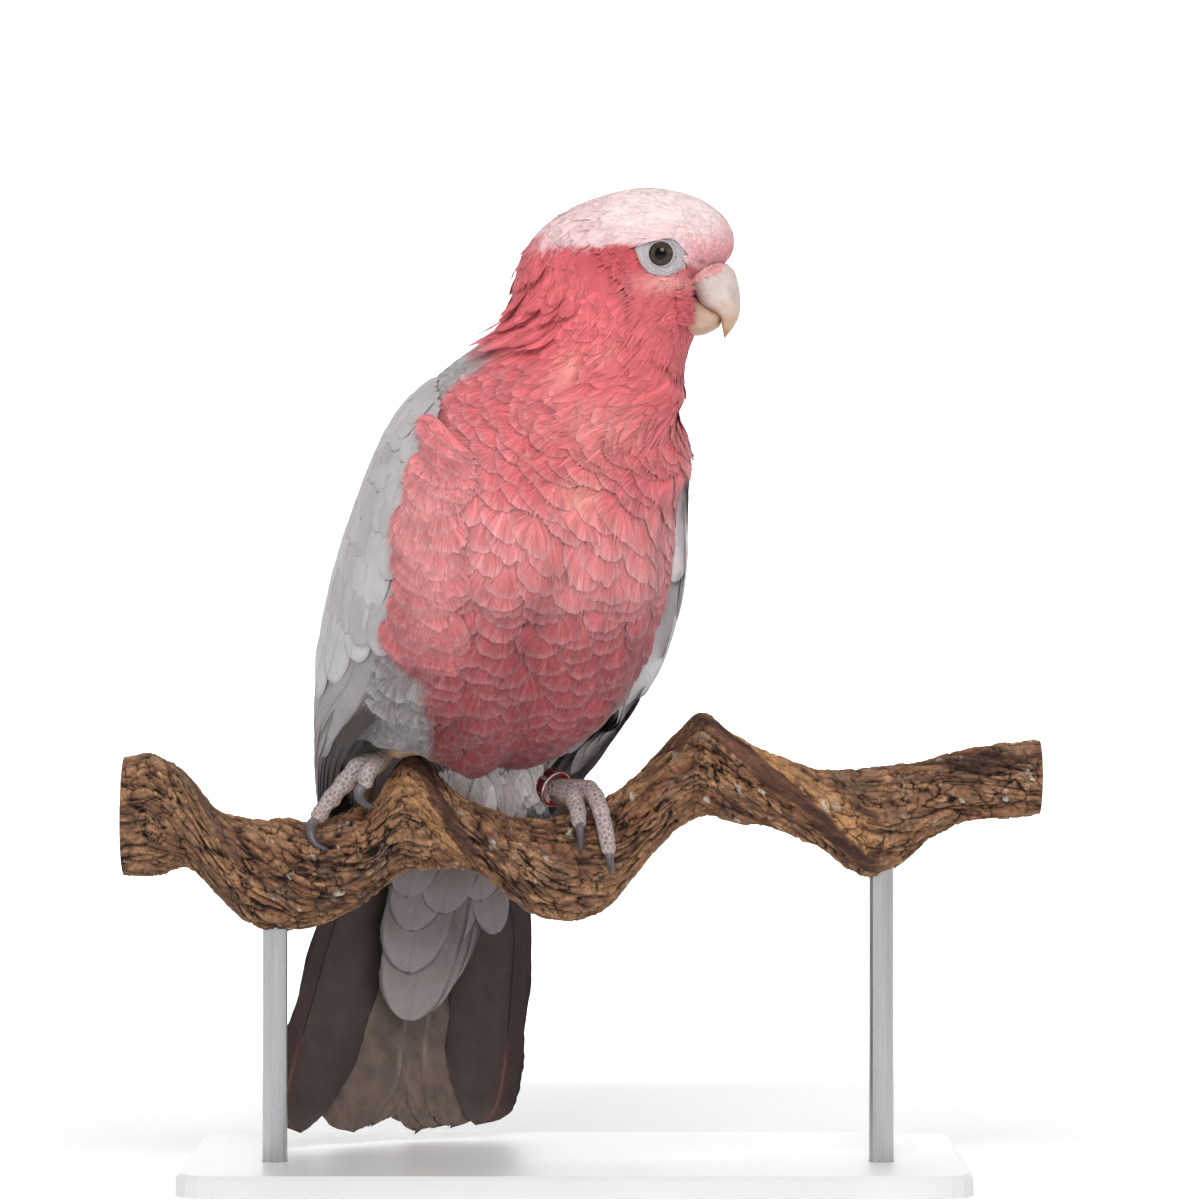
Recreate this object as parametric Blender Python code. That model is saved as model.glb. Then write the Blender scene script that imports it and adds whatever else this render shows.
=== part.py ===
"""A galah at life size, standing on a cut length of twisted vine.

The bird is a stack of closed rings that runs from the face over the crown,
down the neck and trunk to the tail root.  Head, neck and trunk are lengths of
that stack, the folded wings are shells that lie in beds on it, and the tail,
toes, claws and bill are lofts along their own middle lines.  The vine rests on
two steel rods that stand in a flat base.  Lengths are millimetres here and are
turned into metres where each object is made; +Z is up, +X runs along the vine.
"""
import bpy
import bmesh
import numpy as np
from mathutils import Vector

MM = 0.001                 # metres in a millimetre
GAP = 0.35                 # clearance between pieces that touch

# ---------------------------------------------------------------- shared form
# Millimetres throughout; +X runs along the perch, +Z is up, the breast faces
# mostly -Y.  The body is a stack of closed rings from the face to the tail
# root.  Each ring has a dorsal point, a ventral point, a sideways half width
# and a heading, and every other surface of the bird is measured from it.

BODY_YAW = 28.0            # heading of the trunk, degrees from -Y towards +X
HEAD_YAW = 80.0            # heading of the head, which is turned to its left
BODY_ORG = (-24.8, -26.5)  # a point of the trunk's midline, seen from above
HEAD_ORG = (20.0, -39.0)   # a point of the head's midline, seen from above


def heading(yaw):
    r = np.radians(yaw)
    z = np.zeros_like(r)
    return (np.stack([np.sin(r), -np.cos(r), z], -1),
            np.stack([np.cos(r), np.sin(r), z], -1))


def spline(xs, ys, x):
    xs = np.asarray(xs, float)
    ys = np.asarray(ys, float)
    x = np.clip(np.asarray(x, float), xs[0], xs[-1])
    m = np.gradient(ys, xs, axis=0)
    i = np.clip(np.searchsorted(xs, x, side="right") - 1, 0, len(xs) - 2)
    h = xs[i + 1] - xs[i]
    t = (x - xs[i]) / h
    if ys.ndim > 1:
        h = h[..., None]
        t = t[..., None]
    return ((2 * t**3 - 3 * t**2 + 1) * ys[i] + (t**3 - 2 * t**2 + t) * h * m[i]
            + (3 * t**2 - 2 * t**3) * ys[i + 1] + (t**3 - t**2) * h * m[i + 1])


def smooth(a, b, x):
    t = np.clip((x - a) / (b - a), 0.0, 1.0)
    return t * t * (3 - 2 * t)


def at_head(f, z, side=0.0):
    F, L = heading(HEAD_YAW)
    return np.array([HEAD_ORG[0], HEAD_ORG[1], 0.0]) + f * F + side * L + np.array([0, 0, z])


def at_body(a, z, side=0.0):
    F, L = heading(BODY_YAW)
    a, z, side = np.broadcast_arrays(np.asarray(a, float), z, side)
    return (np.array([BODY_ORG[0], BODY_ORG[1], 0.0]) + a[..., None] * F
            + side[..., None] * L + z[..., None] * np.array([0, 0, 1.0]))


# station: dorsal (forward, height), ventral (forward, height), side shift,
# heading, half width, widest shift, squareness; first in the head's frame
HEAD_ROWS = [
    # s     Df     Dz     Vf    Vz    yaw   w     kap    e
    (0.00, 18.6, 290.4,  10.4, 270.8, 80.0, 4.5,  0.00, 2.0),
    (0.35, 20.9, 293.6,   9.9, 269.4, 80.0, 8.6,  0.00, 2.0),
    (1.00, 22.0, 298.6,   9.3, 268.4, 80.0, 13.0, 0.00, 2.1),
    (2.00, 18.6, 306.2,   8.3, 266.4, 80.0, 16.6, -0.05, 2.2),
    (3.00, 8.9,  312.6,   7.3, 264.1, 80.0, 18.6, -0.08, 2.25),
    (4.00, -6.0, 315.2,   6.5, 261.2, 80.0, 19.8, -0.06, 2.25),
    (5.00, -22.0, 312.0,  5.9, 258.0, 80.0, 20.6, 0.00, 2.2),
    (6.00, -35.6, 305.6,  5.7, 254.6, 79.0, 21.8, 0.04, 2.1),
    (7.00, -44.4, 295.4,  6.4, 250.0, 77.0, 23.2, 0.06, 2.0),
]
# then in the trunk's frame
BODY_ROWS = [
    # s     Da     Dz     Va    Vz    side  yaw   w     kap    e
    (9.00, -11.0, 275.0, 42.5, 240.0, 14.5, 55.0, 30.0, 0.06, 2.0),
    (10.00, -21.5, 265.5, 41.5, 230.0, 9.4, 37.0, 40.2, 0.05, 2.05),
    (11.00, -30.0, 255.4, 41.4, 219.0, 5.3, 30.0, 46.8, 0.02, 2.15),
    (12.00, -36.5, 241.4, 40.0, 205.0, 2.9, 28.0, 49.9, 0.00, 2.2),
    (13.00, -45.5, 222.0, 33.5, 184.0, 2.1, 28.0, 53.9, 0.00, 2.2),
    (14.00, -54.0, 203.0, 21.5, 163.5, 2.2, 28.0, 55.6, -0.02, 2.2),
    (15.00, -63.0, 183.0, 5.0, 145.0, 3.6, 28.0, 54.6, -0.08, 2.15),
    (16.00, -69.5, 165.0, -15.0, 134.0, 2.8, 27.0, 47.0, -0.20, 2.1),
    (17.00, -76.0, 146.0, -35.0, 126.0, 2.4, 24.0, 38.0, -0.25, 2.1),
    (18.00, -80.0, 129.0, -51.0, 113.5, 2.0, 21.0, 29.5, -0.15, 2.1),
    (19.00, -82.0, 114.0, -60.0, 101.0, 1.5, 28.0, 24.0, 0.0, 2.1),
    (20.00, -83.5, 104.0, -65.0, 93.0, 1.0, 28.0, 20.0, 0.0, 2.1),
]


def body_table():
    rows = []
    for s, df, dz, vf, vz, yaw, w, kap, e in HEAD_ROWS:
        rows.append([s, *at_head(df, dz), *at_head(vf, vz), yaw, w, kap, e])
    for s, da, dz, va, vz, side, yaw, w, kap, e in BODY_ROWS:
        # the ring turns with its heading about its own middle
        m = at_body((da + va) / 2, (dz + vz) / 2, side)
        F, L = heading(yaw)
        half = (va - da) / 2
        rise = (dz - vz) / 2
        d = m - half * F + np.array([0, 0, rise])
        v = m + half * F - np.array([0, 0, rise])
        rows.append([s, *d, *v, yaw, w, kap, e])
    return np.array(rows)


BODY_TABLE = body_table()


def ring(table, s, th):
    """Surface points for stations s and angles th (0 ventral, 90 its left)."""
    s, th = np.broadcast_arrays(np.asarray(s, float), np.asarray(th, float))
    v = spline(table[:, 0], table[:, 1:], s)
    D, V, yaw, w, kap, e = v[..., 0:3], v[..., 3:6], v[..., 6], v[..., 7], v[..., 8], v[..., 9]
    L = heading(yaw)[1]
    c, sn = np.cos(th), np.sin(th)
    cc = np.sign(c) * np.abs(c) ** (2 / e)
    ss = np.sign(sn) * np.abs(sn) ** (2 / e)
    return ((D + V) / 2 + (V - D) / 2 * cc[..., None]
            + L * (w * ss * (1 + kap * cc))[..., None])


def surface(fn, s, th, ds=0.02, dt=0.01):
    """Point, outward normal, and the unit directions along and around."""
    p = fn(s, th)
    ts = fn(s + ds, th) - fn(s - ds, th)
    tt = fn(s, th + dt) - fn(s, th - dt)
    n = np.cross(ts, tt)
    n /= np.maximum(np.linalg.norm(n, axis=-1, keepdims=True), 1e-9)
    ts /= np.maximum(np.linalg.norm(ts, axis=-1, keepdims=True), 1e-9)
    return p, n, ts


# the face is rounded from cheek to cheek, so its rings sweep back at the sides
FACE_BACK = np.array([(0.0, 7.0), (0.35, 8.0), (1.0, 8.0), (2.0, 6.0), (3.0, 3.0),
                      (4.0, 0.8), (5.0, 0.0), (20.0, 0.0)])


def body(s, th):
    s, th = np.broadcast_arrays(np.asarray(s, float), np.asarray(th, float))
    back = spline(FACE_BACK[:, 0], FACE_BACK[:, 1:], s)[..., 0] * np.sin(th) ** 2
    return ring(BODY_TABLE, s, th) - back[..., None] * heading(HEAD_YAW)[0]


def body_in(s, th, depth):
    p, n, _ = surface(body, s, th)
    return p - n * np.broadcast_to(depth, p.shape[:-1])[..., None]


# ------------------------------------------------------------------- wings
# The folded wings lie on the body's own rings, then run on past the rump in
# rings of their own that close behind the tail.
WING_ROWS = [
    # s     Da     Dz     Va    Vz    side  yaw   w     kap    e
    *[(s, da - 0.5 * (s - 10), dz, va, vz, side, yaw, w + 0.6, kap, e)
      for s, da, dz, va, vz, side, yaw, w, kap, e in BODY_ROWS if 10 <= s <= 15],
    (16.00, -75.0, 165.0, -18.0, 134.0, 6.0, 28.0, 53.2, -0.05, 2.15),
    (17.00, -82.5, 144.0, -41.0, 124.0, 7.4, 28.0, 49.2, -0.02, 2.15),
    (18.00, -88.5, 121.0, -55.0, 108.0, 6.2, 28.0, 42.6, 0.0, 2.15),
    (19.00, -92.5, 99.5, -64.0, 89.0, 2.2, 28.0, 33.2, 0.0, 2.2),
    (20.00, -95.5, 79.0, -72.0, 71.0, -1.0, 28.0, 25.5, 0.0, 2.2),
    (21.00, -98.0, 61.0, -80.0, 55.0, -2.0, 28.0, 16.0, 0.0, 2.2),
    (22.00, -99.5, 46.0, -88.0, 42.0, -3.0, 28.0, 6.0, 0.0, 2.2),
]


def wing_table():
    rows = []
    for s, da, dz, va, vz, side, yaw, w, kap, e in WING_ROWS:
        m = at_body((da + va) / 2, (dz + vz) / 2, side)
        F, L = heading(yaw)
        half, rise = (va - da) / 2, (dz - vz) / 2
        rows.append([s, *(m - half * F + np.array([0, 0, rise])),
                     *(m + half * F - np.array([0, 0, rise])), yaw, w, kap, e])
    return np.array(rows)


WING_TABLE = wing_table()
# front edge and rear edge of the folded wing, degrees round the ring from the
# breast line, and its thickness
WING_EDGE = np.array([
    # s     front  rear   thick
    (10.35, 96.0, 132.0, 3.0),
    (10.70, 80.0, 143.0, 4.5),
    (11.00, 74.0, 149.0, 5.5),
    (12.00, 69.0, 156.0, 6.5),
    (13.00, 63.0, 162.0, 6.5),
    (14.00, 58.0, 167.0, 6.0),
    (15.00, 60.0, 171.0, 5.5),
    (16.00, 70.0, 174.0, 5.0),
    (17.00, 79.0, 176.0, 4.5),
    (18.00, 84.0, 176.5, 4.0),
    (19.00, 88.0, 177.0, 3.5),
    (20.00, 92.0, 176.0, 3.0),
    (21.00, 98.0, 174.0, 2.6),
    (21.85, 108.0, 168.0, 2.2),
])


def wing(s, th):
    return ring(WING_TABLE, s, th)


def wing_edges(s):
    v = spline(WING_EDGE[:, 0], WING_EDGE[:, 1:], s)
    return np.radians(v[..., 0]), np.radians(v[..., 1]), v[..., 2]


# ------------------------------------------------------------------- perch
# A length of twisted vine.  Its outline rises and dips as it winds, and each
# section is a rounded oval with a blunt ridge that turns with the twist.
PERCH_ROWS = [
    # X      top    bottom
    (-152.2, 135.2, 98.8),
    (-141.0, 136.0, 99.0),
    (-131.0, 130.6, 100.6),
    (-122.0, 120.4, 92.6),
    (-113.0, 116.6, 84.6),
    (-102.5, 115.2, 81.0),
    (-90.0, 115.4, 81.6),
    (-80.0, 119.6, 86.2),
    (-71.5, 123.4, 93.0),
    (-67.5, 130.4, 96.6),
    (-62.5, 135.4, 100.4),
    (-56.5, 135.6, 101.8),
    (-51.0, 130.4, 101.2),
    (-44.8, 124.6, 100.8),
    (-38.4, 121.4, 98.4),
    (-32.0, 118.8, 93.6),
    (-22.4, 116.8, 87.0),
    (-8.0, 117.8, 85.2),
    (6.4, 125.8, 91.0),
    (16.0, 135.0, 103.6),
    (25.6, 144.6, 114.8),
    (32.0, 149.8, 118.6),
    (41.6, 145.0, 116.4),
    (57.6, 137.0, 112.2),
    (70.4, 132.2, 106.6),
    (86.4, 132.2, 98.4),
    (96.0, 134.0, 102.0),
    (105.6, 136.2, 109.4),
    (115.2, 138.0, 115.0),
    (128.0, 139.2, 117.4),
    (140.4, 141.4, 118.4),
]
# where the winding ridge stands, degrees from the top towards the front
PERCH_TURN = [(-144.0, 0.0), (-102.4, 180.0), (-60.0, 360.0), (-8.0, 540.0),
              (32.0, 720.0), (88.0, 900.0), (131.0, 1080.0), (142.0, 1120.0)]
PERCH_SWAY = 7.5           # how far the winding carries the middle off its line
PERCH_ENDS = (-152.2, 140.4)
_pr = np.array(PERCH_ROWS)
_pt = np.array(PERCH_TURN)


def perch_mid(x):
    v = spline(_pr[:, 0], _pr[:, 1:], x)
    turn = np.radians(spline(_pt[:, 0], _pt[:, 1], x))
    zc, rv = (v[..., 0] + v[..., 1]) / 2, (v[..., 0] - v[..., 1]) / 2
    e = 1.5
    v2 = spline(_pr[:, 0], _pr[:, 1:], x + e)
    v1 = spline(_pr[:, 0], _pr[:, 1:], x - e)
    slope = ((v2.sum(-1) - v1.sum(-1)) / 2) / (2 * e)
    ry = rv / np.sqrt(1 + np.minimum(slope**2, 0.5))
    return -PERCH_SWAY * np.sin(turn), zc, rv, ry, turn


def perch(x, al, grow=0.0):
    """Surface of the vine; al is 0 on top and 90 degrees at the front."""
    x, al = np.broadcast_arrays(np.asarray(x, float), np.asarray(al, float))
    yc, zc, rv, ry, turn = perch_mid(x)
    m = 1 + 0.045 * np.cos(2 * (al - turn)) + 0.02 * np.cos(3 * al + 1.7 * turn)
    return np.stack([x, yc - (ry * m + grow) * np.sin(al), zc + (rv * m + grow) * np.cos(al)], -1)


# ----------------------------------------------------------- tubes and lofts
def frames_along(P):
    """Unit tangents with a side and an up vector that don't twist."""
    P = np.asarray(P, float)
    T = np.gradient(P, axis=0)
    T /= np.linalg.norm(T, axis=1, keepdims=True)
    N = np.zeros_like(T)
    ref = np.array([0, 0, 1.0]) if abs(T[0, 2]) < 0.9 else np.array([0, 1.0, 0])
    n = ref - T[0] * (ref @ T[0])
    N[0] = n / np.linalg.norm(n)
    for i in range(1, len(P)):
        n = N[i - 1] - T[i] * (N[i - 1] @ T[i])
        N[i] = n / np.linalg.norm(n)
    return T, N, np.cross(T, N)


def grid_faces(n, m, wrap=True):
    """Quads of an n x m grid whose second direction closes on itself."""
    q = []
    for i in range(n - 1):
        for j in range(m if wrap else m - 1):
            k = (j + 1) % m
            q.append((i * m + j, i * m + k, (i + 1) * m + k, (i + 1) * m + j))
    return q


def closed_loft(rings, tip0=None, tip1=None):
    """Closes a stack of rings (n, m, 3) with a point or a flat cap each end."""
    rings = np.asarray(rings, float)
    n, m = rings.shape[:2]
    V = rings.reshape(-1, 3)
    F = grid_faces(n, m)
    V = list(V)
    for end, tip in ((0, tip0), (n - 1, tip1)):
        c = rings[end].mean(0) if tip is None else np.asarray(tip, float)
        V.append(c)
        k = len(V) - 1
        for j in range(m):
            a, b = end * m + j, end * m + (j + 1) % m
            F.append((b, a, k) if end == 0 else (a, b, k))
    V = np.array(V)
    if volume(V, F) < 0:
        F = [tuple(reversed(f)) for f in F]
    return V, F


def volume(V, F):
    t = 0.0
    for f in F:
        for i in range(1, len(f) - 1):
            t += np.dot(V[f[0]], np.cross(V[f[i]], V[f[i + 1]]))
    return t / 6


def tube(P, R, sides=10, flat=1.0, steps=None, up=None):
    """Round tube through the points P with radii R, rounded at both ends."""
    P, R = np.asarray(P, float), np.asarray(R, float)
    t = np.concatenate([[0], np.cumsum(np.linalg.norm(np.diff(P, axis=0), axis=1))])
    u = np.linspace(0, t[-1], steps or 3 * len(P))
    C = spline(t, P, u)
    r = spline(t, R, u)
    T, N, B = frames_along(C)
    a = np.linspace(0, 2 * np.pi, sides, endpoint=False)
    rings = []
    for k, s in ((-0.80, 0.6), (-0.45, 0.89)):
        rings.append(C[0] + T[0] * r[0] * k + (N[0] * np.cos(a)[:, None] * flat + B[0] * np.sin(a)[:, None]) * r[0] * s)
    for i in range(len(u)):
        rings.append(C[i] + (N[i] * np.cos(a)[:, None] * flat + B[i] * np.sin(a)[:, None]) * r[i])
    for k, s in ((0.45, 0.89), (0.80, 0.6)):
        rings.append(C[-1] + T[-1] * r[-1] * k + (N[-1] * np.cos(a)[:, None] * flat + B[-1] * np.sin(a)[:, None]) * r[-1] * s)
    return closed_loft(rings, C[0] - T[0] * r[0], C[-1] + T[-1] * r[-1])


# -------------------------------------------------------------------- bill
# Stations of the two mandibles in the head's frame: a point on the upper
# line, a point on the lower line, and the half width between them.
UPPER_BILL = [
    # f     z       f     z      w
    (9.0, 288.5,  5.5, 286.0,  6.5),
    (15.5, 291.2, 8.0, 284.2,  8.6),
    (21.3, 290.2, 9.8, 282.4,  8.9),
    (23.4, 285.0, 11.4, 279.4, 8.3),
    (24.0, 280.4, 13.2, 277.7, 7.4),
    (23.9, 276.6, 15.5, 276.5, 6.2),
    (23.1, 273.6, 17.8, 274.6, 4.7),
    (21.6, 271.0, 18.3, 271.9, 3.1),
    (20.2, 269.2, 18.7, 269.9, 1.7),
]
UPPER_TIP = (18.9, 267.9)
LOWER_BILL = [
    (6.4, 280.3,  5.6, 271.2,  5.8),
    (9.6, 280.3,  8.4, 269.2,  6.5),
    (12.6, 279.4, 11.6, 268.9, 6.2),
    (15.2, 278.2, 14.6, 269.9, 5.4),
    (17.2, 277.4, 16.9, 271.3, 4.3),
    (18.4, 276.8, 17.9, 273.0, 3.2),
]


def bill_rings(rows, n, th, grow=0.0, lift=None, square=2.3):
    rows = np.array(rows)
    k = np.arange(len(rows))
    v = spline(k, rows, np.linspace(0, k[-1], n))
    out = []
    F, L = heading(HEAD_YAW)
    for d0, d1, v0, v1, w in v:
        D, V = at_head(d0, d1), at_head(v0, v1)
        ax = (V - D) / 2
        ln = np.linalg.norm(ax)
        ax = ax / ln * (ln + grow)
        c, s = np.cos(th), np.sin(th)
        cc = np.sign(c) * np.abs(c) ** (2 / square)
        ss = np.sign(s) * np.abs(s) ** (2 / square)
        # narrower along the ridge (dorsal, cc < 0) than along the cutting edge
        out.append((D + V) / 2 + ax * cc[:, None] + L * ((w + grow) * ss * (1 + 0.16 * cc))[:, None])
    return np.array(out)


EYE_AT = (2.1, 293.3)     # forward, height of the eye in the head's frame
EYE_SIDE = 15.0            # its middle, out from the midline
EYE_R = 5.4


def eye_centre(side):
    return at_head(EYE_AT[0], EYE_AT[1], EYE_SIDE * side)


# -------------------------------------------------------------------- feet
def on_perch(x, al_deg, off):
    al = np.radians(float(al_deg))
    p = perch(x, al)
    n = np.cross(perch(x + 0.5, al) - perch(x - 0.5, al), perch(x, al + 0.02) - perch(x, al - 0.02))
    n /= np.linalg.norm(n)
    yc, zc, rv, ry, turn = perch_mid(np.array(float(x)))
    if n @ (p - np.array([x, yc, zc])) < 0:
        n = -n
    return p + n * off


# toes: middle line and thickness from the sole of the foot to the last pad
TOES = {
    "right_outer_front": ([(-71.5, 0.6, 134.6), (-75.6, -0.6, 134.0), (-79.7, -1.4, 130.2),
                           (-83.6, -2.0, 125.6), (-87.6, -2.4, 120.9), (-89.9, -2.9, 117.6)],
                          [3.9, 3.7, 3.3, 3.0, 2.8, 2.6]),
    "right_inner_front": ([(-73.0, -6.6, 132.6), (-74.4, -7.6, 130.6), (-74.6, -8.4, 128.6)],
                          [2.9, 2.8, 2.6]),
    "right_inner_hind": ([(-63.9, -2.6, 138.9), (-60.6, -4.3, 139.4), (-57.4, -4.9, 139.4),
                          (-54.4, -5.2, 137.9)],
                         [3.2, 2.9, 2.7, 2.4]),
    "right_outer_hind": ([(-74.0, 8.2, 131.6), (-75.4, 14.4, 127.0), (-76.2, 19.6, 119.8),
                          (-76.0, 22.0, 112.0)],
                         [2.9, 2.9, 2.8, 2.5]),
    "left_inner_front": ([(-10.6, 1.0, 124.6), (-8.6, -3.6, 123.4), (-7.2, -8.4, 120.0),
                          (-6.7, -13.0, 116.0)],
                         [3.7, 3.1, 2.8, 2.5]),
    "left_outer_front": ([(-3.6, -0.5, 126.1), (-1.6, -5.4, 123.9), (0.0, -9.9, 120.0),
                          (1.3, -12.8, 115.3), (2.3, -14.0, 110.2), (2.7, -13.9, 107.6)],
                         [3.1, 3.0, 2.8, 2.7, 2.6, 2.4]),
    "left_inner_hind": ([(-9.8, 10.4, 118.6), (-13.6, 15.6, 115.0), (-16.4, 18.4, 108.4)],
                        [2.8, 2.7, 2.4]),
    "left_outer_hind": ([(-4.4, 7.9, 123.4), (-3.8, 14.4, 119.4), (-3.9, 19.3, 111.8),
                         (-4.0, 20.8, 104.4)],
                        [3.0, 2.8, 2.7, 2.4]),
}
CLAWS = {
    "right_outer_front": [(-91.6, -5.2, 115.2), (-92.0, -7.4, 112.2), (-90.6, -8.9, 109.2), (-86.2, -9.6, 107.0)],
    "right_inner_front": [(-76.0, -9.6, 126.4), (-76.4, -10.4, 124.0), (-74.8, -10.6, 122.0), (-71.2, -10.2, 120.6)],
    "right_inner_hind": [(-51.8, -5.9, 136.2), (-50.5, -6.7, 134.0), (-50.0, -7.4, 131.4)],
    "right_outer_hind": [(-75.8, 22.6, 108.5), (-75.4, 22.4, 105.2), (-75.2, 21.0, 102.2)],
    "left_inner_front": [(-6.4, -14.9, 113.9), (-6.2, -16.0, 111.2), (-6.2, -16.1, 108.4), (-6.3, -15.2, 106.2)],
    "left_outer_front": [(3.0, -14.3, 105.0), (3.3, -14.0, 102.2), (3.6, -12.4, 99.2)],
    "left_inner_hind": [(-16.8, 19.0, 105.0), (-17.0, 18.2, 101.8), (-17.2, 16.0, 99.2)],
    "left_outer_hind": [(-4.0, 21.2, 100.9), (-4.1, 20.2, 97.6), (-4.2, 18.0, 95.0)],
}
CLAW_R = 1.75
TARSI = {
    "right": ([(-65.6, 4.9, 139.8), (-62.6, 6.2, 141.4), (-60.6, 7.4, 142.6)], [3.3, 3.2, 3.2]),
    "left": ([(-15.2, 6.0, 126.4), (-16.7, 7.3, 127.2), (-18.4, 8.9, 128.4), (-19.8, 10.2, 129.8)], [3.3, 3.3, 3.3, 3.3]),
}
THIGHS = {
    "right": ([(-59.4, 9.2, 150.4), (-59.0, 10.8, 154.0), (-58.4, 12.6, 158.0)], [4.4, 5.6, 6.4]),
    "left": ([(-22.6, 14.4, 138.2), (-23.0, 16.0, 142.0), (-23.6, 17.8, 146.0)], [4.6, 5.8, 6.6]),
}
RING_AT = (-15.3, 5.9, 126.4)     # middle of the leg ring
RING_AXIS = (0.62, -0.68, -0.32)
RING_OUT, RING_IN, RING_LONG = 6.0, 5.0, 4.6


# The belly rests over the vine and arches over the legs: whatever would lie
# inside these is eased out of them.
FOOT_ROOM = ((-71.0, 13.0, 7.0), (-10.0, 15.0, 6.5))      # where, how wide, how much more
LEG_ARCH = ((-61.5, 6.5, 150.0), (-71.0, 2.0, 143.5), (-21.0, 12.5, 139.0), (-11.5, 3.5, 135.5))


def make_room(P, margin=2.2, p=10.0):
    P = np.array(P, float)
    for x, y, top in LEG_ARCH:
        low = top - 0.045 * ((P[..., 0] - x) ** 2 + (P[..., 1] - y) ** 2)
        d = P[..., 2] - low
        P[..., 2] = low + 0.5 * (d + np.sqrt(d * d + 3.0))
    x = np.clip(P[..., 0], PERCH_ENDS[0], PERCH_ENDS[1])
    yc, zc, rv, ry, _ = perch_mid(x)
    R = np.maximum(rv, ry) * 1.05 + margin
    for at, wide, more in FOOT_ROOM:
        R = R + more * np.exp(-((x - at) / wide) ** 2)
    dy, dz = P[..., 1] - yc, P[..., 2] - zc
    r = np.hypot(dy, dz)
    # what lies deep inside goes up and back, never forward
    deep = smooth(1.0, 0.5, r / R)
    dy, dz = dy + deep * 0.5 * R, dz + deep * 0.5 * R
    r = np.maximum(np.hypot(dy, dz), 1e-6)
    k = (r**p + R**p) ** (1 / p) / r
    k = np.where(r > 1.8 * R, 1.0, k)
    P[..., 1], P[..., 2] = yc + dy * k, zc + dz * k
    return P


# -------------------------------------------------------------------- tail
TAIL_LINE = [
    # v     a      z      side   half width
    (0.00, -69.5, 104.0, 2.2, 20.0),
    (0.12, -71.4, 93.0, 2.4, 29.5),
    (0.28, -74.2, 78.0, 2.6, 36.6),
    (0.50, -78.4, 57.0, 1.2, 40.4),
    (0.75, -83.6, 33.5, -0.9, 43.6),
    (1.00, -88.8, 10.0, -3.0, 44.8),
]
_tl = np.array(TAIL_LINE)


def tail(v, u, lift=0.0):
    """Fan of the tail: v from root to tip, u across, lift towards the back."""
    v, u = np.broadcast_arrays(np.asarray(v, float), np.asarray(u, float))
    t = spline(_tl[:, 0], _tl[:, 1:], v)
    a, z, side, w = t[..., 0], t[..., 1], t[..., 2], t[..., 3]
    # the fan is a little hollow underneath
    bow = -2.6 * (1 - u**2) + 1.3
    return at_body(a + (bow - lift) * 0.975, z - (bow - lift) * 0.22, side + w * u)


def tail_length(u):
    """How far down the fan reaches at u, a row of blunt rounded tips."""
    tips = [(-0.79, 0.920, 0.15), (-0.36, 0.980, 0.19), (0.05, 0.945, 0.20),
            (0.42, 1.0, 0.20), (0.75, 0.990, 0.17)]
    u = np.asarray(u, float)
    out = np.full(u.shape, 0.87)
    for c, top, half in tips:
        q = np.clip(np.abs(u - c) / (half * 1.25), 0, 1)
        out = np.maximum(out, top - 0.085 * q**2.6)
    return out


UNDERTAIL = [
    # v     a      z      side   half width
    (0.00, -62.8, 102.0, 4.0, 19.0),
    (0.25, -65.4, 92.0, 5.0, 24.0),
    (0.50, -68.8, 77.0, 3.6, 21.5),
    (0.75, -71.9, 63.0, 0.0, 16.0),
    (0.92, -74.0, 53.5, -2.2, 9.5),
    (1.00, -75.0, 49.0, -2.8, 2.6),
]
_ut = np.array(UNDERTAIL)


def undertail(v, u, lift=0.0):
    v, u = np.broadcast_arrays(np.asarray(v, float), np.asarray(u, float))
    t = spline(_ut[:, 0], _ut[:, 1:], v)
    a, z, side, w = t[..., 0], t[..., 1], t[..., 2], t[..., 3]
    bow = 1.8 * (1 - u**2) - 0.6
    return at_body(a + (bow - lift) * 0.975, z - (bow - lift) * 0.22, side + w * u)


# ------------------------------------------------------------------- stand
BASE_SIZE = (250.0, 132.0, 7.0)
BASE_MID = (-8.0, 22.0)
BASE_ROUND = 12.0
ROD_R = 4.0
ROD_AT = ((-104.0, 93.0), (90.0, 110.5))   # along the vine, and each rod's top
ROD_Y = (0.0, 0.0)                          # under the vine's middle there
HOLE_FLOOR = 2.4                            # floor of the blind holes in the base


# ------------------------------------------------------------ solid pieces
def plate(fn, vs, us, thick):
    """Closed thin plate from fn(v, u, lift) with a rounded-off edge."""
    vs, us = np.asarray(vs, float), np.asarray(us, float)
    if vs.ndim == 1:
        vs = np.repeat(vs[:, None], len(us), 1)
    us2 = np.repeat(us[None, :], vs.shape[0], 0)
    front, back = fn(vs, us2, 0.0), fn(vs, us2, thick)
    n, m = vs.shape
    V = np.concatenate([front.reshape(-1, 3), back.reshape(-1, 3)])
    F = []
    for i in range(n - 1):
        for j in range(m - 1):
            a, b, c, d = i * m + j, i * m + j + 1, (i + 1) * m + j + 1, (i + 1) * m + j
            F.append((a, b, c, d))
            F.append((a + n * m, d + n * m, c + n * m, b + n * m))
    edge = ([(i, 0) for i in range(n)] + [(n - 1, j) for j in range(1, m)]
            + [(i, m - 1) for i in range(n - 2, -1, -1)] + [(0, j) for j in range(m - 2, 0, -1)])
    for k, (i, j) in enumerate(edge):
        i2, j2 = edge[(k + 1) % len(edge)]
        a, b = i * m + j, i2 * m + j2
        F.append((a, b, b + n * m, a + n * m))
    if volume(V, F) < 0:
        F = [tuple(reversed(f)) for f in F]
    return V, F


def head_solid(n=15, m=24):
    s = np.concatenate([[0, 0.18, 0.35, 0.65, 1.0, 1.5], np.linspace(2.0, 7.0, n - 6)])
    th = np.linspace(0, 2 * np.pi, m, endpoint=False)
    return closed_loft(body(s[:, None], th[None, :]))


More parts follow.
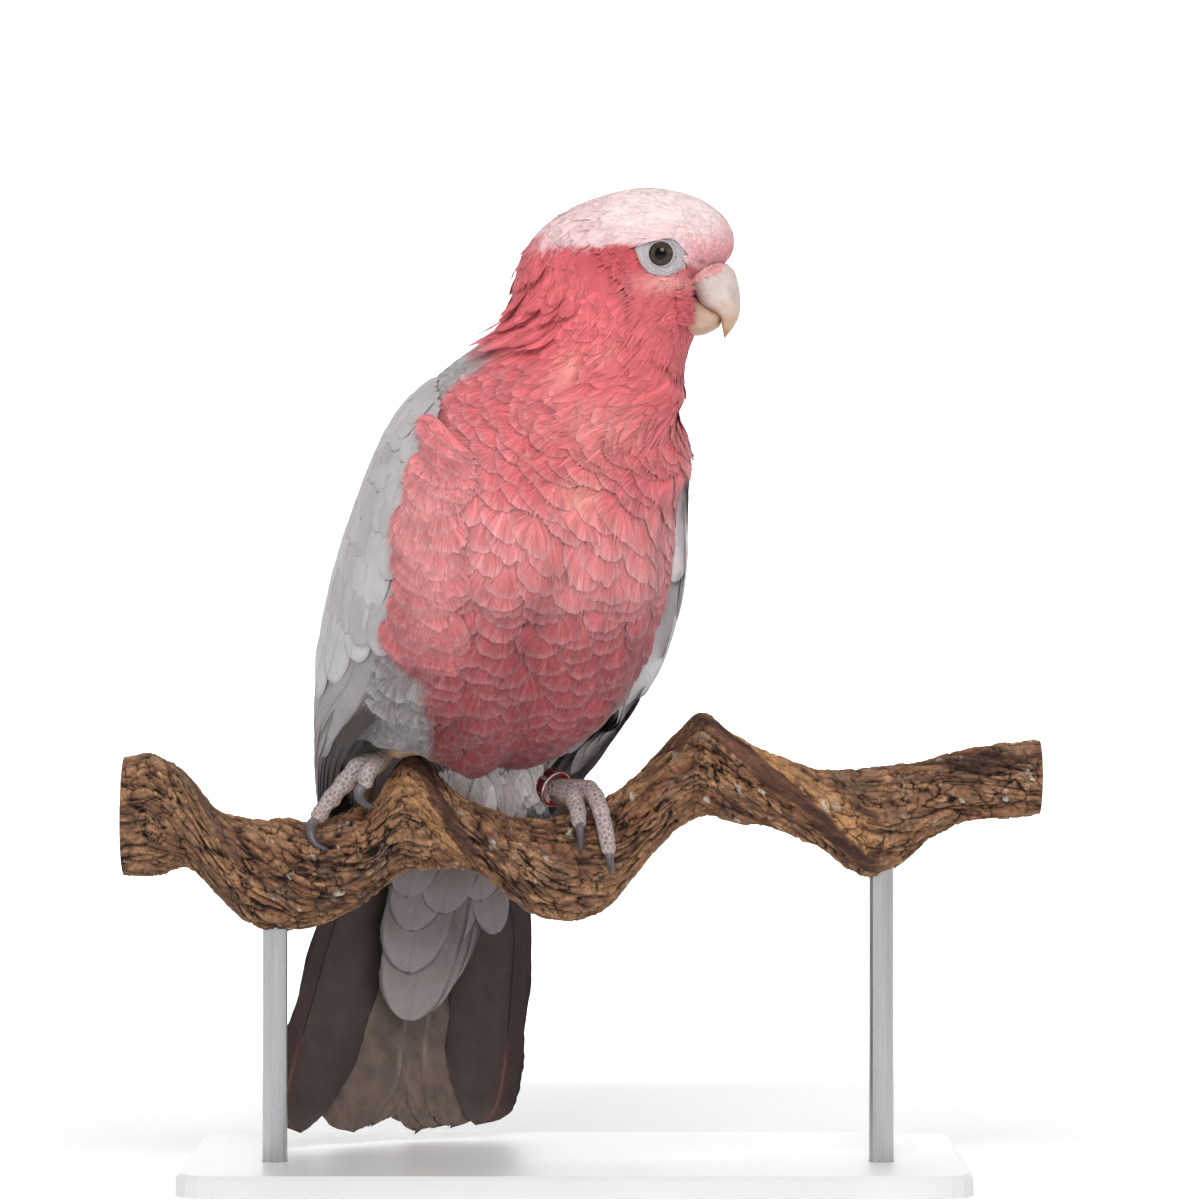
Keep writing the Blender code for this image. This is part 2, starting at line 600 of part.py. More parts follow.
def neck_solid(n=7, m=28):
    s = np.linspace(7.0, 10.0, n)
    th = np.linspace(0, 2 * np.pi, m, endpoint=False)
    r = body(s[:, None], th[None, :])
    # thin parting cuts on the head and trunk sides
    r[0] = body(np.full(m, 7.03), th)
    r[-1] = body(np.full(m, 9.97), th)
    return closed_loft(r)


INSET = np.array([(10.0, 0.0), (10.35, 2.2), (10.7, 5.0), (11.0, 6.4), (12.0, 7.5), (15.0, 6.8),
                  (16.0, 6.0), (17.0, 3.5), (18.0, 1.0), (19.0, 0.0), (20.0, 0.0)])


def wing_bed(s, th):
    """How deep the body lies under the folded wing, 0 clear of it."""
    f, r, t = wing_edges(np.clip(s, 10.35, 21.85))
    a = np.abs((np.asarray(th) + np.pi) % (2 * np.pi) - np.pi)
    lo, hi = np.radians(9.0), np.radians(7.0)
    m = smooth(f - lo, f - np.radians(1.0), a) * (1 - smooth(r + np.radians(1.0), r + hi, a))
    return spline(INSET[:, 0], INSET[:, 1:], s)[..., 0] * m


def trunk_surface(s, th):
    s, th = np.broadcast_arrays(np.asarray(s, float), np.asarray(th, float))
    return make_room(body_in(s, th, wing_bed(s, th)))


def trunk_angles(s):
    """Half-ring angles for each station, with lines along the wings' edges."""
    f, r, _ = wing_edges(np.clip(s, 10.35, 21.85))
    d = np.radians
    f, r = f[:, None], r[:, None]
    lo, hi = f - d(1.0), r + d(1.0)
    rest = np.pi - hi
    th = np.concatenate([
        (f - d(9.0)) * np.linspace(0, 1, 6)[None, :], f - d(4.5), lo,
        lo + (hi - lo) * np.linspace(0, 1, 6)[None, 1:],
        hi + rest * np.array([[0.3, 0.6]]), hi + rest], axis=1)
    return np.concatenate([th, 2 * np.pi - th[:, -2:0:-1]], axis=1)


def trunk_solid(n=17):
    s = np.linspace(10.0, 18.8, n)
    return closed_loft(trunk_surface(s[:, None], trunk_angles(s)))


def wing_solid(side, s0, s1, n=14, m=11):
    s = np.linspace(s0, s1, n)
    f, r, t = wing_edges(s)
    u = np.linspace(0, 1, m)
    th = (f[:, None] + (r - f)[:, None] * u[None, :]) * side
    ss = np.repeat(s[:, None], m, 1)
    p, nrm, _ = surface(wing, ss, th)
    mid = spline(WING_TABLE[:, 0], WING_TABLE[:, 1:7], ss)
    c = (mid[..., :3] + mid[..., 3:]) / 2
    sg = np.sign(((p - c) * nrm).sum(-1, keepdims=True))
    nrm = nrm * sg
    prof = 0.30 + 0.70 * np.sqrt(np.clip(np.sin(np.pi * np.clip(u * 0.92 + 0.04, 0, 1)), 0, 1))
    # thin at the shoulder end and at the tip
    ends = np.minimum(smooth(s0 - 0.6, s0 + 0.5, s) if s0 < 11 else 1.0, 1.0)
    tk = t[:, None] * prof[None, :] * (ends if np.ndim(ends) else ends * np.ones(n))[:, None]
    q = p - nrm * np.maximum(tk, 0.9)[..., None]
    V = np.concatenate([p.reshape(-1, 3), q.reshape(-1, 3)])
    F = []
    N = n * m
    for i in range(n - 1):
        for j in range(m - 1):
            a, b, c2, d = i * m + j, i * m + j + 1, (i + 1) * m + j + 1, (i + 1) * m + j
            F += [(a, b, c2, d), (a + N, d + N, c2 + N, b + N)]
    edge = ([(i, 0) for i in range(n)] + [(n - 1, j) for j in range(1, m)]
            + [(i, m - 1) for i in range(n - 2, -1, -1)] + [(0, j) for j in range(m - 2, 0, -1)])
    for k, (i, j) in enumerate(edge):
        i2, j2 = edge[(k + 1) % len(edge)]
        a, b = i * m + j, i2 * m + j2
        F.append((a, b, b + N, a + N))
    if volume(V, F) < 0:
        F = [tuple(reversed(x)) for x in F]
    return V, F


def bill_solid(rows, tip, n, m=16, grow=0.0):
    th = np.linspace(0, 2 * np.pi, m, endpoint=False)
    r = bill_rings(rows, n, th, grow)
    if grow:
        d = r[0].mean(0) - r[1].mean(0)
        r[0] += d / np.linalg.norm(d) * grow
        tip = None if tip is None else tip + (tip - r[-1].mean(0)) * 0.3
    return closed_loft(r, None, tip)


def sphere(c, r, n=8, m=12):
    lat = np.linspace(0, np.pi, n + 1)[1:-1]
    a = np.linspace(0, 2 * np.pi, m, endpoint=False)
    rings = np.stack([np.sin(lat)[:, None] * np.cos(a), np.sin(lat)[:, None] * np.sin(a),
                      np.cos(lat)[:, None] * np.ones(m)], -1) * r + np.asarray(c)
    return closed_loft(rings, np.asarray(c) + [0, 0, r], np.asarray(c) - [0, 0, r])


def claw_solid(P, r=CLAW_R, sides=6):
    P = np.asarray(P, float)
    t = np.linspace(0, 1, len(P))
    u = np.linspace(0, 1, 6)
    C = spline(t, P, u)
    R = r * np.array([1.0, 0.97, 0.86, 0.68, 0.46, 0.2])
    T, N, B = frames_along(C)
    a = np.linspace(0, 2 * np.pi, sides, endpoint=False)
    rings = [C[i] + (N[i] * np.cos(a)[:, None] + B[i] * np.sin(a)[:, None]) * R[i] for i in range(6)]
    return closed_loft(rings, C[0] - T[0] * 0.3, C[-1] + T[-1] * 0.35)


def perch_solid(n=38, m=12):
    x = np.linspace(PERCH_ENDS[0], PERCH_ENDS[1], n)
    al = np.linspace(0, 2 * np.pi, m, endpoint=False)
    return closed_loft(perch(x[:, None], al[None, :]))


def ring_solid(n=20):
    A = np.array(RING_AXIS) / np.linalg.norm(RING_AXIS)
    U = np.cross(A, [0, 0, 1.0])
    U /= np.linalg.norm(U)
    W = np.cross(A, U)
    a = np.linspace(0, 2 * np.pi, n, endpoint=False)
    C = np.array(RING_AT)
    prof = [(RING_OUT, -0.5), (RING_OUT, 0.5), (RING_IN, 0.5), (RING_IN, -0.5)]
    rings = [C + A * (h * RING_LONG) + (U * np.cos(a)[:, None] + W * np.sin(a)[:, None]) * r for r, h in prof]
    V = np.concatenate(rings)
    F = []
    for i in range(4):
        for j in range(n):
            k, i2 = (j + 1) % n, (i + 1) % 4
            F.append((i * n + j, i * n + k, i2 * n + k, i2 * n + j))
    if volume(V, F) < 0:
        F = [tuple(reversed(f)) for f in F]
    return V, F


def build_solids():
    S = {}
    S["head"] = head_solid()
    S["neck"] = neck_solid()
    S["trunk"] = trunk_solid()
    for name, side in (("right", -1), ("left", 1)):
        S["wing_%s_coverts" % name] = wing_solid(side, 10.35, 14.56, 9, 7)
        S["wing_%s_flight" % name] = wing_solid(side, 14.62, 21.85, 12, 7)
        S["eye_%s" % name] = sphere(eye_centre(side), EYE_R)
        S["tarsus_%s" % name] = tube(*TARSI[name], sides=9, steps=3)
        S["thigh_%s" % name] = tube(*THIGHS[name], sides=10, steps=3)
    S["bill_upper"] = bill_solid(UPPER_BILL, at_head(*UPPER_TIP), 11, 14)
    S["bill_lower"] = bill_solid(LOWER_BILL, None, 7, 14)
    for k, (P, R) in TOES.items():
        S["toe_" + k] = tube(P, R, sides=7, steps=len(P) + 2)
        S["claw_" + k] = claw_solid(CLAWS[k])
    def tail_plate(lo, hi, lift, thick, m):
        us = np.linspace(lo, hi, m)
        vs = np.linspace(0, 1, 6)[:, None] ** 0.9 * tail_length(us)[None, :]
        return plate(lambda v, u, l: tail(v, u, l + lift), vs, us, thick)
    S["tail_right"] = tail_plate(-1.0, -0.30, 0.0, 1.8, 11)
    S["tail_left"] = tail_plate(0.38, 1.0, 0.0, 1.8, 10)
    S["tail_middle"] = tail_plate(-0.50, 0.56, 2.3, 1.8, 16)
    S["undertail_coverts"] = plate(undertail, np.linspace(0, 1, 9), np.linspace(-1, 1, 7), 2.2)
    S["leg_ring"] = ring_solid()
    S["perch"] = perch_solid()
    return S


# ------------------------------------------------------------ making objects
for old in list(bpy.data.objects):
    bpy.data.objects.remove(old, do_unlink=True)


def material(name, colour, rough, metal=0.0):
    m = bpy.data.materials.new(name)
    m.use_nodes = True
    p = m.node_tree.nodes["Principled BSDF"]
    p.inputs["Base Color"].default_value = (*colour, 1.0)
    p.inputs["Roughness"].default_value = rough
    p.inputs["Metallic"].default_value = metal
    return m


MATERIALS = {
    "crown": material("crown feathers", (0.80, 0.58, 0.58), 0.8),
    "rose": material("rose feathers", (0.62, 0.15, 0.17), 0.8),
    "grey": material("grey feathers", (0.44, 0.43, 0.44), 0.75),
    "flight": material("flight feathers", (0.20, 0.19, 0.19), 0.7),
    "tail": material("tail feathers", (0.07, 0.055, 0.05), 0.6),
    "down": material("leg down", (0.72, 0.64, 0.62), 0.85),
    "scale": material("scaled skin", (0.38, 0.32, 0.30), 0.6),
    "claw": material("claw horn", (0.06, 0.06, 0.07), 0.35),
    "bill": material("bill horn", (0.74, 0.60, 0.48), 0.4),
    "eye": material("eye", (0.05, 0.03, 0.02), 0.08),
    "band": material("anodised band", (0.22, 0.01, 0.02), 0.35, 1.0),
    "bark": material("vine bark", (0.21, 0.12, 0.06), 0.9),
    "board": material("stand board", (0.72, 0.71, 0.69), 0.45),
    "steel": material("stand steel", (0.60, 0.60, 0.61), 0.3, 1.0),
}


def empty(name, at):
    e = bpy.data.objects.new(name, None)
    e.location = Vector(at) * MM
    bpy.context.collection.objects.link(e)
    return e


GALAH = empty("galah", (BODY_ORG[0], BODY_ORG[1], 190.0))
STAND = empty("display_stand", (BASE_MID[0], BASE_MID[1], 0.0))
bpy.context.view_layer.update()


def add(name, mesh_data, mat, parent, smooth_angle=40.0, hidden=False):
    """One object from vertices and faces, with its origin at its middle."""
    V, F = mesh_data
    at = (V.min(0) + V.max(0)) / 2
    bm = bmesh.new()
    vs = [bm.verts.new(tuple((p - at) * MM)) for p in V]
    for f in F:
        bm.faces.new([vs[i] for i in f])
    bmesh.ops.triangulate(bm, faces=bm.faces[:])
    me = bpy.data.meshes.new(name)
    bm.to_mesh(me)
    bm.free()
    ob = bpy.data.objects.new(name, me)
    bpy.context.collection.objects.link(ob)
    ob.parent = parent
    ob.matrix_parent_inverse = parent.matrix_world.inverted()
    ob.location = Vector(at) * MM
    me.materials.append(mat)
    me.shade_smooth()
    me.set_sharp_from_angle(angle=np.radians(smooth_angle))
    if hidden:
        ob.hide_render = True
        ob.display_type = "WIRE"
    return ob


def cut(ob, cutter):
    m = ob.modifiers.new("cut " + cutter.name, "BOOLEAN")
    m.operation = "DIFFERENCE"
    m.solver = "EXACT"
    m.object = cutter


def rod(name, at, z0, z1, r, mat, sides=16, hidden=False, parent=None):
    bm = bmesh.new()
    bmesh.ops.create_cone(bm, cap_ends=True, segments=sides, radius1=r * MM, radius2=r * MM,
                          depth=(z1 - z0) * MM)
    me = bpy.data.meshes.new(name)
    bm.to_mesh(me)
    bm.free()
    ob = bpy.data.objects.new(name, me)
    bpy.context.collection.objects.link(ob)
    if parent:
        ob.parent = parent
        ob.matrix_parent_inverse = parent.matrix_world.inverted()
    ob.location = (at[0] * MM, at[1] * MM, (z0 + z1) / 2 * MM)
    me.materials.append(mat)
    me.shade_smooth()
    me.set_sharp_from_angle(angle=np.radians(40))
    if hidden:
        ob.hide_render = True
        ob.display_type = "WIRE"
    return ob


SOLIDS = build_solids()
SKIN_OF = [("head", "crown"), ("neck", "rose"), ("trunk", "rose"), ("wing", "grey"),
           ("undertail", "grey"), ("tail", "tail"), ("thigh", "down"), ("tarsus", "scale"),
           ("toe", "scale"), ("claw", "claw"), ("bill", "bill"), ("eye", "eye"),
           ("leg_ring", "band"), ("perch", "bark")]
OB = {}
for name, data in SOLIDS.items():
    key = next(m for start, m in SKIN_OF if name.startswith(start))
    if name.endswith("flight"):
        key = "flight"
    OB[name] = add(name, data, MATERIALS[key], STAND if name == "perch" else GALAH)

# sockets for the eyes and the bill in the head, beds for the thighs in the trunk
for name, side in (("right", -1), ("left", 1)):
    cut(OB["head"], add("cut_eye_" + name, sphere(eye_centre(side), EYE_R + GAP, 8, 12),
                        MATERIALS["eye"], GALAH, hidden=True))
    P, R = THIGHS[name]
    cut(OB["trunk"], add("cut_thigh_" + name, tube(P, np.array(R) + GAP, sides=10, steps=3),
                         MATERIALS["down"], GALAH, hidden=True))
for name, rows, tip, n in (("upper", UPPER_BILL, at_head(*UPPER_TIP), 11), ("lower", LOWER_BILL, None, 7)):
    tool = add("cut_bill_" + name, bill_solid(rows, tip, n, 14, GAP), MATERIALS["bill"], GALAH, hidden=True)
    cut(OB["head"], tool)
    if name == "upper":
        cut(OB["bill_lower"], tool)          # the lower bill closes up into the upper one

# the stand: a board with two blind holes, and rods up into the vine
bm = bmesh.new()
bmesh.ops.create_cube(bm, size=1.0)
bmesh.ops.scale(bm, vec=Vector(BASE_SIZE) * MM, verts=bm.verts)
upright = [e for e in bm.edges if abs(e.verts[0].co.z - e.verts[1].co.z) > 1e-6]
bmesh.ops.bevel(bm, geom=upright, offset=BASE_ROUND * MM, segments=4, profile=0.5, affect="EDGES")
rim = [e for e in bm.edges if all(v.co.z > BASE_SIZE[2] * MM * 0.49 for v in e.verts)]
bmesh.ops.bevel(bm, geom=rim, offset=1.2 * MM, segments=1, profile=0.5, affect="EDGES")
me = bpy.data.meshes.new("stand_base")
bm.to_mesh(me)
bm.free()
base = bpy.data.objects.new("stand_base", me)
bpy.context.collection.objects.link(base)
base.parent = STAND
base.matrix_parent_inverse = STAND.matrix_world.inverted()
base.location = (BASE_MID[0] * MM, BASE_MID[1] * MM, BASE_SIZE[2] / 2 * MM)
me.materials.append(MATERIALS["board"])
for i, (x, top) in enumerate(ROD_AT, 1):
    rod("stand_rod_%d" % i, (x, ROD_Y[i - 1]), HOLE_FLOOR + GAP, top, ROD_R, MATERIALS["steel"], parent=STAND)
    hole = rod("cut_base_%d" % i, (x, ROD_Y[i - 1]), HOLE_FLOOR, 40.0, ROD_R + GAP, MATERIALS["steel"],
               hidden=True, parent=STAND)
    cut(base, hole)
    hole = rod("cut_perch_%d" % i, (x, ROD_Y[i - 1]), 40.0, top + GAP, ROD_R + GAP, MATERIALS["steel"],
               hidden=True, parent=STAND)
    cut(OB["perch"], hole)
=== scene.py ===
"""A galah at life size on a twisted vine: skin, feathers, horn, bark and light.

Every surface is measured from the same rings as the solids.  Millimetres are
used until a mesh is made; +X runs along the vine and +Z is up.
"""
import bpy
import numpy as np
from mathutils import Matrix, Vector
from mathutils.bvhtree import BVHTree


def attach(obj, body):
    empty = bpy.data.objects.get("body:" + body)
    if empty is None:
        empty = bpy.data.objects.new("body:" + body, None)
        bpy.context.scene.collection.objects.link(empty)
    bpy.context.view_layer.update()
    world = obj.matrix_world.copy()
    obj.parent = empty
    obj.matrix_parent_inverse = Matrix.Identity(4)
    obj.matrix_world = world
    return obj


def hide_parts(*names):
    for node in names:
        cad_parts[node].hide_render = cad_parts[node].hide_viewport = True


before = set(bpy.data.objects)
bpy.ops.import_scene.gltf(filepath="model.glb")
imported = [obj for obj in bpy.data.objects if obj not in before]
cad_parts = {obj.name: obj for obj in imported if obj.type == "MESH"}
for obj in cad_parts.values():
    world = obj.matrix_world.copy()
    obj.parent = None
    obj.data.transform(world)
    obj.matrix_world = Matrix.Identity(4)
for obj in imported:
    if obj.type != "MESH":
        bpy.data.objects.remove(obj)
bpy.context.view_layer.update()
MM = 0.001
pi = np.pi

# ---------------------------------------------------------------- shared form
# Millimetres throughout; +X runs along the perch, +Z is up, the breast faces
# mostly -Y.  The body is a stack of closed rings from the face to the tail
# root.  Each ring has a dorsal point, a ventral point, a sideways half width
# and a heading, and every other surface of the bird is measured from it.

BODY_YAW = 28.0            # heading of the trunk, degrees from -Y towards +X
HEAD_YAW = 80.0            # heading of the head, which is turned to its left
BODY_ORG = (-24.8, -26.5)  # a point of the trunk's midline, seen from above
HEAD_ORG = (20.0, -39.0)   # a point of the head's midline, seen from above


def heading(yaw):
    r = np.radians(yaw)
    z = np.zeros_like(r)
    return (np.stack([np.sin(r), -np.cos(r), z], -1),
            np.stack([np.cos(r), np.sin(r), z], -1))


def spline(xs, ys, x):
    xs = np.asarray(xs, float)
    ys = np.asarray(ys, float)
    x = np.clip(np.asarray(x, float), xs[0], xs[-1])
    m = np.gradient(ys, xs, axis=0)
    i = np.clip(np.searchsorted(xs, x, side="right") - 1, 0, len(xs) - 2)
    h = xs[i + 1] - xs[i]
    t = (x - xs[i]) / h
    if ys.ndim > 1:
        h = h[..., None]
        t = t[..., None]
    return ((2 * t**3 - 3 * t**2 + 1) * ys[i] + (t**3 - 2 * t**2 + t) * h * m[i]
            + (3 * t**2 - 2 * t**3) * ys[i + 1] + (t**3 - t**2) * h * m[i + 1])


def smooth(a, b, x):
    t = np.clip((x - a) / (b - a), 0.0, 1.0)
    return t * t * (3 - 2 * t)


def at_head(f, z, side=0.0):
    F, L = heading(HEAD_YAW)
    return np.array([HEAD_ORG[0], HEAD_ORG[1], 0.0]) + f * F + side * L + np.array([0, 0, z])


def at_body(a, z, side=0.0):
    F, L = heading(BODY_YAW)
    a, z, side = np.broadcast_arrays(np.asarray(a, float), z, side)
    return (np.array([BODY_ORG[0], BODY_ORG[1], 0.0]) + a[..., None] * F
            + side[..., None] * L + z[..., None] * np.array([0, 0, 1.0]))


# station: dorsal (forward, height), ventral (forward, height), side shift,
# heading, half width, widest shift, squareness; first in the head's frame
HEAD_ROWS = [
    # s     Df     Dz     Vf    Vz    yaw   w     kap    e
    (0.00, 18.6, 290.4,  10.4, 270.8, 80.0, 4.5,  0.00, 2.0),
    (0.35, 20.9, 293.6,   9.9, 269.4, 80.0, 8.6,  0.00, 2.0),
    (1.00, 22.0, 298.6,   9.3, 268.4, 80.0, 13.0, 0.00, 2.1),
    (2.00, 18.6, 306.2,   8.3, 266.4, 80.0, 16.6, -0.05, 2.2),
    (3.00, 8.9,  312.6,   7.3, 264.1, 80.0, 18.6, -0.08, 2.25),
    (4.00, -6.0, 315.2,   6.5, 261.2, 80.0, 19.8, -0.06, 2.25),
    (5.00, -22.0, 312.0,  5.9, 258.0, 80.0, 20.6, 0.00, 2.2),
    (6.00, -35.6, 305.6,  5.7, 254.6, 79.0, 21.8, 0.04, 2.1),
    (7.00, -44.4, 295.4,  6.4, 250.0, 77.0, 23.2, 0.06, 2.0),
]
# then in the trunk's frame
BODY_ROWS = [
    # s     Da     Dz     Va    Vz    side  yaw   w     kap    e
    (9.00, -11.0, 275.0, 42.5, 240.0, 14.5, 55.0, 30.0, 0.06, 2.0),
    (10.00, -21.5, 265.5, 41.5, 230.0, 9.4, 37.0, 40.2, 0.05, 2.05),
    (11.00, -30.0, 255.4, 41.4, 219.0, 5.3, 30.0, 46.8, 0.02, 2.15),
    (12.00, -36.5, 241.4, 40.0, 205.0, 2.9, 28.0, 49.9, 0.00, 2.2),
    (13.00, -45.5, 222.0, 33.5, 184.0, 2.1, 28.0, 53.9, 0.00, 2.2),
    (14.00, -54.0, 203.0, 21.5, 163.5, 2.2, 28.0, 55.6, -0.02, 2.2),
    (15.00, -63.0, 183.0, 5.0, 145.0, 3.6, 28.0, 54.6, -0.08, 2.15),
    (16.00, -69.5, 165.0, -15.0, 134.0, 2.8, 27.0, 47.0, -0.20, 2.1),
    (17.00, -76.0, 146.0, -35.0, 126.0, 2.4, 24.0, 38.0, -0.25, 2.1),
    (18.00, -80.0, 129.0, -51.0, 113.5, 2.0, 21.0, 29.5, -0.15, 2.1),
    (19.00, -82.0, 114.0, -60.0, 101.0, 1.5, 28.0, 24.0, 0.0, 2.1),
    (20.00, -83.5, 104.0, -65.0, 93.0, 1.0, 28.0, 20.0, 0.0, 2.1),
]


def body_table():
    rows = []
    for s, df, dz, vf, vz, yaw, w, kap, e in HEAD_ROWS:
        rows.append([s, *at_head(df, dz), *at_head(vf, vz), yaw, w, kap, e])
    for s, da, dz, va, vz, side, yaw, w, kap, e in BODY_ROWS:
        # the ring turns with its heading about its own middle
        m = at_body((da + va) / 2, (dz + vz) / 2, side)
        F, L = heading(yaw)
        half = (va - da) / 2
        rise = (dz - vz) / 2
        d = m - half * F + np.array([0, 0, rise])
        v = m + half * F - np.array([0, 0, rise])
        rows.append([s, *d, *v, yaw, w, kap, e])
    return np.array(rows)


BODY_TABLE = body_table()


def ring(table, s, th):
    """Surface points for stations s and angles th (0 ventral, 90 its left)."""
    s, th = np.broadcast_arrays(np.asarray(s, float), np.asarray(th, float))
    v = spline(table[:, 0], table[:, 1:], s)
    D, V, yaw, w, kap, e = v[..., 0:3], v[..., 3:6], v[..., 6], v[..., 7], v[..., 8], v[..., 9]
    L = heading(yaw)[1]
    c, sn = np.cos(th), np.sin(th)
    cc = np.sign(c) * np.abs(c) ** (2 / e)
    ss = np.sign(sn) * np.abs(sn) ** (2 / e)
    return ((D + V) / 2 + (V - D) / 2 * cc[..., None]
            + L * (w * ss * (1 + kap * cc))[..., None])


def surface(fn, s, th, ds=0.02, dt=0.01):
    """Point, outward normal, and the unit directions along and around."""
    p = fn(s, th)
    ts = fn(s + ds, th) - fn(s - ds, th)
    tt = fn(s, th + dt) - fn(s, th - dt)
    n = np.cross(ts, tt)
    n /= np.maximum(np.linalg.norm(n, axis=-1, keepdims=True), 1e-9)
    ts /= np.maximum(np.linalg.norm(ts, axis=-1, keepdims=True), 1e-9)
    return p, n, ts


# the face is rounded from cheek to cheek, so its rings sweep back at the sides
FACE_BACK = np.array([(0.0, 7.0), (0.35, 8.0), (1.0, 8.0), (2.0, 6.0), (3.0, 3.0),
                      (4.0, 0.8), (5.0, 0.0), (20.0, 0.0)])


def body(s, th):
    s, th = np.broadcast_arrays(np.asarray(s, float), np.asarray(th, float))
    back = spline(FACE_BACK[:, 0], FACE_BACK[:, 1:], s)[..., 0] * np.sin(th) ** 2
    return ring(BODY_TABLE, s, th) - back[..., None] * heading(HEAD_YAW)[0]


def body_in(s, th, depth):
    p, n, _ = surface(body, s, th)
    return p - n * np.broadcast_to(depth, p.shape[:-1])[..., None]


# ------------------------------------------------------------------- wings
# The folded wings lie on the body's own rings, then run on past the rump in
# rings of their own that close behind the tail.
WING_ROWS = [
    # s     Da     Dz     Va    Vz    side  yaw   w     kap    e
    *[(s, da - 0.5 * (s - 10), dz, va, vz, side, yaw, w + 0.6, kap, e)
      for s, da, dz, va, vz, side, yaw, w, kap, e in BODY_ROWS if 10 <= s <= 15],
    (16.00, -75.0, 165.0, -18.0, 134.0, 6.0, 28.0, 53.2, -0.05, 2.15),
    (17.00, -82.5, 144.0, -41.0, 124.0, 7.4, 28.0, 49.2, -0.02, 2.15),
    (18.00, -88.5, 121.0, -55.0, 108.0, 6.2, 28.0, 42.6, 0.0, 2.15),
    (19.00, -92.5, 99.5, -64.0, 89.0, 2.2, 28.0, 33.2, 0.0, 2.2),
    (20.00, -95.5, 79.0, -72.0, 71.0, -1.0, 28.0, 25.5, 0.0, 2.2),
    (21.00, -98.0, 61.0, -80.0, 55.0, -2.0, 28.0, 16.0, 0.0, 2.2),
    (22.00, -99.5, 46.0, -88.0, 42.0, -3.0, 28.0, 6.0, 0.0, 2.2),
]


def wing_table():
    rows = []
    for s, da, dz, va, vz, side, yaw, w, kap, e in WING_ROWS:
        m = at_body((da + va) / 2, (dz + vz) / 2, side)
        F, L = heading(yaw)
        half, rise = (va - da) / 2, (dz - vz) / 2
        rows.append([s, *(m - half * F + np.array([0, 0, rise])),
                     *(m + half * F - np.array([0, 0, rise])), yaw, w, kap, e])
    return np.array(rows)


WING_TABLE = wing_table()
# front edge and rear edge of the folded wing, degrees round the ring from the
# breast line, and its thickness
WING_EDGE = np.array([
    # s     front  rear   thick
    (10.35, 96.0, 132.0, 3.0),
    (10.70, 80.0, 143.0, 4.5),
    (11.00, 74.0, 149.0, 5.5),
    (12.00, 69.0, 156.0, 6.5),
    (13.00, 63.0, 162.0, 6.5),
    (14.00, 58.0, 167.0, 6.0),
    (15.00, 60.0, 171.0, 5.5),
    (16.00, 70.0, 174.0, 5.0),
    (17.00, 79.0, 176.0, 4.5),
    (18.00, 84.0, 176.5, 4.0),
    (19.00, 88.0, 177.0, 3.5),
    (20.00, 92.0, 176.0, 3.0),
    (21.00, 98.0, 174.0, 2.6),
    (21.85, 108.0, 168.0, 2.2),
])


def wing(s, th):
    return ring(WING_TABLE, s, th)


def wing_edges(s):
    v = spline(WING_EDGE[:, 0], WING_EDGE[:, 1:], s)
    return np.radians(v[..., 0]), np.radians(v[..., 1]), v[..., 2]


# ------------------------------------------------------------------- perch
# A length of twisted vine.  Its outline rises and dips as it winds, and each
# section is a rounded oval with a blunt ridge that turns with the twist.
PERCH_ROWS = [
    # X      top    bottom
    (-152.2, 135.2, 98.8),
    (-141.0, 136.0, 99.0),
    (-131.0, 130.6, 100.6),
    (-122.0, 120.4, 92.6),
    (-113.0, 116.6, 84.6),
    (-102.5, 115.2, 81.0),
    (-90.0, 115.4, 81.6),
    (-80.0, 119.6, 86.2),
    (-71.5, 123.4, 93.0),
    (-67.5, 130.4, 96.6),
    (-62.5, 135.4, 100.4),
    (-56.5, 135.6, 101.8),
    (-51.0, 130.4, 101.2),
    (-44.8, 124.6, 100.8),
    (-38.4, 121.4, 98.4),
    (-32.0, 118.8, 93.6),
    (-22.4, 116.8, 87.0),
    (-8.0, 117.8, 85.2),
    (6.4, 125.8, 91.0),
    (16.0, 135.0, 103.6),
    (25.6, 144.6, 114.8),
    (32.0, 149.8, 118.6),
    (41.6, 145.0, 116.4),
    (57.6, 137.0, 112.2),
    (70.4, 132.2, 106.6),
    (86.4, 132.2, 98.4),
    (96.0, 134.0, 102.0),
    (105.6, 136.2, 109.4),
    (115.2, 138.0, 115.0),
    (128.0, 139.2, 117.4),
    (140.4, 141.4, 118.4),
]
# where the winding ridge stands, degrees from the top towards the front
PERCH_TURN = [(-144.0, 0.0), (-102.4, 180.0), (-60.0, 360.0), (-8.0, 540.0),
              (32.0, 720.0), (88.0, 900.0), (131.0, 1080.0), (142.0, 1120.0)]
PERCH_SWAY = 7.5           # how far the winding carries the middle off its line
PERCH_ENDS = (-152.2, 140.4)
_pr = np.array(PERCH_ROWS)
_pt = np.array(PERCH_TURN)


def perch_mid(x):
    v = spline(_pr[:, 0], _pr[:, 1:], x)
    turn = np.radians(spline(_pt[:, 0], _pt[:, 1], x))
    zc, rv = (v[..., 0] + v[..., 1]) / 2, (v[..., 0] - v[..., 1]) / 2
    e = 1.5
    v2 = spline(_pr[:, 0], _pr[:, 1:], x + e)
    v1 = spline(_pr[:, 0], _pr[:, 1:], x - e)
    slope = ((v2.sum(-1) - v1.sum(-1)) / 2) / (2 * e)
    ry = rv / np.sqrt(1 + np.minimum(slope**2, 0.5))
    return -PERCH_SWAY * np.sin(turn), zc, rv, ry, turn


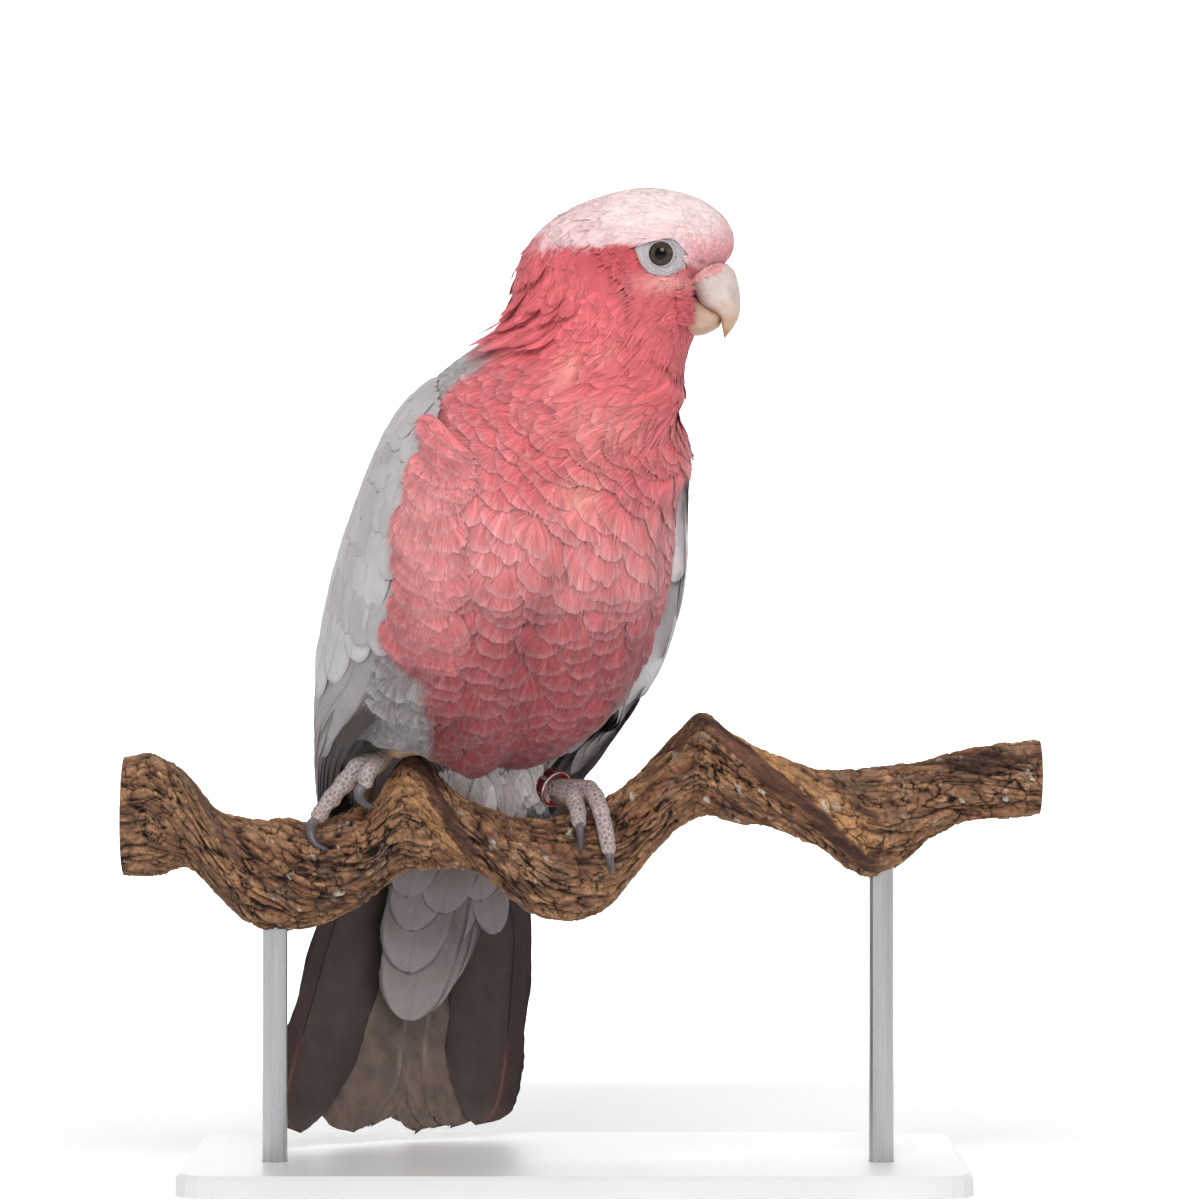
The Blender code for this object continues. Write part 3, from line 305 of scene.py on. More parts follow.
def perch(x, al, grow=0.0):
    """Surface of the vine; al is 0 on top and 90 degrees at the front."""
    x, al = np.broadcast_arrays(np.asarray(x, float), np.asarray(al, float))
    yc, zc, rv, ry, turn = perch_mid(x)
    m = 1 + 0.045 * np.cos(2 * (al - turn)) + 0.02 * np.cos(3 * al + 1.7 * turn)
    return np.stack([x, yc - (ry * m + grow) * np.sin(al), zc + (rv * m + grow) * np.cos(al)], -1)


# ----------------------------------------------------------- tubes and lofts
def frames_along(P):
    """Unit tangents with a side and an up vector that don't twist."""
    P = np.asarray(P, float)
    T = np.gradient(P, axis=0)
    T /= np.linalg.norm(T, axis=1, keepdims=True)
    N = np.zeros_like(T)
    ref = np.array([0, 0, 1.0]) if abs(T[0, 2]) < 0.9 else np.array([0, 1.0, 0])
    n = ref - T[0] * (ref @ T[0])
    N[0] = n / np.linalg.norm(n)
    for i in range(1, len(P)):
        n = N[i - 1] - T[i] * (N[i - 1] @ T[i])
        N[i] = n / np.linalg.norm(n)
    return T, N, np.cross(T, N)


def grid_faces(n, m, wrap=True):
    """Quads of an n x m grid whose second direction closes on itself."""
    q = []
    for i in range(n - 1):
        for j in range(m if wrap else m - 1):
            k = (j + 1) % m
            q.append((i * m + j, i * m + k, (i + 1) * m + k, (i + 1) * m + j))
    return q


def closed_loft(rings, tip0=None, tip1=None):
    """Closes a stack of rings (n, m, 3) with a point or a flat cap each end."""
    rings = np.asarray(rings, float)
    n, m = rings.shape[:2]
    V = rings.reshape(-1, 3)
    F = grid_faces(n, m)
    V = list(V)
    for end, tip in ((0, tip0), (n - 1, tip1)):
        c = rings[end].mean(0) if tip is None else np.asarray(tip, float)
        V.append(c)
        k = len(V) - 1
        for j in range(m):
            a, b = end * m + j, end * m + (j + 1) % m
            F.append((b, a, k) if end == 0 else (a, b, k))
    V = np.array(V)
    if volume(V, F) < 0:
        F = [tuple(reversed(f)) for f in F]
    return V, F


def volume(V, F):
    t = 0.0
    for f in F:
        for i in range(1, len(f) - 1):
            t += np.dot(V[f[0]], np.cross(V[f[i]], V[f[i + 1]]))
    return t / 6


def tube(P, R, sides=10, flat=1.0, steps=None, up=None):
    """Round tube through the points P with radii R, rounded at both ends."""
    P, R = np.asarray(P, float), np.asarray(R, float)
    t = np.concatenate([[0], np.cumsum(np.linalg.norm(np.diff(P, axis=0), axis=1))])
    u = np.linspace(0, t[-1], steps or 3 * len(P))
    C = spline(t, P, u)
    r = spline(t, R, u)
    T, N, B = frames_along(C)
    a = np.linspace(0, 2 * np.pi, sides, endpoint=False)
    rings = []
    for k, s in ((-0.80, 0.6), (-0.45, 0.89)):
        rings.append(C[0] + T[0] * r[0] * k + (N[0] * np.cos(a)[:, None] * flat + B[0] * np.sin(a)[:, None]) * r[0] * s)
    for i in range(len(u)):
        rings.append(C[i] + (N[i] * np.cos(a)[:, None] * flat + B[i] * np.sin(a)[:, None]) * r[i])
    for k, s in ((0.45, 0.89), (0.80, 0.6)):
        rings.append(C[-1] + T[-1] * r[-1] * k + (N[-1] * np.cos(a)[:, None] * flat + B[-1] * np.sin(a)[:, None]) * r[-1] * s)
    return closed_loft(rings, C[0] - T[0] * r[0], C[-1] + T[-1] * r[-1])


# -------------------------------------------------------------------- bill
# Stations of the two mandibles in the head's frame: a point on the upper
# line, a point on the lower line, and the half width between them.
UPPER_BILL = [
    # f     z       f     z      w
    (9.0, 288.5,  5.5, 286.0,  6.5),
    (15.5, 291.2, 8.0, 284.2,  8.6),
    (21.3, 290.2, 9.8, 282.4,  8.9),
    (23.4, 285.0, 11.4, 279.4, 8.3),
    (24.0, 280.4, 13.2, 277.7, 7.4),
    (23.9, 276.6, 15.5, 276.5, 6.2),
    (23.1, 273.6, 17.8, 274.6, 4.7),
    (21.6, 271.0, 18.3, 271.9, 3.1),
    (20.2, 269.2, 18.7, 269.9, 1.7),
]
UPPER_TIP = (18.9, 267.9)
LOWER_BILL = [
    (6.4, 280.3,  5.6, 271.2,  5.8),
    (9.6, 280.3,  8.4, 269.2,  6.5),
    (12.6, 279.4, 11.6, 268.9, 6.2),
    (15.2, 278.2, 14.6, 269.9, 5.4),
    (17.2, 277.4, 16.9, 271.3, 4.3),
    (18.4, 276.8, 17.9, 273.0, 3.2),
]


def bill_rings(rows, n, th, grow=0.0, lift=None, square=2.3):
    rows = np.array(rows)
    k = np.arange(len(rows))
    v = spline(k, rows, np.linspace(0, k[-1], n))
    out = []
    F, L = heading(HEAD_YAW)
    for d0, d1, v0, v1, w in v:
        D, V = at_head(d0, d1), at_head(v0, v1)
        ax = (V - D) / 2
        ln = np.linalg.norm(ax)
        ax = ax / ln * (ln + grow)
        c, s = np.cos(th), np.sin(th)
        cc = np.sign(c) * np.abs(c) ** (2 / square)
        ss = np.sign(s) * np.abs(s) ** (2 / square)
        # narrower along the ridge (dorsal, cc < 0) than along the cutting edge
        out.append((D + V) / 2 + ax * cc[:, None] + L * ((w + grow) * ss * (1 + 0.16 * cc))[:, None])
    return np.array(out)


EYE_AT = (2.1, 293.3)     # forward, height of the eye in the head's frame
EYE_SIDE = 15.0            # its middle, out from the midline
EYE_R = 5.4


def eye_centre(side):
    return at_head(EYE_AT[0], EYE_AT[1], EYE_SIDE * side)


# -------------------------------------------------------------------- feet
def on_perch(x, al_deg, off):
    al = np.radians(float(al_deg))
    p = perch(x, al)
    n = np.cross(perch(x + 0.5, al) - perch(x - 0.5, al), perch(x, al + 0.02) - perch(x, al - 0.02))
    n /= np.linalg.norm(n)
    yc, zc, rv, ry, turn = perch_mid(np.array(float(x)))
    if n @ (p - np.array([x, yc, zc])) < 0:
        n = -n
    return p + n * off


# toes: middle line and thickness from the sole of the foot to the last pad
TOES = {
    "right_outer_front": ([(-71.5, 0.6, 134.6), (-75.6, -0.6, 134.0), (-79.7, -1.4, 130.2),
                           (-83.6, -2.0, 125.6), (-87.6, -2.4, 120.9), (-89.9, -2.9, 117.6)],
                          [3.9, 3.7, 3.3, 3.0, 2.8, 2.6]),
    "right_inner_front": ([(-73.0, -6.6, 132.6), (-74.4, -7.6, 130.6), (-74.6, -8.4, 128.6)],
                          [2.9, 2.8, 2.6]),
    "right_inner_hind": ([(-63.9, -2.6, 138.9), (-60.6, -4.3, 139.4), (-57.4, -4.9, 139.4),
                          (-54.4, -5.2, 137.9)],
                         [3.2, 2.9, 2.7, 2.4]),
    "right_outer_hind": ([(-74.0, 8.2, 131.6), (-75.4, 14.4, 127.0), (-76.2, 19.6, 119.8),
                          (-76.0, 22.0, 112.0)],
                         [2.9, 2.9, 2.8, 2.5]),
    "left_inner_front": ([(-10.6, 1.0, 124.6), (-8.6, -3.6, 123.4), (-7.2, -8.4, 120.0),
                          (-6.7, -13.0, 116.0)],
                         [3.7, 3.1, 2.8, 2.5]),
    "left_outer_front": ([(-3.6, -0.5, 126.1), (-1.6, -5.4, 123.9), (0.0, -9.9, 120.0),
                          (1.3, -12.8, 115.3), (2.3, -14.0, 110.2), (2.7, -13.9, 107.6)],
                         [3.1, 3.0, 2.8, 2.7, 2.6, 2.4]),
    "left_inner_hind": ([(-9.8, 10.4, 118.6), (-13.6, 15.6, 115.0), (-16.4, 18.4, 108.4)],
                        [2.8, 2.7, 2.4]),
    "left_outer_hind": ([(-4.4, 7.9, 123.4), (-3.8, 14.4, 119.4), (-3.9, 19.3, 111.8),
                         (-4.0, 20.8, 104.4)],
                        [3.0, 2.8, 2.7, 2.4]),
}
CLAWS = {
    "right_outer_front": [(-91.6, -5.2, 115.2), (-92.0, -7.4, 112.2), (-90.6, -8.9, 109.2), (-86.2, -9.6, 107.0)],
    "right_inner_front": [(-76.0, -9.6, 126.4), (-76.4, -10.4, 124.0), (-74.8, -10.6, 122.0), (-71.2, -10.2, 120.6)],
    "right_inner_hind": [(-51.8, -5.9, 136.2), (-50.5, -6.7, 134.0), (-50.0, -7.4, 131.4)],
    "right_outer_hind": [(-75.8, 22.6, 108.5), (-75.4, 22.4, 105.2), (-75.2, 21.0, 102.2)],
    "left_inner_front": [(-6.4, -14.9, 113.9), (-6.2, -16.0, 111.2), (-6.2, -16.1, 108.4), (-6.3, -15.2, 106.2)],
    "left_outer_front": [(3.0, -14.3, 105.0), (3.3, -14.0, 102.2), (3.6, -12.4, 99.2)],
    "left_inner_hind": [(-16.8, 19.0, 105.0), (-17.0, 18.2, 101.8), (-17.2, 16.0, 99.2)],
    "left_outer_hind": [(-4.0, 21.2, 100.9), (-4.1, 20.2, 97.6), (-4.2, 18.0, 95.0)],
}
CLAW_R = 1.75
TARSI = {
    "right": ([(-65.6, 4.9, 139.8), (-62.6, 6.2, 141.4), (-60.6, 7.4, 142.6)], [3.3, 3.2, 3.2]),
    "left": ([(-15.2, 6.0, 126.4), (-16.7, 7.3, 127.2), (-18.4, 8.9, 128.4), (-19.8, 10.2, 129.8)], [3.3, 3.3, 3.3, 3.3]),
}
THIGHS = {
    "right": ([(-59.4, 9.2, 150.4), (-59.0, 10.8, 154.0), (-58.4, 12.6, 158.0)], [4.4, 5.6, 6.4]),
    "left": ([(-22.6, 14.4, 138.2), (-23.0, 16.0, 142.0), (-23.6, 17.8, 146.0)], [4.6, 5.8, 6.6]),
}
RING_AT = (-15.3, 5.9, 126.4)     # middle of the leg ring
RING_AXIS = (0.62, -0.68, -0.32)
RING_OUT, RING_IN, RING_LONG = 6.0, 5.0, 4.6


# The belly rests over the vine and arches over the legs: whatever would lie
# inside these is eased out of them.
FOOT_ROOM = ((-71.0, 13.0, 7.0), (-10.0, 15.0, 6.5))      # where, how wide, how much more
LEG_ARCH = ((-61.5, 6.5, 150.0), (-71.0, 2.0, 143.5), (-21.0, 12.5, 139.0), (-11.5, 3.5, 135.5))


def make_room(P, margin=2.2, p=10.0):
    P = np.array(P, float)
    for x, y, top in LEG_ARCH:
        low = top - 0.045 * ((P[..., 0] - x) ** 2 + (P[..., 1] - y) ** 2)
        d = P[..., 2] - low
        P[..., 2] = low + 0.5 * (d + np.sqrt(d * d + 3.0))
    x = np.clip(P[..., 0], PERCH_ENDS[0], PERCH_ENDS[1])
    yc, zc, rv, ry, _ = perch_mid(x)
    R = np.maximum(rv, ry) * 1.05 + margin
    for at, wide, more in FOOT_ROOM:
        R = R + more * np.exp(-((x - at) / wide) ** 2)
    dy, dz = P[..., 1] - yc, P[..., 2] - zc
    r = np.hypot(dy, dz)
    # what lies deep inside goes up and back, never forward
    deep = smooth(1.0, 0.5, r / R)
    dy, dz = dy + deep * 0.5 * R, dz + deep * 0.5 * R
    r = np.maximum(np.hypot(dy, dz), 1e-6)
    k = (r**p + R**p) ** (1 / p) / r
    k = np.where(r > 1.8 * R, 1.0, k)
    P[..., 1], P[..., 2] = yc + dy * k, zc + dz * k
    return P


# -------------------------------------------------------------------- tail
TAIL_LINE = [
    # v     a      z      side   half width
    (0.00, -69.5, 104.0, 2.2, 20.0),
    (0.12, -71.4, 93.0, 2.4, 29.5),
    (0.28, -74.2, 78.0, 2.6, 36.6),
    (0.50, -78.4, 57.0, 1.2, 40.4),
    (0.75, -83.6, 33.5, -0.9, 43.6),
    (1.00, -88.8, 10.0, -3.0, 44.8),
]
_tl = np.array(TAIL_LINE)


def tail(v, u, lift=0.0):
    """Fan of the tail: v from root to tip, u across, lift towards the back."""
    v, u = np.broadcast_arrays(np.asarray(v, float), np.asarray(u, float))
    t = spline(_tl[:, 0], _tl[:, 1:], v)
    a, z, side, w = t[..., 0], t[..., 1], t[..., 2], t[..., 3]
    # the fan is a little hollow underneath
    bow = -2.6 * (1 - u**2) + 1.3
    return at_body(a + (bow - lift) * 0.975, z - (bow - lift) * 0.22, side + w * u)


def tail_length(u):
    """How far down the fan reaches at u, a row of blunt rounded tips."""
    tips = [(-0.79, 0.920, 0.15), (-0.36, 0.980, 0.19), (0.05, 0.945, 0.20),
            (0.42, 1.0, 0.20), (0.75, 0.990, 0.17)]
    u = np.asarray(u, float)
    out = np.full(u.shape, 0.87)
    for c, top, half in tips:
        q = np.clip(np.abs(u - c) / (half * 1.25), 0, 1)
        out = np.maximum(out, top - 0.085 * q**2.6)
    return out


UNDERTAIL = [
    # v     a      z      side   half width
    (0.00, -62.8, 102.0, 4.0, 19.0),
    (0.25, -65.4, 92.0, 5.0, 24.0),
    (0.50, -68.8, 77.0, 3.6, 21.5),
    (0.75, -71.9, 63.0, 0.0, 16.0),
    (0.92, -74.0, 53.5, -2.2, 9.5),
    (1.00, -75.0, 49.0, -2.8, 2.6),
]
_ut = np.array(UNDERTAIL)


def undertail(v, u, lift=0.0):
    v, u = np.broadcast_arrays(np.asarray(v, float), np.asarray(u, float))
    t = spline(_ut[:, 0], _ut[:, 1:], v)
    a, z, side, w = t[..., 0], t[..., 1], t[..., 2], t[..., 3]
    bow = 1.8 * (1 - u**2) - 0.6
    return at_body(a + (bow - lift) * 0.975, z - (bow - lift) * 0.22, side + w * u)


# ------------------------------------------------------------------- stand
BASE_SIZE = (250.0, 132.0, 7.0)
BASE_MID = (-8.0, 22.0)
BASE_ROUND = 12.0
ROD_R = 4.0
ROD_AT = ((-104.0, 93.0), (90.0, 110.5))   # along the vine, and each rod's top
ROD_Y = (0.0, 0.0)                          # under the vine's middle there
HOLE_FLOOR = 2.4                            # floor of the blind holes in the base


# =====================================================================
#                       small tools for the looks
# =====================================================================
def lin(*c):
    c = np.array(c, float) / 255.0
    return np.where(c <= 0.04045, c / 12.92, ((c + 0.055) / 1.055) ** 2.4)


def unit(v):
    return v / np.maximum(np.linalg.norm(v, axis=-1, keepdims=True), 1e-9)


def mix(a, b, t):
    t = np.asarray(t, float)[..., None]
    return a * (1 - t) + b * t


def _hash(ix, iy, iz, seed):
    h = (ix.astype(np.uint32) * np.uint32(374761393) + iy.astype(np.uint32) * np.uint32(668265263)
         + iz.astype(np.uint32) * np.uint32(2246822519) + np.uint32((seed * 3266489917) & 0xFFFFFFFF))
    h = (h ^ (h >> np.uint32(13))) * np.uint32(1274126177)
    h = (h ^ (h >> np.uint32(16))) * np.uint32(2654435761)
    return (h ^ (h >> np.uint32(15))).astype(np.float64) / 4294967295.0


def noise(P, scale=1.0, seed=0):
    """Smooth value noise, -1 to 1, one cell per scale."""
    q = np.asarray(P, float) / np.asarray(scale, float)
    i = np.floor(q)
    f = q - i
    f = f * f * f * (f * (f * 6 - 15) + 10)
    i = i.astype(np.int64)
    x, y, z = i[..., 0], i[..., 1], i[..., 2]
    fx, fy, fz = f[..., 0], f[..., 1], f[..., 2]
    out = 0.0
    for a in (0, 1):
        for b in (0, 1):
            for c in (0, 1):
                w = (fx if a else 1 - fx) * (fy if b else 1 - fy) * (fz if c else 1 - fz)
                out = out + w * _hash(x + a, y + b, z + c, seed)
    return out * 2 - 1


def fbm(P, scale, octaves=3, seed=0, gain=0.5):
    out, amp, tot = 0.0, 1.0, 0.0
    s = np.asarray(scale, float)
    for k in range(octaves):
        out = out + amp * noise(P, s, seed + 17 * k)
        tot += amp
        amp *= gain
        s = s / 2.03
    return out / tot


def grid_quads(n, m, wrap=False, base=0, flip=False):
    i = np.arange(n - 1)[:, None]
    j = np.arange(m if wrap else m - 1)[None, :]
    k = (j + 1) % m
    q = np.stack(np.broadcast_arrays(i * m + j, i * m + k, (i + 1) * m + k, (i + 1) * m + j), -1)
    q = q.reshape(-1, 4) + base
    return q[:, ::-1] if flip else q


def make(name, V, F, mat, col=None, uv=None, attrs=None, smooth=True, replaces=(), ride=True, mats=None,
         mat_index=None, loop_uv=None):
    """One mesh object from millimetre points and a list of face arrays."""
    V = np.asarray(V, float).reshape(-1, 3)
    if not isinstance(F, (list, tuple)):
        F = [F]
    F = [np.asarray(f, np.int64) for f in F if len(f)]
    loops = np.concatenate([f.ravel() for f in F]).astype(np.int32)
    sizes = np.concatenate([np.full(len(f), f.shape[1]) for f in F]).astype(np.int32)
    starts = np.concatenate([[0], np.cumsum(sizes)[:-1]]).astype(np.int32)
    me = bpy.data.meshes.new(name)
    me.vertices.add(len(V))
    me.vertices.foreach_set("co", (V * MM).astype(np.float32).ravel())
    me.loops.add(len(loops))
    me.loops.foreach_set("vertex_index", loops)
    me.polygons.add(len(sizes))
    me.polygons.foreach_set("loop_start", starts)
    if uv is not None:
        layer = me.uv_layers.new(name="OFBake")
        layer.data.foreach_set("uv", (np.asarray(uv, np.float32)[loops] if loop_uv is None else
                                      np.asarray(loop_uv, np.float32)).ravel())
    if mat_index is not None:
        me.polygons.foreach_set("material_index", np.asarray(mat_index, np.int32))
    me.update(calc_edges=True)
    me.validate(clean_customdata=False)
    me.polygons.foreach_set("use_smooth", np.full(len(me.polygons), smooth))
    if col is not None:
        a = me.color_attributes.new("Col", "FLOAT_COLOR", "POINT")
        c = np.ones((len(V), 4), np.float32)
        c[:, :3] = np.clip(np.asarray(col, float).reshape(-1, 3), 0, 1)
        a.data.foreach_set("color", c.ravel())
    for key, val in (attrs or {}).items():
        val = np.asarray(val, np.float32)
        if val.ndim == 1:
            a = me.attributes.new(key, "FLOAT", "POINT")
            a.data.foreach_set("value", val)
        else:
            a = me.attributes.new(key, "FLOAT_VECTOR", "POINT")
            a.data.foreach_set("vector", val.ravel())
    ob = bpy.data.objects.new(name, me)
    bpy.context.scene.collection.objects.link(ob)
    for one in (mats or (mat,)):
        me.materials.append(one)
    if ride:
        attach(ob, "root")
    if replaces:
        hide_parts(*replaces)
    return ob


# ------------------------------------------------------------ node helper
class Nodes:
    def __init__(self, name):
        self.mat = bpy.data.materials.new(name)
        self.mat.use_nodes = True
        self.t = self.mat.node_tree
        self.p = self.t.nodes["Principled BSDF"]
        self.out = self.t.nodes["Material Output"]

    def add(self, kind, **kw):
        n = self.t.nodes.new(kind)
        for k, v in kw.items():
            setattr(n, k, v)
        return n

    def link(self, a, b):
        self.t.links.new(a, b)

    def set(self, **kw):
        for k, v in kw.items():
            key = k.replace("_", " ")
            self.p.inputs[key].default_value = v
        return self

    def attr(self, name):
        return self.add("ShaderNodeAttribute", attribute_name=name)

    def coords(self):
        return self.add("ShaderNodeTexCoord").outputs["Object"]

    def noise(self, vec, scale, detail=2.0, rough=0.5, scale3=None):
        if scale3 is not None:
            m = self.add("ShaderNodeMapping")
            m.inputs["Scale"].default_value = scale3
            self.link(vec, m.inputs["Vector"])
            vec = m.outputs[0]
        n = self.add("ShaderNodeTexNoise")
        n.inputs["Scale"].default_value = scale
        n.inputs["Detail"].default_value = detail
        n.inputs["Roughness"].default_value = rough
        self.link(vec, n.inputs["Vector"])
        return n.outputs["Fac"]

    def math(self, op, a, b=None, clamp=False):
        n = self.add("ShaderNodeMath", operation=op, use_clamp=clamp)
        for i, v in enumerate((a, b)):
            if v is None:
                continue
            if isinstance(v, (int, float)):
                n.inputs[i].default_value = v
            else:
                self.link(v, n.inputs[i])
        return n.outputs[0]

    def remap(self, v, a, b, c, d):
        n = self.add("ShaderNodeMapRange")
        self.link(v, n.inputs["Value"])
        for key, x in (("From Min", a), ("From Max", b), ("To Min", c), ("To Max", d)):
            n.inputs[key].default_value = x
        return n.outputs["Result"]

    def scale_col(self, col, fac):
        """Colour times a grey factor."""
        n = self.add("ShaderNodeMix", data_type="RGBA", blend_type="MULTIPLY")
        n.inputs["Factor"].default_value = 1.0
        self.link(col, n.inputs["A"])
        c = self.add("ShaderNodeCombineColor")
        for k in ("Red", "Green", "Blue"):
            self.link(fac, c.inputs[k])
        self.link(c.outputs[0], n.inputs["B"])
        return n.outputs["Result"]

    def mix_col(self, fac, a, b):
        n = self.add("ShaderNodeMix", data_type="RGBA")
        for v, key in ((a, "A"), (b, "B")):
            if hasattr(v, "is_linked") or hasattr(v, "links"):
                self.link(v, n.inputs[key])
            else:
                n.inputs[key].default_value = (*v, 1.0)
        if isinstance(fac, (int, float)):
            n.inputs["Factor"].default_value = fac
        else:
            self.link(fac, n.inputs["Factor"])
        return n.outputs["Result"]

    def bump(self, height, strength, distance, normal=None):
        b = self.add("ShaderNodeBump")
        b.inputs["Strength"].default_value = strength
        b.inputs["Distance"].default_value = distance
        self.link(height, b.inputs["Height"])
        if normal is not None:
            self.link(normal, b.inputs["Normal"])
        return b.outputs[0]


def feather_material(name, rough=0.72, sheen=0.25, noise_amt=0.08, barbs=None, streak=0.0, bump=0.35, spec=0.25):
    """Feather: colours from Col, with fine streaks and ridges that follow the
    barbs by the Vane coordinates (across the barbs, along them, feather)."""
    m = Nodes(name)
    c = m.attr("Col").outputs["Color"]
    v = m.coords()
    n2 = m.noise(v, 140.0, 3.0)
    f = m.remap(n2, 0.3, 0.7, 1 - noise_amt, 1 + noise_amt)
    m.p.inputs["Specular IOR Level"].default_value = spec
    m.set(Roughness=rough, Sheen_Weight=sheen, Sheen_Roughness=0.45)
    if streak:
        va = m.attr("Vane").outputs["Vector"]
        s1 = m.noise(va, 1.0, 2.0, 0.6, (2.6, 0.16, 1.0))
        s2 = m.noise(va, 1.0, 1.0, 0.5, (0.9, 0.10, 1.0))
        f = m.math("MULTIPLY", f, m.remap(s1, 0.25, 0.75, 1 - streak, 1 + streak))
        f = m.math("MULTIPLY", f, m.remap(s2, 0.3, 0.7, 1 - 0.6 * streak, 1 + 0.6 * streak))
        m.link(m.bump(s1, bump, 0.0003), m.p.inputs["Normal"])
    if barbs:
        va = m.attr("Vane").outputs["Vector"]
        sep = m.add("ShaderNodeSeparateXYZ")
        m.link(va, sep.inputs[0])
        # barbs run forward from the shaft at about 40 degrees
        w = m.math("ABSOLUTE", sep.outputs["Y"])
        d = m.math("SUBTRACT", sep.outputs["X"], m.math("MULTIPLY", w, 1.25))
        warp = m.noise(v, 260.0, 2.0)
        d = m.math("ADD", d, m.math("MULTIPLY", warp, 0.5))
        wave = m.math("SINE", m.math("MULTIPLY", d, 6.283 / barbs))
        comb = m.add("ShaderNodeCombineXYZ")
        m.link(d, comb.inputs[0])
        m.link(m.math("MULTIPLY", w, 0.10), comb.inputs[1])
        st = m.noise(comb.outputs[0], 1.4, 2.0, 0.6)
        f = m.math("MULTIPLY", f, m.remap(st, 0.3, 0.7, 0.93, 1.07))
        f = m.math("MULTIPLY", f, m.remap(wave, -1.0, 1.0, 0.985, 1.015))
        hgt = m.math("ADD", m.math("MULTIPLY", wave, 0.35), st)
        m.link(m.bump(hgt, 0.35, 0.00012), m.p.inputs["Normal"])
    m.link(m.scale_col(c, f), m.p.inputs["Base Color"])
    return m.mat


# =====================================================================
#                     coat: depth, colours and lie
# =====================================================================
RNG = np.random.default_rng(11)

DEPTH = np.array([(0.0, 0.65), (1.0, 0.75), (2.0, 0.90), (3.5, 1.2), (5.0, 1.7), (7.0, 2.6), (9.0, 3.4),
                  (12.0, 4.2), (16.0, 4.2), (18.0, 3.6), (20.0, 3.0)])


def wing_bed(s, th):
    f, r, _ = wing_edges(np.clip(s, 10.35, 21.85))
    a = np.abs((np.asarray(th) + pi) % (2 * pi) - pi)
    m = smooth(f - np.radians(9.0), f - np.radians(1.0), a) * (1 - smooth(r + np.radians(1.0), r + np.radians(7.0), a))
    inset = np.array([(10.0, 0.0), (10.35, 2.2), (10.7, 5.0), (11.0, 6.4), (12.0, 7.5), (15.0, 6.8),
                      (16.0, 6.0), (17.0, 3.5), (18.0, 1.0), (19.0, 0.0), (20.0, 0.0)])
    return spline(inset[:, 0], inset[:, 1:], s)[..., 0] * m


def depth(s, th):
    return spline(DEPTH[:, 0], DEPTH[:, 1:], s)[..., 0]


def cheek_pad(s, th):
    """Fullness of the cheeks, which close up to the bill on both sides."""
    a = np.degrees(np.abs((np.asarray(th) + pi) % (2 * pi) - pi))
    return 3.0 * smooth(0.05, 0.35, s) * (1 - smooth(0.9, 2.0, s)) * smooth(30, 50, a) * (1 - smooth(88, 112, a))


def drawn_in(s, th):
    """How far the coat stays inside the body: beside the left wing's edge,
    along the parting of the belly and between the belly's two lobes."""
    t = np.degrees((np.asarray(th) + pi) % (2 * pi) - pi)
    side = smooth(22.0, 44.0, t) * (1 - smooth(84.0, 100.0, t)) * smooth(11.0, 11.8, s) * (1 - smooth(15.2, 16.2, s))
    line = np.interp(s, [10.8, 11.2, 12.9, 13.7, 15.0, 16.7], [-4.0, -5.0, -10.0, -11.0, -3.0, 8.0])
    groove = np.exp(-((t - line) / 7.0) ** 2) * smooth(12.0, 14.2, s)
    lobes = np.exp(-((np.abs(t - line) - 21.0) / 11.0) ** 2) * smooth(13.6, 15.2, s)
    return 3.6 * side + 2.6 * groove - 1.0 * lobes


def skin_at(s, th, up=0.0):
    """A point of the skin raised by up towards the coat's surface."""
    p, n, _ = surface(body, s, th)
    q = p - n * (depth(s, th) + 0.35 * wing_bed(s, th) + drawn_in(s, th) - cheek_pad(s, th) - up)[..., None]
    return make_room(q, 1.4), n


def head_fz(P):
    F, _ = heading(HEAD_YAW)
    return (P[..., 0] - HEAD_ORG[0]) * F[0] + (P[..., 1] - HEAD_ORG[1]) * F[1], P[..., 2]


C = {k: lin(*v) for k, v in {
    "cap": (237, 217, 216), "cap_pink": (230, 188, 191), "lore": (216, 142, 147), "cheek": (194, 80, 89),
    "cheek_low": (206, 98, 106), "pale_streak": (238, 188, 180), "neck": (221, 102, 110), "breast": (217, 104, 111),
    "mid": (226, 138, 140), "belly": (178, 82, 87), "low": (150, 62, 66), "peach": (242, 172, 156),
    "grey": (134, 128, 129), "vent": (205, 200, 198), "mantle": (172, 167, 167), "rump": (200, 198, 197),
    "down": (232, 214, 211), "ghost": (196, 150, 150)}.items()}


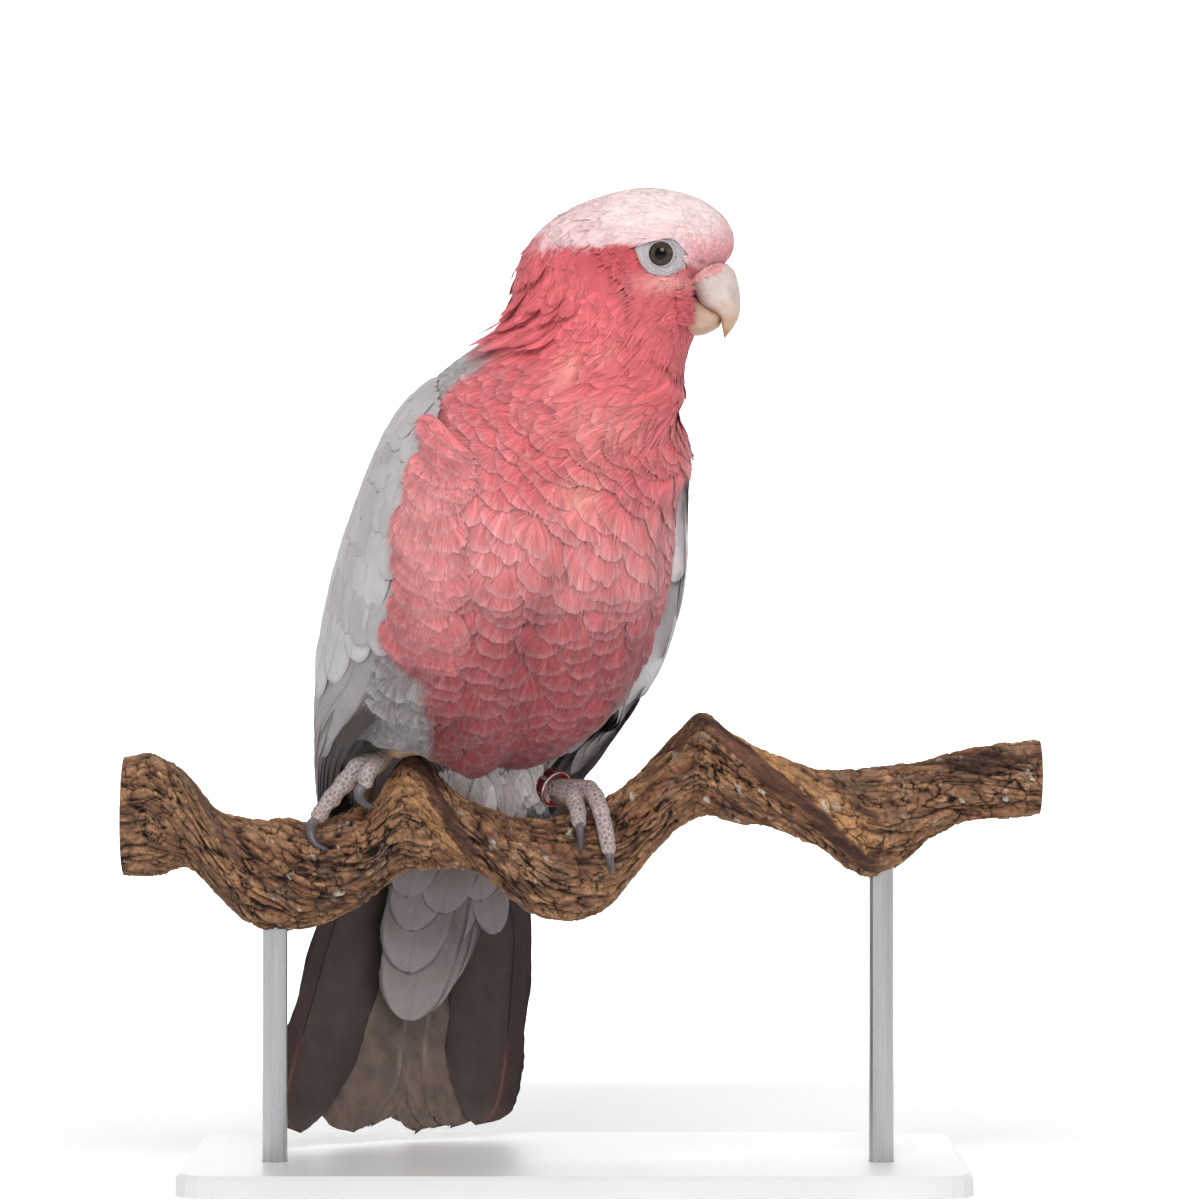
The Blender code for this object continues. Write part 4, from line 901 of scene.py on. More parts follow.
def markings(P, s, th):
    """Colours of skin and coat, from place on the body alone."""
    f, z = head_fz(P)
    a = np.degrees(np.abs((th + pi) % (2 * pi) - pi))
    n1 = fbm(P, 9.0, 3, 5)
    n2 = fbm(P, 3.2, 2, 9)
    # rose body, brighter over the breast, deeper towards the belly; the darker belly and lower belly colours are partly
    # the feathers' own deeper rose and partly painted shade under the breast
    col = mix(C["neck"], C["breast"], smooth(8.0, 11.0, s))
    col = mix(col, C["mid"], smooth(10.8, 12.2, s) * (0.75 + 0.4 * n1))
    col = mix(col, C["belly"], smooth(12.2, 14.0, s))
    col = mix(col, C["low"], (0.85 + 0.15 * smooth(0.0, -30.0, np.degrees(th))) * smooth(13.9, 15.6, s))
    t = np.degrees((th + pi) % (2 * pi) - pi)
    n3 = fbm(P, 5.0, 2, 15)
    col = mix(col, C["mid"] * 0.92, 0.45 * smooth(30.0, 55.0, a) * smooth(9.8, 10.8, s) * (1 - smooth(13.4, 14.6, s)))
    # painted shade: the lower belly darker on the bird's right side
    col = col * (1 - 0.26 * smooth(-12.0, -40.0, t) * smooth(14.0, 15.4, s))[..., None]
    # painted shade: darker in the groove where the feathers part along the middle
    line = np.interp(s, [10.8, 11.2, 12.9, 13.7, 15.0, 16.7], [-4.0, -5.0, -10.0, -11.0, -3.0, 8.0])
    part = np.exp(-((t - line) / (4.0 + 5.0 * smooth(12.0, 14.0, s))) ** 2) * smooth(11.4, 13.0, s)
    col = mix(col, C["low"], 0.48 * part)
    col = mix(col, col * 0.82, np.clip(n3, 0, 1) * smooth(9.0, 11.0, s))
    # pale spot below the breast
    X, Z = P[..., 0], P[..., 2]
    spot = np.exp(-(((X - 0.0) / 13.0) ** 2 + ((Z - 240.0) / 9.0) ** 2)) * (P[..., 1] < -40)
    col = mix(col, C["peach"], 0.30 * spot)
    for xs, zs, w1, w2 in ((-9.0, 258.0, 3.2, 6.0), (-13.5, 254.5, 3.0, 4.0), (1.5, 262.5, 3.6, 3.4), (-6.0, 219.0, 7.0, 6.0)):
        spot = np.exp(-(((X - xs) / w1) ** 2 + ((Z - zs) / w2) ** 2)) * (P[..., 1] < -40) * np.clip(0.7 + n2, 0, 1)
        col = mix(col, C["peach"], 0.65 * spot)
    # cheeks and throat
    head = 1 - smooth(5.2, 7.6, s + 0.15 * n1)
    ck = mix(C["cheek"], C["cheek_low"], smooth(296.0, 268.0, z + 4 * n1))
    col = mix(col, ck, head)
    # the white cap: a line that runs from the bill under the eye's rear
    # corner to the nape
    edge = spline(np.array([-60.0, -44.0, -36.0, -26.0, -9.0, -4.0, 4.0, 10.0, 15.0, 24.0]),
                  np.array([[288.0], [291.5], [295.0], [295.6], [296.0], [295.6], [292.0], [290.0], [287.0], [284.0]]), f)[..., 0]
    cap = smooth(edge - 0.7, edge + 0.7, z + 0.8 * n2) * (1 - smooth(6.1, 6.9, s + 0.5 * n2))
    top = smooth(296.0, 312.0, z)
    cc = mix(C["cap_pink"], C["cap"], np.clip(top + 0.35 + 0.25 * n1, 0, 1))
    lore = smooth(7.0, 13.0, f) * (1 - smooth(293.0, 302.0, z))
    cc = mix(cc, C["lore"], 0.75 * lore)
    fore = smooth(14.0, 22.0, f) * (1 - smooth(298.0, 312.0, z))
    cc = mix(cc, C["lore"], 0.45 * fore)
    cc = mix(cc, C["cap_pink"], 0.55 * smooth(-6.0, -24.0, f) * np.clip(0.7 + n1, 0, 1))
    # faint pink streaks run back over the crown
    run = fbm(np.stack([f / 5.0, z / 0.9, P[..., 1] / 3.0], -1), 1.0, 2, 45)
    cc = mix(cc, C["cheek_low"], 0.20 * smooth(0.25, 0.7, run))
    cc = mix(cc, lin(96, 52, 54), 0.8 * np.exp(-((f - 13.6) / 0.9) ** 2 - ((z - 291.3) / 0.55) ** 2))
    col = mix(col, cc, cap)
    # pale streaks under the eye, back along the cheek
    d = np.hypot((f - 3.0) / 9.0, (z - 284.5) / 3.0)
    col = mix(col, C["pale_streak"], 0.5 * np.exp(-d**2) * (1 - cap))
    # the grey back starts at the shoulder line
    rim = np.interp(s, [8.6, 9.4, 9.9, 10.4, 10.9, 11.6], [112.0, 112.0, 104.0, 96.0, 95.0, 100.0])
    back = smooth(rim - 2.0, rim + 5.0, a + 6 * n1) * smooth(9.3, 9.75, s + 0.25 * n1)
    col = mix(col, mix(C["mantle"], C["rump"], smooth(13.0, 16.0, s)), back)
    # grey flank below the wing on each side, and the grey vent; the flank's grey is darkened with painted shade below
    # the wing
    lim = np.where(t < 0, np.interp(s, [13.7, 14.2, 14.5, 15.5, 16.5, 17.5], [90.0, 66.0, 46.0, 40.0, 35.0, 33.0]),
                   np.interp(s, [13.9, 14.6, 15.5, 16.5], [70.0, 40.0, 32.0, 27.0]))
    flank = smooth(lim - 3.0, lim + 3.0, a + 5 * n1) * smooth(13.7, 14.1, s)
    col = mix(col, mix(C["grey"], C["grey"] * 1.35, np.clip(0.5 + n3, 0, 1)), flank * 0.96)
    vent = smooth(16.75, 17.2, s + 0.2 * n1)
    col = mix(col, C["vent"], vent)
    return col


LIFT_EXTRA = 0.0


def lie(s, th, n, ps, pt, P):
    """Unit direction of each feather, along the body and combed a little
    outwards or inwards."""
    g = unit(ps)
    across = unit(pt - (pt * g).sum(-1, keepdims=True) * g)
    t = (th + pi) % (2 * pi) - pi
    a = np.degrees(np.abs(t))
    out = 0.10 * np.sin(t) * smooth(8, 11, s)
    out = out + np.where(t > 0, 0.06, 0.28) * np.sign(t) * smooth(25, 60, a) * (1 - smooth(95, 130, a)) * smooth(9.5, 11, s) * (1 - smooth(14.2, 15.5, s))
    out = out - 0.34 * np.sign(t) * smooth(2, 14, a) * (1 - smooth(40, 70, a)) * smooth(13.2, 15.0, s)
    out = out + 0.22 * noise(P, 26.0, 31) + 0.10 * noise(P, 9.0, 37)
    return unit(g + across * out[..., None])


def spread(s0, s1, gap, seed, keep=None, tries=6, slim=1.45):
    """Roots in staggered rows along the body, thinned where rows crowd, then
    the holes filled.  gap(s, th) is the wanted distance."""
    rng = np.random.default_rng(seed)
    cand = []
    s = s0
    row = 0
    while s < s1:
        ths = np.linspace(-pi, pi, 400, endpoint=False)
        p = body(np.full(400, s), ths)
        seg = np.linalg.norm(np.roll(p, -1, 0) - p, axis=-1)
        g = gap(np.full(400, s), ths)
        cum = np.concatenate([[0], np.cumsum(seg / (1.30 * g))])
        count = max(int(round(cum[-1])), 6)
        k = (np.arange(count) + 0.5 * (row % 2)) / count * cum[-1]
        tt = np.interp(k, cum, np.concatenate([ths, [pi]]))
        j = rng.normal(0, 0.10, (2, count))
        if slim > 2:
            cand.append(np.stack([np.full(count, s) + 0.9 * j[0], tt + 0.45 * j[1]], -1))
        else:
            cand.append(np.stack([np.full(count, s), tt], -1))
        dp = body(np.full(400, s + 0.05), ths)
        step = np.linalg.norm(dp - p, axis=-1) / 0.05
        s += min(0.80, 1.22 / slim) * float(np.mean(g) / np.quantile(step, 0.6))
        row += 1
    cand = np.concatenate(cand)
    extra = np.stack([rng.uniform(s0, s1, len(cand) * tries), rng.uniform(-pi, pi, len(cand) * tries)], -1)
    allc = np.concatenate([cand, extra])
    if keep is not None:
        allc = allc[keep(allc[:, 0], allc[:, 1])]
    P = body(allc[:, 0], allc[:, 1])
    G = gap(allc[:, 0], allc[:, 1])
    A = unit(frame_at(allc[:, 0], allc[:, 1])[2])
    cell = float(G.max()) * 1.2
    pull = slim * slim - 1
    grid = {}
    got = []
    K = np.floor(P / cell).astype(int)
    for i in range(len(allc)):
        kx, ky, kz = K[i]
        ok = True
        r = 1.10 * G[i] if i < len(cand) else 1.16 * G[i]
        for ax in (-1, 0, 1):
            for ay in (-1, 0, 1):
                for az in (-1, 0, 1):
                    for q in grid.get((kx + ax, ky + ay, kz + az), ()):
                        d = P[i] - q
                        e = d[0] * A[i, 0] + d[1] * A[i, 1] + d[2] * A[i, 2]
                        if d[0] * d[0] + d[1] * d[1] + d[2] * d[2] + pull * e * e < r * r:
                            ok = False
                            break
                    if not ok:
                        break
                if not ok:
                    break
            if not ok:
                break
        if ok:
            got.append(i)
            grid.setdefault((kx, ky, kz), []).append(P[i])
    got = allc[got]
    return got[:, 0] + rng.normal(0, 0.012, len(got)), got[:, 1]


def soft_plan(m, k, seed, wrap=116.0, reach=0.42, fringe=0.03, belly=0.60, spikes=30, spike=0.25, strand=0.93):
    """One soft feather in units of its length and half width: a web whose
    columns are its barbs, and the barbs' free ends beyond the web."""
    rng = np.random.default_rng(seed)
    wr = np.radians(wrap)

    def at(a, t, dl1=0.0, dw1=0.0):
        l1 = belly + (1 - belly) * np.cos(wr * a) + dl1
        w1 = np.sin(wr * a) * 1.0 + dw1
        l0 = np.maximum(l1 - reach, 0.02)
        tc = np.minimum(t, 1.0)
        w = w1 * (1 - (1 - tc) ** 1.45) + 0.12 * w1 * np.maximum(t - 1, 0)
        return l0 + (l1 - l0) * t**1.12, w
    a = np.linspace(-1, 1, m)
    t = np.linspace(0, 1, k)
    l, w = at(a[:, None], t[None, :], (rng.normal(0, fringe, m))[:, None] * t**2, (rng.normal(0, 0.02, m))[:, None] * t**2)
    sa = np.clip((np.arange(spikes) + rng.uniform(0, 1, spikes)) / max(spikes, 1) * 2 - 1, -0.97, 0.97)
    ln = spike * rng.uniform(0.10, 1.15, spikes) * (0.45 + 0.55 * np.cos(wr * sa * 0.8))
    dd = 1.0 / max(spikes, 1)
    t0 = rng.uniform(strand, 0.94, spikes)
    drift = rng.normal(0, 1.3 * dd, spikes) + 0.02 * np.sin(sa * 9.0 + seed)
    pa = np.stack([sa - dd, sa + dd, sa + drift], -1)
    pt = np.stack([t0, t0, 1 + ln], -1)
    sl, sw = at(pa, pt)
    return {"l": l, "w": w, "t": t, "a": a, "rise": rng.normal(0, 1, m), "sl": sl, "sw": sw, "sa": pa, "st": pt,
            "sr": rng.normal(0, 1, spikes)}


def soft(name, surf, colour, N, L, W, m, k, mat, uvat, rough=0.05, cup=0.10, tip_col=None, tip_mix=0.40, seed=1,
         root_mix=0.35, power=0.75, fringe=0.03, reach=0.42, shaft=0.25, belly=0.60, wrap=116.0, spikes=30, spike=1.6,
         plans=6, slot=None, replaces=(), tone_amt=0.045, tip_from=0.70, edge_dark=0.12, up=None, strand=0.93):
    """A coat piece.  surf(idx, l, w, h01) gives points for feathers idx at l
    along, w across (mm) and the rise 0..1 from root to tip, with an added
    height hh in mm."""
    rng = np.random.default_rng(seed)
    kind = rng.integers(0, plans, N)
    tone = 1 + rng.normal(0, tone_amt, N)
    lift_i = rng.normal(0, 0.10, N) if up is None else np.broadcast_to(np.asarray(up, float), (N,))
    V, F, COL, UV, VA = [], [], [], [], []
    base = 0
    for v in range(plans):
        idx = np.flatnonzero(kind == v)
        if not len(idx):
            continue
        p = soft_plan(m, k, seed * 100 + v, wrap, reach, fringe, belly, spikes, spike / float(np.median(L) * reach), strand)
        for part in ("web", "ends"):
            if part == "web":
                pl, pw, t, a, rise = p["l"], p["w"], np.broadcast_to(p["t"], p["l"].shape), p["a"][:, None] + 0 * p["l"], p["rise"][:, None]
            elif spikes:
                pl, pw, t, a, rise = p["sl"], p["sw"], p["st"], p["sa"], p["sr"][:, None]
            else:
                continue
            l = L[idx, None, None] * pl
            w = (W[idx] / 2)[:, None, None] * pw
            rise_b = 0.06 + 0.94 * np.clip(pl, 0, 1.1) ** power
            hh = -cup * (W[idx] / 2)[:, None, None] * pw**2 + rough * rise[None] * t[None] ** 2
            hh = hh + lift_i[idx][:, None, None] * np.clip(pl, 0, 1)
            if part == "ends":
                hh = hh + 0.07 + 0.05 * rise[None] * (t[None] > 1) - 0.08 * (t[None] > 1)
            P, aux = surf(idx, l, w, rise_b, hh, pl)
            ni, na, nt = P.shape[:3]
            V.append(P.reshape(-1, 3))
            if part == "web":
                q = grid_quads(na, nt)
            else:
                q = np.arange(na * 3).reshape(na, 3)
            F.append(((np.arange(ni) * na * nt)[:, None, None] + q[None] + base).reshape(-1, q.shape[1]))
            base += ni * na * nt
            c = colour(P, aux, idx, pl, pw)
            c = c * (tone[idx][:, None, None] * (1 + (0.03 if part == "web" else 0.11) * rise[None]))[..., None]
            grey = c.mean(-1, keepdims=True)
            root = root_mix * (1 - np.clip(pl / 0.55, 0, 1)) + 0 * l
            c = mix(c, grey * np.array([0.92, 0.88, 0.88]), root)
            edge = np.clip((t - tip_from) / (1.0 - tip_from), 0, 1.25)
            # painted shade: a darker band across each feather just inside its pale tip
            dark = edge_dark * np.exp(-((t - tip_from + 0.06) / 0.12) ** 2)
            c = c * (1 - dark)[None, ..., None] if dark.ndim == 2 else c * (1 - dark)[..., None]
            tc = tip_col
            if callable(tc):
                tc = tc(P, aux, idx)
            pale = c * 0.45 + 0.55 * (grey * 0.95 + 0.10) if tc is None else np.broadcast_to(tc, c.shape)
            c = mix(c, pale, np.clip(tip_mix * edge**1.2, 0, 1) + 0 * l)
            if shaft:
                sm = shaft * np.exp(-(w / 0.30) ** 2) * np.clip(1.3 - pl, 0, 1) * (pl > 0.25)
                c = mix(c, c * 0.5 + 0.42, sm)
            COL.append(c.reshape(-1, 3))
            u0, v0 = uvat
            uu = u0[idx][:, None, None] + 0.003 * pw[None] * 0.5
            vv = v0[idx][:, None, None] + 0.003 * (pl[None] - 0.5)
            UV.append(np.stack([uu, vv], -1).reshape(-1, 2))
            va = np.stack(np.broadcast_arrays(a[None] * (W[idx] * 0.62)[:, None, None], t[None] * (L[idx] * reach)[:, None, None],
                                              (idx * 7.31 % 97.0)[:, None, None]), -1)
            VA.append(va.reshape(-1, 3))
    quads = np.concatenate([f for f in F if f.shape[1] == 4])
    tris = [f for f in F if f.shape[1] == 3]
    F2 = [quads] + ([np.concatenate(tris)] if tris else [])
    print("COAT", name, N, "feathers", len(quads) * 2 + sum(len(x) for x in F2[1:]), "triangles")
    return make(name, np.concatenate(V), F2, mat, np.concatenate(COL), np.concatenate(UV),
                attrs={"Vane": np.concatenate(VA)}, replaces=replaces, smooth=True)


def grow(name, s, th, L, W, m, k, mat, up=None, lie_fn=None, extra=None, seed=1, yaw=0.06, base_col=None, **kw):
    """Soft feathers rooted on the body at (s, th)."""
    rng = np.random.default_rng(seed + 1000)
    N = len(s)
    P0, n0, ps, pt = frame_at(s, th)
    g = (lie_fn or lie)(s, th, n0, ps, pt, P0)
    g = unit(g - (g * n0).sum(-1, keepdims=True) * n0)
    b = unit(np.cross(n0, g))
    ang = rng.normal(0, yaw, N)
    g, b = g * np.cos(ang)[:, None] + b * np.sin(ang)[:, None], b * np.cos(ang)[:, None] - g * np.sin(ang)[:, None]
    E, Fm, G = (ps * ps).sum(-1), (ps * pt).sum(-1), (pt * pt).sum(-1)
    det = np.maximum(E * G - Fm * Fm, 1e-6)

    def par(v):
        x, y = (v * ps).sum(-1), (v * pt).sum(-1)
        return (G * x - Fm * y) / det, (E * y - Fm * x) / det
    gs, gt = par(g)
    bs, bt = par(b)
    L = L * rng.uniform(0.92, 1.1, N)
    W = W * rng.uniform(0.93, 1.08, N)

    def surf(idx, l, w, rise, hh, pl):
        S = s[idx, None, None] + gs[idx, None, None] * l + bs[idx, None, None] * w
        T = th[idx, None, None] + gt[idx, None, None] * l + bt[idx, None, None] * w
        S = np.clip(S, 0.0, 19.4)
        h = depth(S, T) * rise + hh
        if extra is not None:
            h = h + extra(S, T) * np.clip(pl, 0, 1)
        P, _ = skin_at(S, T, h)
        return P, (S, T)

    def colour(P, aux, idx, pl, pw):
        return (base_col or markings)(P, aux[0], aux[1])
    u0 = (th / (2 * pi)) % 1.0 * 0.98 + 0.01
    v0 = s / 20.0 * 0.98 + 0.01
    return soft(name, surf, colour, N, L, W, m, k, mat, (u0, v0), seed=seed, up=up, **kw)


def frame_at(s, th):
    e, t = 0.03, 0.012
    lo, hi = np.clip(s - e, 0, 20), np.clip(s + e, 0, 20)
    ps = (body(hi, th) - body(lo, th)) / (hi - lo)[..., None]
    pt = (body(s, th + t) - body(s, th - t)) / (2 * t)
    n = unit(np.cross(ps, pt))
    return body(s, th), n, ps, pt
# =====================================================================
#                feet: one scaled skin for each leg
# =====================================================================
def dense(P, R, step=0.7):
    P, R = np.asarray(P, float), np.asarray(R, float)
    t = np.concatenate([[0], np.cumsum(np.linalg.norm(np.diff(P, axis=0), axis=1))])
    u = np.linspace(0, t[-1], max(int(t[-1] / step), 6))
    return spline(t, P, u), spline(t, R, u), u


def capsule(P, R, sides=20):
    """Closed round tube through the points, its faces outward."""
    C, r, _ = dense(P, R)
    T, N, B = frames_along(C)
    a = np.linspace(0, 2 * pi, sides, endpoint=False)
    ring_ = lambda c, n, b, rr: c + (n * np.cos(a)[:, None] + b * np.sin(a)[:, None]) * rr
    rings = [ring_(C[0] - T[0] * r[0] * k, N[0], B[0], r[0] * q) for k, q in ((0.92, 0.38), (0.72, 0.69), (0.38, 0.92))]
    rings += [ring_(C[i], N[i], B[i], r[i]) for i in range(len(C))]
    rings += [ring_(C[-1] + T[-1] * r[-1] * k, N[-1], B[-1], r[-1] * q) for k, q in ((0.38, 0.92), (0.72, 0.69), (0.92, 0.38))]
    V = np.concatenate(rings)
    n = len(rings)
    F = grid_quads(n, sides, wrap=True)
    V = np.concatenate([V, [C[0] - T[0] * r[0], C[-1] + T[-1] * r[-1]]])
    j = np.arange(sides)
    c0 = np.stack([(j + 1) % sides, j, np.full(sides, n * sides)], -1)
    c1 = np.stack([(n - 1) * sides + j, (n - 1) * sides + (j + 1) % sides, np.full(sides, n * sides + 1)], -1)
    vol = (V[F[:, 0]] * np.cross(V[F[:, 1]], V[F[:, 2]])).sum() / 6
    T3 = np.concatenate([c0, c1])
    return V, F, T3


def joined(parts, voxel):
    """Union of closed tubes by a voxel remesh, as arrays."""
    V, Q, T3, base = [], [], [], 0
    for P, R in parts:
        v, q, t = capsule(P, R)
        V.append(v)
        Q.append(q + base)
        T3.append(t + base)
        base += len(v)
    V, Q, T3 = np.concatenate(V), np.concatenate(Q), np.concatenate(T3)
    me = bpy.data.meshes.new("tmp")
    me.from_pydata([tuple(p) for p in V * MM], [], [tuple(int(i) for i in f) for f in Q] + [tuple(int(i) for i in f) for f in T3])
    me.update()
    ob = bpy.data.objects.new("tmp", me)
    bpy.context.scene.collection.objects.link(ob)
    mod = ob.modifiers.new("join", "REMESH")
    mod.mode = "VOXEL"
    mod.voxel_size = voxel * MM
    mod.use_smooth_shade = True
    dg = bpy.context.evaluated_depsgraph_get()
    got = ob.evaluated_get(dg).to_mesh()
    n = len(got.vertices)
    co = np.empty(n * 3, np.float32)
    got.vertices.foreach_get("co", co)
    sizes = np.empty(len(got.polygons), np.int32)
    got.polygons.foreach_get("loop_total", sizes)
    idx = np.empty(len(got.loops), np.int32)
    got.loops.foreach_get("vertex_index", idx)
    F = idx.reshape(-1, 4) if (sizes == 4).all() else None
    ob.evaluated_get(dg).to_mesh_clear()
    bpy.data.objects.remove(ob)
    bpy.data.meshes.remove(me)
    V = co.reshape(-1, 3).astype(float) / MM
    a, b, c = V[F[:, 0]], V[F[:, 1]], V[F[:, 2]]
    if (a * np.cross(b, c)).sum() < 0:
        F = F[:, ::-1]
    return V, F


def relax(V, F, times, w=0.5):
    E = np.concatenate([F[:, [0, 1]], F[:, [1, 2]], F[:, [2, 3]], F[:, [3, 0]]])
    E = np.concatenate([E, E[:, ::-1]])
    cnt = np.bincount(E[:, 0], minlength=len(V))[:, None]
    for _ in range(times):
        acc = np.stack([np.bincount(E[:, 0], V[E[:, 1], k], minlength=len(V)) for k in range(3)], -1) / cnt
        V = V * (1 - w) + acc * w
    return V


def vertex_normals(V, F):
    n = np.cross(V[F[:, 2]] - V[F[:, 0]], V[F[:, 3]] - V[F[:, 1]])
    out = np.zeros_like(V)
    for k in range(4):
        for j in range(3):
            out[:, j] += np.bincount(F[:, k], n[:, j], minlength=len(V))
    return unit(out)


def scatter(P, R, seed):
    """Indices of points no closer than R to each other."""
    rng = np.random.default_rng(seed)
    cell = float(R.max())
    K = np.floor(P / cell).astype(int)
    grid, got = {}, []
    for i in rng.permutation(len(P)):
        kx, ky, kz = K[i]
        p = P[i]
        r2 = R[i] ** 2
        ok = True
        for ax in (-1, 0, 1):
            for ay in (-1, 0, 1):
                for az in (-1, 0, 1):
                    for q in grid.get((kx + ax, ky + ay, kz + az), ()):
                        if (p[0] - q[0]) ** 2 + (p[1] - q[1]) ** 2 + (p[2] - q[2]) ** 2 < r2:
                            ok = False
                            break
                    if not ok:
                        break
                if not ok:
                    break
            if not ok:
                break
        if ok:
            got.append(i)
            grid.setdefault((kx, ky, kz), []).append(p)
    return np.array(got)


PAD_WAY = {"right_inner_hind": (0.1, -1.0, -0.35)}


def leg(side, voxel=0.34):
    tubes = []
    names = []
    for key, (P, R) in TOES.items():
        if key.startswith(side):
            P = np.array(P, float)
            c = np.array(CLAWS[key][0], float)
            tubes.append((P, np.array(R, float)))
            names.append(key)
    tubes.append(TARSI[side])
    names.append("tarsus")
    tubes.append(THIGHS[side])
    names.append("thigh")
    link = [np.array(TARSI[side][0][-1], float), np.array(THIGHS[side][0][0], float)]
    parts = [(P, np.array(R) * 0.97) for P, R in tubes]
    parts.append((np.array([link[0], (link[0] + link[1]) / 2, link[1]]), np.array([3.2, 3.6, 4.2])))
    hub = np.array(TARSI[side][0][0], float)
    for (P, R), nm in zip(tubes, names):
        if nm not in ("tarsus", "thigh"):
            p0 = np.array(P[0], float)
            parts.append((np.array([hub, (hub + p0) / 2, p0]), np.array([3.0, 3.0, R[0] * 0.97])))
    V, F = joined(parts, voxel)
    V = relax(V, F, 6)
    n = vertex_normals(V, F)
    # nearest place along the middle lines
    best = np.full(len(V), 1e9)
    tub = np.zeros(len(V), int)
    along = np.zeros(len(V))
    cen = np.zeros_like(V)
    rad = np.ones(len(V))
    tan = np.zeros_like(V)
    total = []
    for i, (P, R) in enumerate(tubes):
        Cc, r, u = dense(P, R, 0.5)
        T, _, _ = frames_along(Cc)
        total.append(u[-1])
        d = np.linalg.norm(V[:, None] - Cc[None], axis=-1) - r[None]
        j = d.argmin(1)
        dm = d[np.arange(len(V)), j]
        w = dm < best
        best[w] = dm[w]
        tub[w], along[w], cen[w], rad[w], tan[w] = i, u[j[w]], Cc[j[w]], r[j[w]], T[j[w]]
    total = np.array(total)[tub]
    y, zc, rv, ry, _ = perch_mid(V[:, 0])
    mid = np.stack([V[:, 0], y, zc], -1)
    way = unit(mid - cen)
    for i, nm in enumerate(names):
        if nm in PAD_WAY:
            way[tub == i] = unit(np.array(PAD_WAY[nm]))
    way = unit(way - (way * tan).sum(-1, keepdims=True) * tan)
    sole = (unit(V - cen) * way).sum(-1)            # 1 under the toe
    toe = np.array([nm not in ("tarsus", "thigh") for nm in names])[tub]
    thigh = np.array([nm == "thigh" for nm in names])[tub]
    # pads under each joint, creases above
    ph = along / 6.4 * 2 * pi
    V = V + n * ((0.35 * np.cos(ph) * smooth(0.2, 0.8, sole) + 0.16 * np.cos(ph) * smooth(0.2, -0.6, sole))
                 * toe * smooth(0.0, 2.0, along))[:, None]
    # horny scales: small grains at the sides, larger ones on top
    want = np.where(toe, 0.98 + 0.45 * smooth(0.1, -0.8, sole), 1.15)
    want = np.where(sole > 0.45, 1.0, want)
    cand = scatter(V, want, 5 if side == "left" else 6)
    from mathutils.kdtree import KDTree
    ctr = V[cand].copy()
    for it in range(5):
        kd = KDTree(len(ctr))
        for i, p in enumerate(ctr):
            kd.insert(p, i)
        kd.balance()
        if it == 4:
            break
        own = np.array([kd.find(p)[1] for p in V[::2]])
        cnt = np.maximum(np.bincount(own, minlength=len(ctr)), 1)[:, None]
        m = np.stack([np.bincount(own, V[::2, k], minlength=len(ctr)) for k in range(3)], -1) / cnt
        has = np.bincount(own, minlength=len(ctr)) > 0
        ctr[has] = m[has]
    near = np.array([[(q[1], q[2]) for q in kd.find_n(p, 2)] for p in V])
    f1, f2 = near[:, 0, 1], near[:, 1, 1]
    who = near[:, 0, 0].astype(int)
    sep = np.maximum(f1 + f2, 0.3)
    e = (f2 - f1) / sep                            # 0 at a scale's edge, 1 in its middle
    scaly = 1 - 0.999 * thigh * smooth(0.0, 2.0, along)
    dome = smooth(0.0, 0.55, e)
    V = V + n * ((0.22 * dome - 0.10) * scaly * (1 - 0.45 * smooth(0.3, 0.8, sole)))[:, None]
    V = relax(V, F, 1, 0.25)
    rngc = np.random.default_rng(9)
    per = rngc.normal(0, 1, len(ctr))[who]
    rim, mid_c = lin(214, 201, 198), lin(128, 112, 110)
    tone = 0.5 + 0.5 * fbm(V, 5.0, 3, 77)
    c = mix(rim, mid_c, smooth(0.08, 0.26, e) * (0.80 + 0.10 * per))
    c = mix(c, lin(98, 84, 84), 0.55 * np.exp(-(e / 0.07) ** 2))
    c = mix(c, c * 0.82, tone * 0.5)
    # soles and joints are tan
    pad = smooth(0.30, 0.75, sole + 0.12 * fbm(V, 2.5, 2, 78)) * toe
    pc = mix(lin(196, 166, 128), lin(164, 132, 98), smooth(0.35, 0.05, e))
    c = mix(c, pc, 0.92 * pad)
    fold = np.exp(-(((along + 3.2) / 6.4 % 1.0 - 0.5) / 0.08) ** 2) * toe * smooth(0.3, -0.3, sole)
    c = mix(c, lin(186, 160, 150), 0.30 * fold)
    pale = thigh * smooth(-1.0, 2.0, along) * 1.0
    c = mix(c, mix(lin(226, 204, 200), lin(214, 176, 172), tone), pale)
    # each tube unwraps into a strip of its own above the body's
    ref = np.cross(way, tan)
    ang = np.arctan2((unit(V - cen) * ref).sum(-1), sole) / (2 * pi) + 0.5
    k0 = (0 if side == "right" else 6) + tub
    u = (k0 + 0.12 + 0.76 * ang) / 12.0
    v = 0.948 + 0.048 * np.clip(along / np.maximum(total, 1), 0, 1)
    jump = u[F].max(1) - u[F].min(1) > 0.4 / 12
    uv = np.stack([u[F], v[F]], -1)
    lowu = uv[..., 0] < (k0[F] + 0.5) / 12.0
    uv[..., 0] = np.where(jump[:, None] & lowu, uv[..., 0] + 0.76 / 12.0, uv[..., 0])
    print("LEG", side, len(V), "verts", len(F) * 2, "triangles", len(ctr), "scales")
    return V, F, c, uv.reshape(-1, 2)


def scale_material():
    m = Nodes("scaled skin")
    c = m.attr("Col").outputs["Color"]
    v = m.coords()
    n1 = m.noise(v, 1500.0, 3.0)
    n2 = m.noise(v, 300.0, 2.0)
    f = m.math("MULTIPLY", m.remap(n1, 0.3, 0.7, 0.93, 1.07), m.remap(n2, 0.3, 0.7, 0.94, 1.06))
    m.link(m.scale_col(c, f), m.p.inputs["Base Color"])
    m.set(Roughness=0.62)
    m.p.inputs["Specular IOR Level"].default_value = 0.35
    m.link(m.bump(n1, 0.35, 0.00012), m.p.inputs["Normal"])
    return m.mat


M_SCALES = scale_material()
LEGS = {side: leg(side) for side in ("right", "left")}


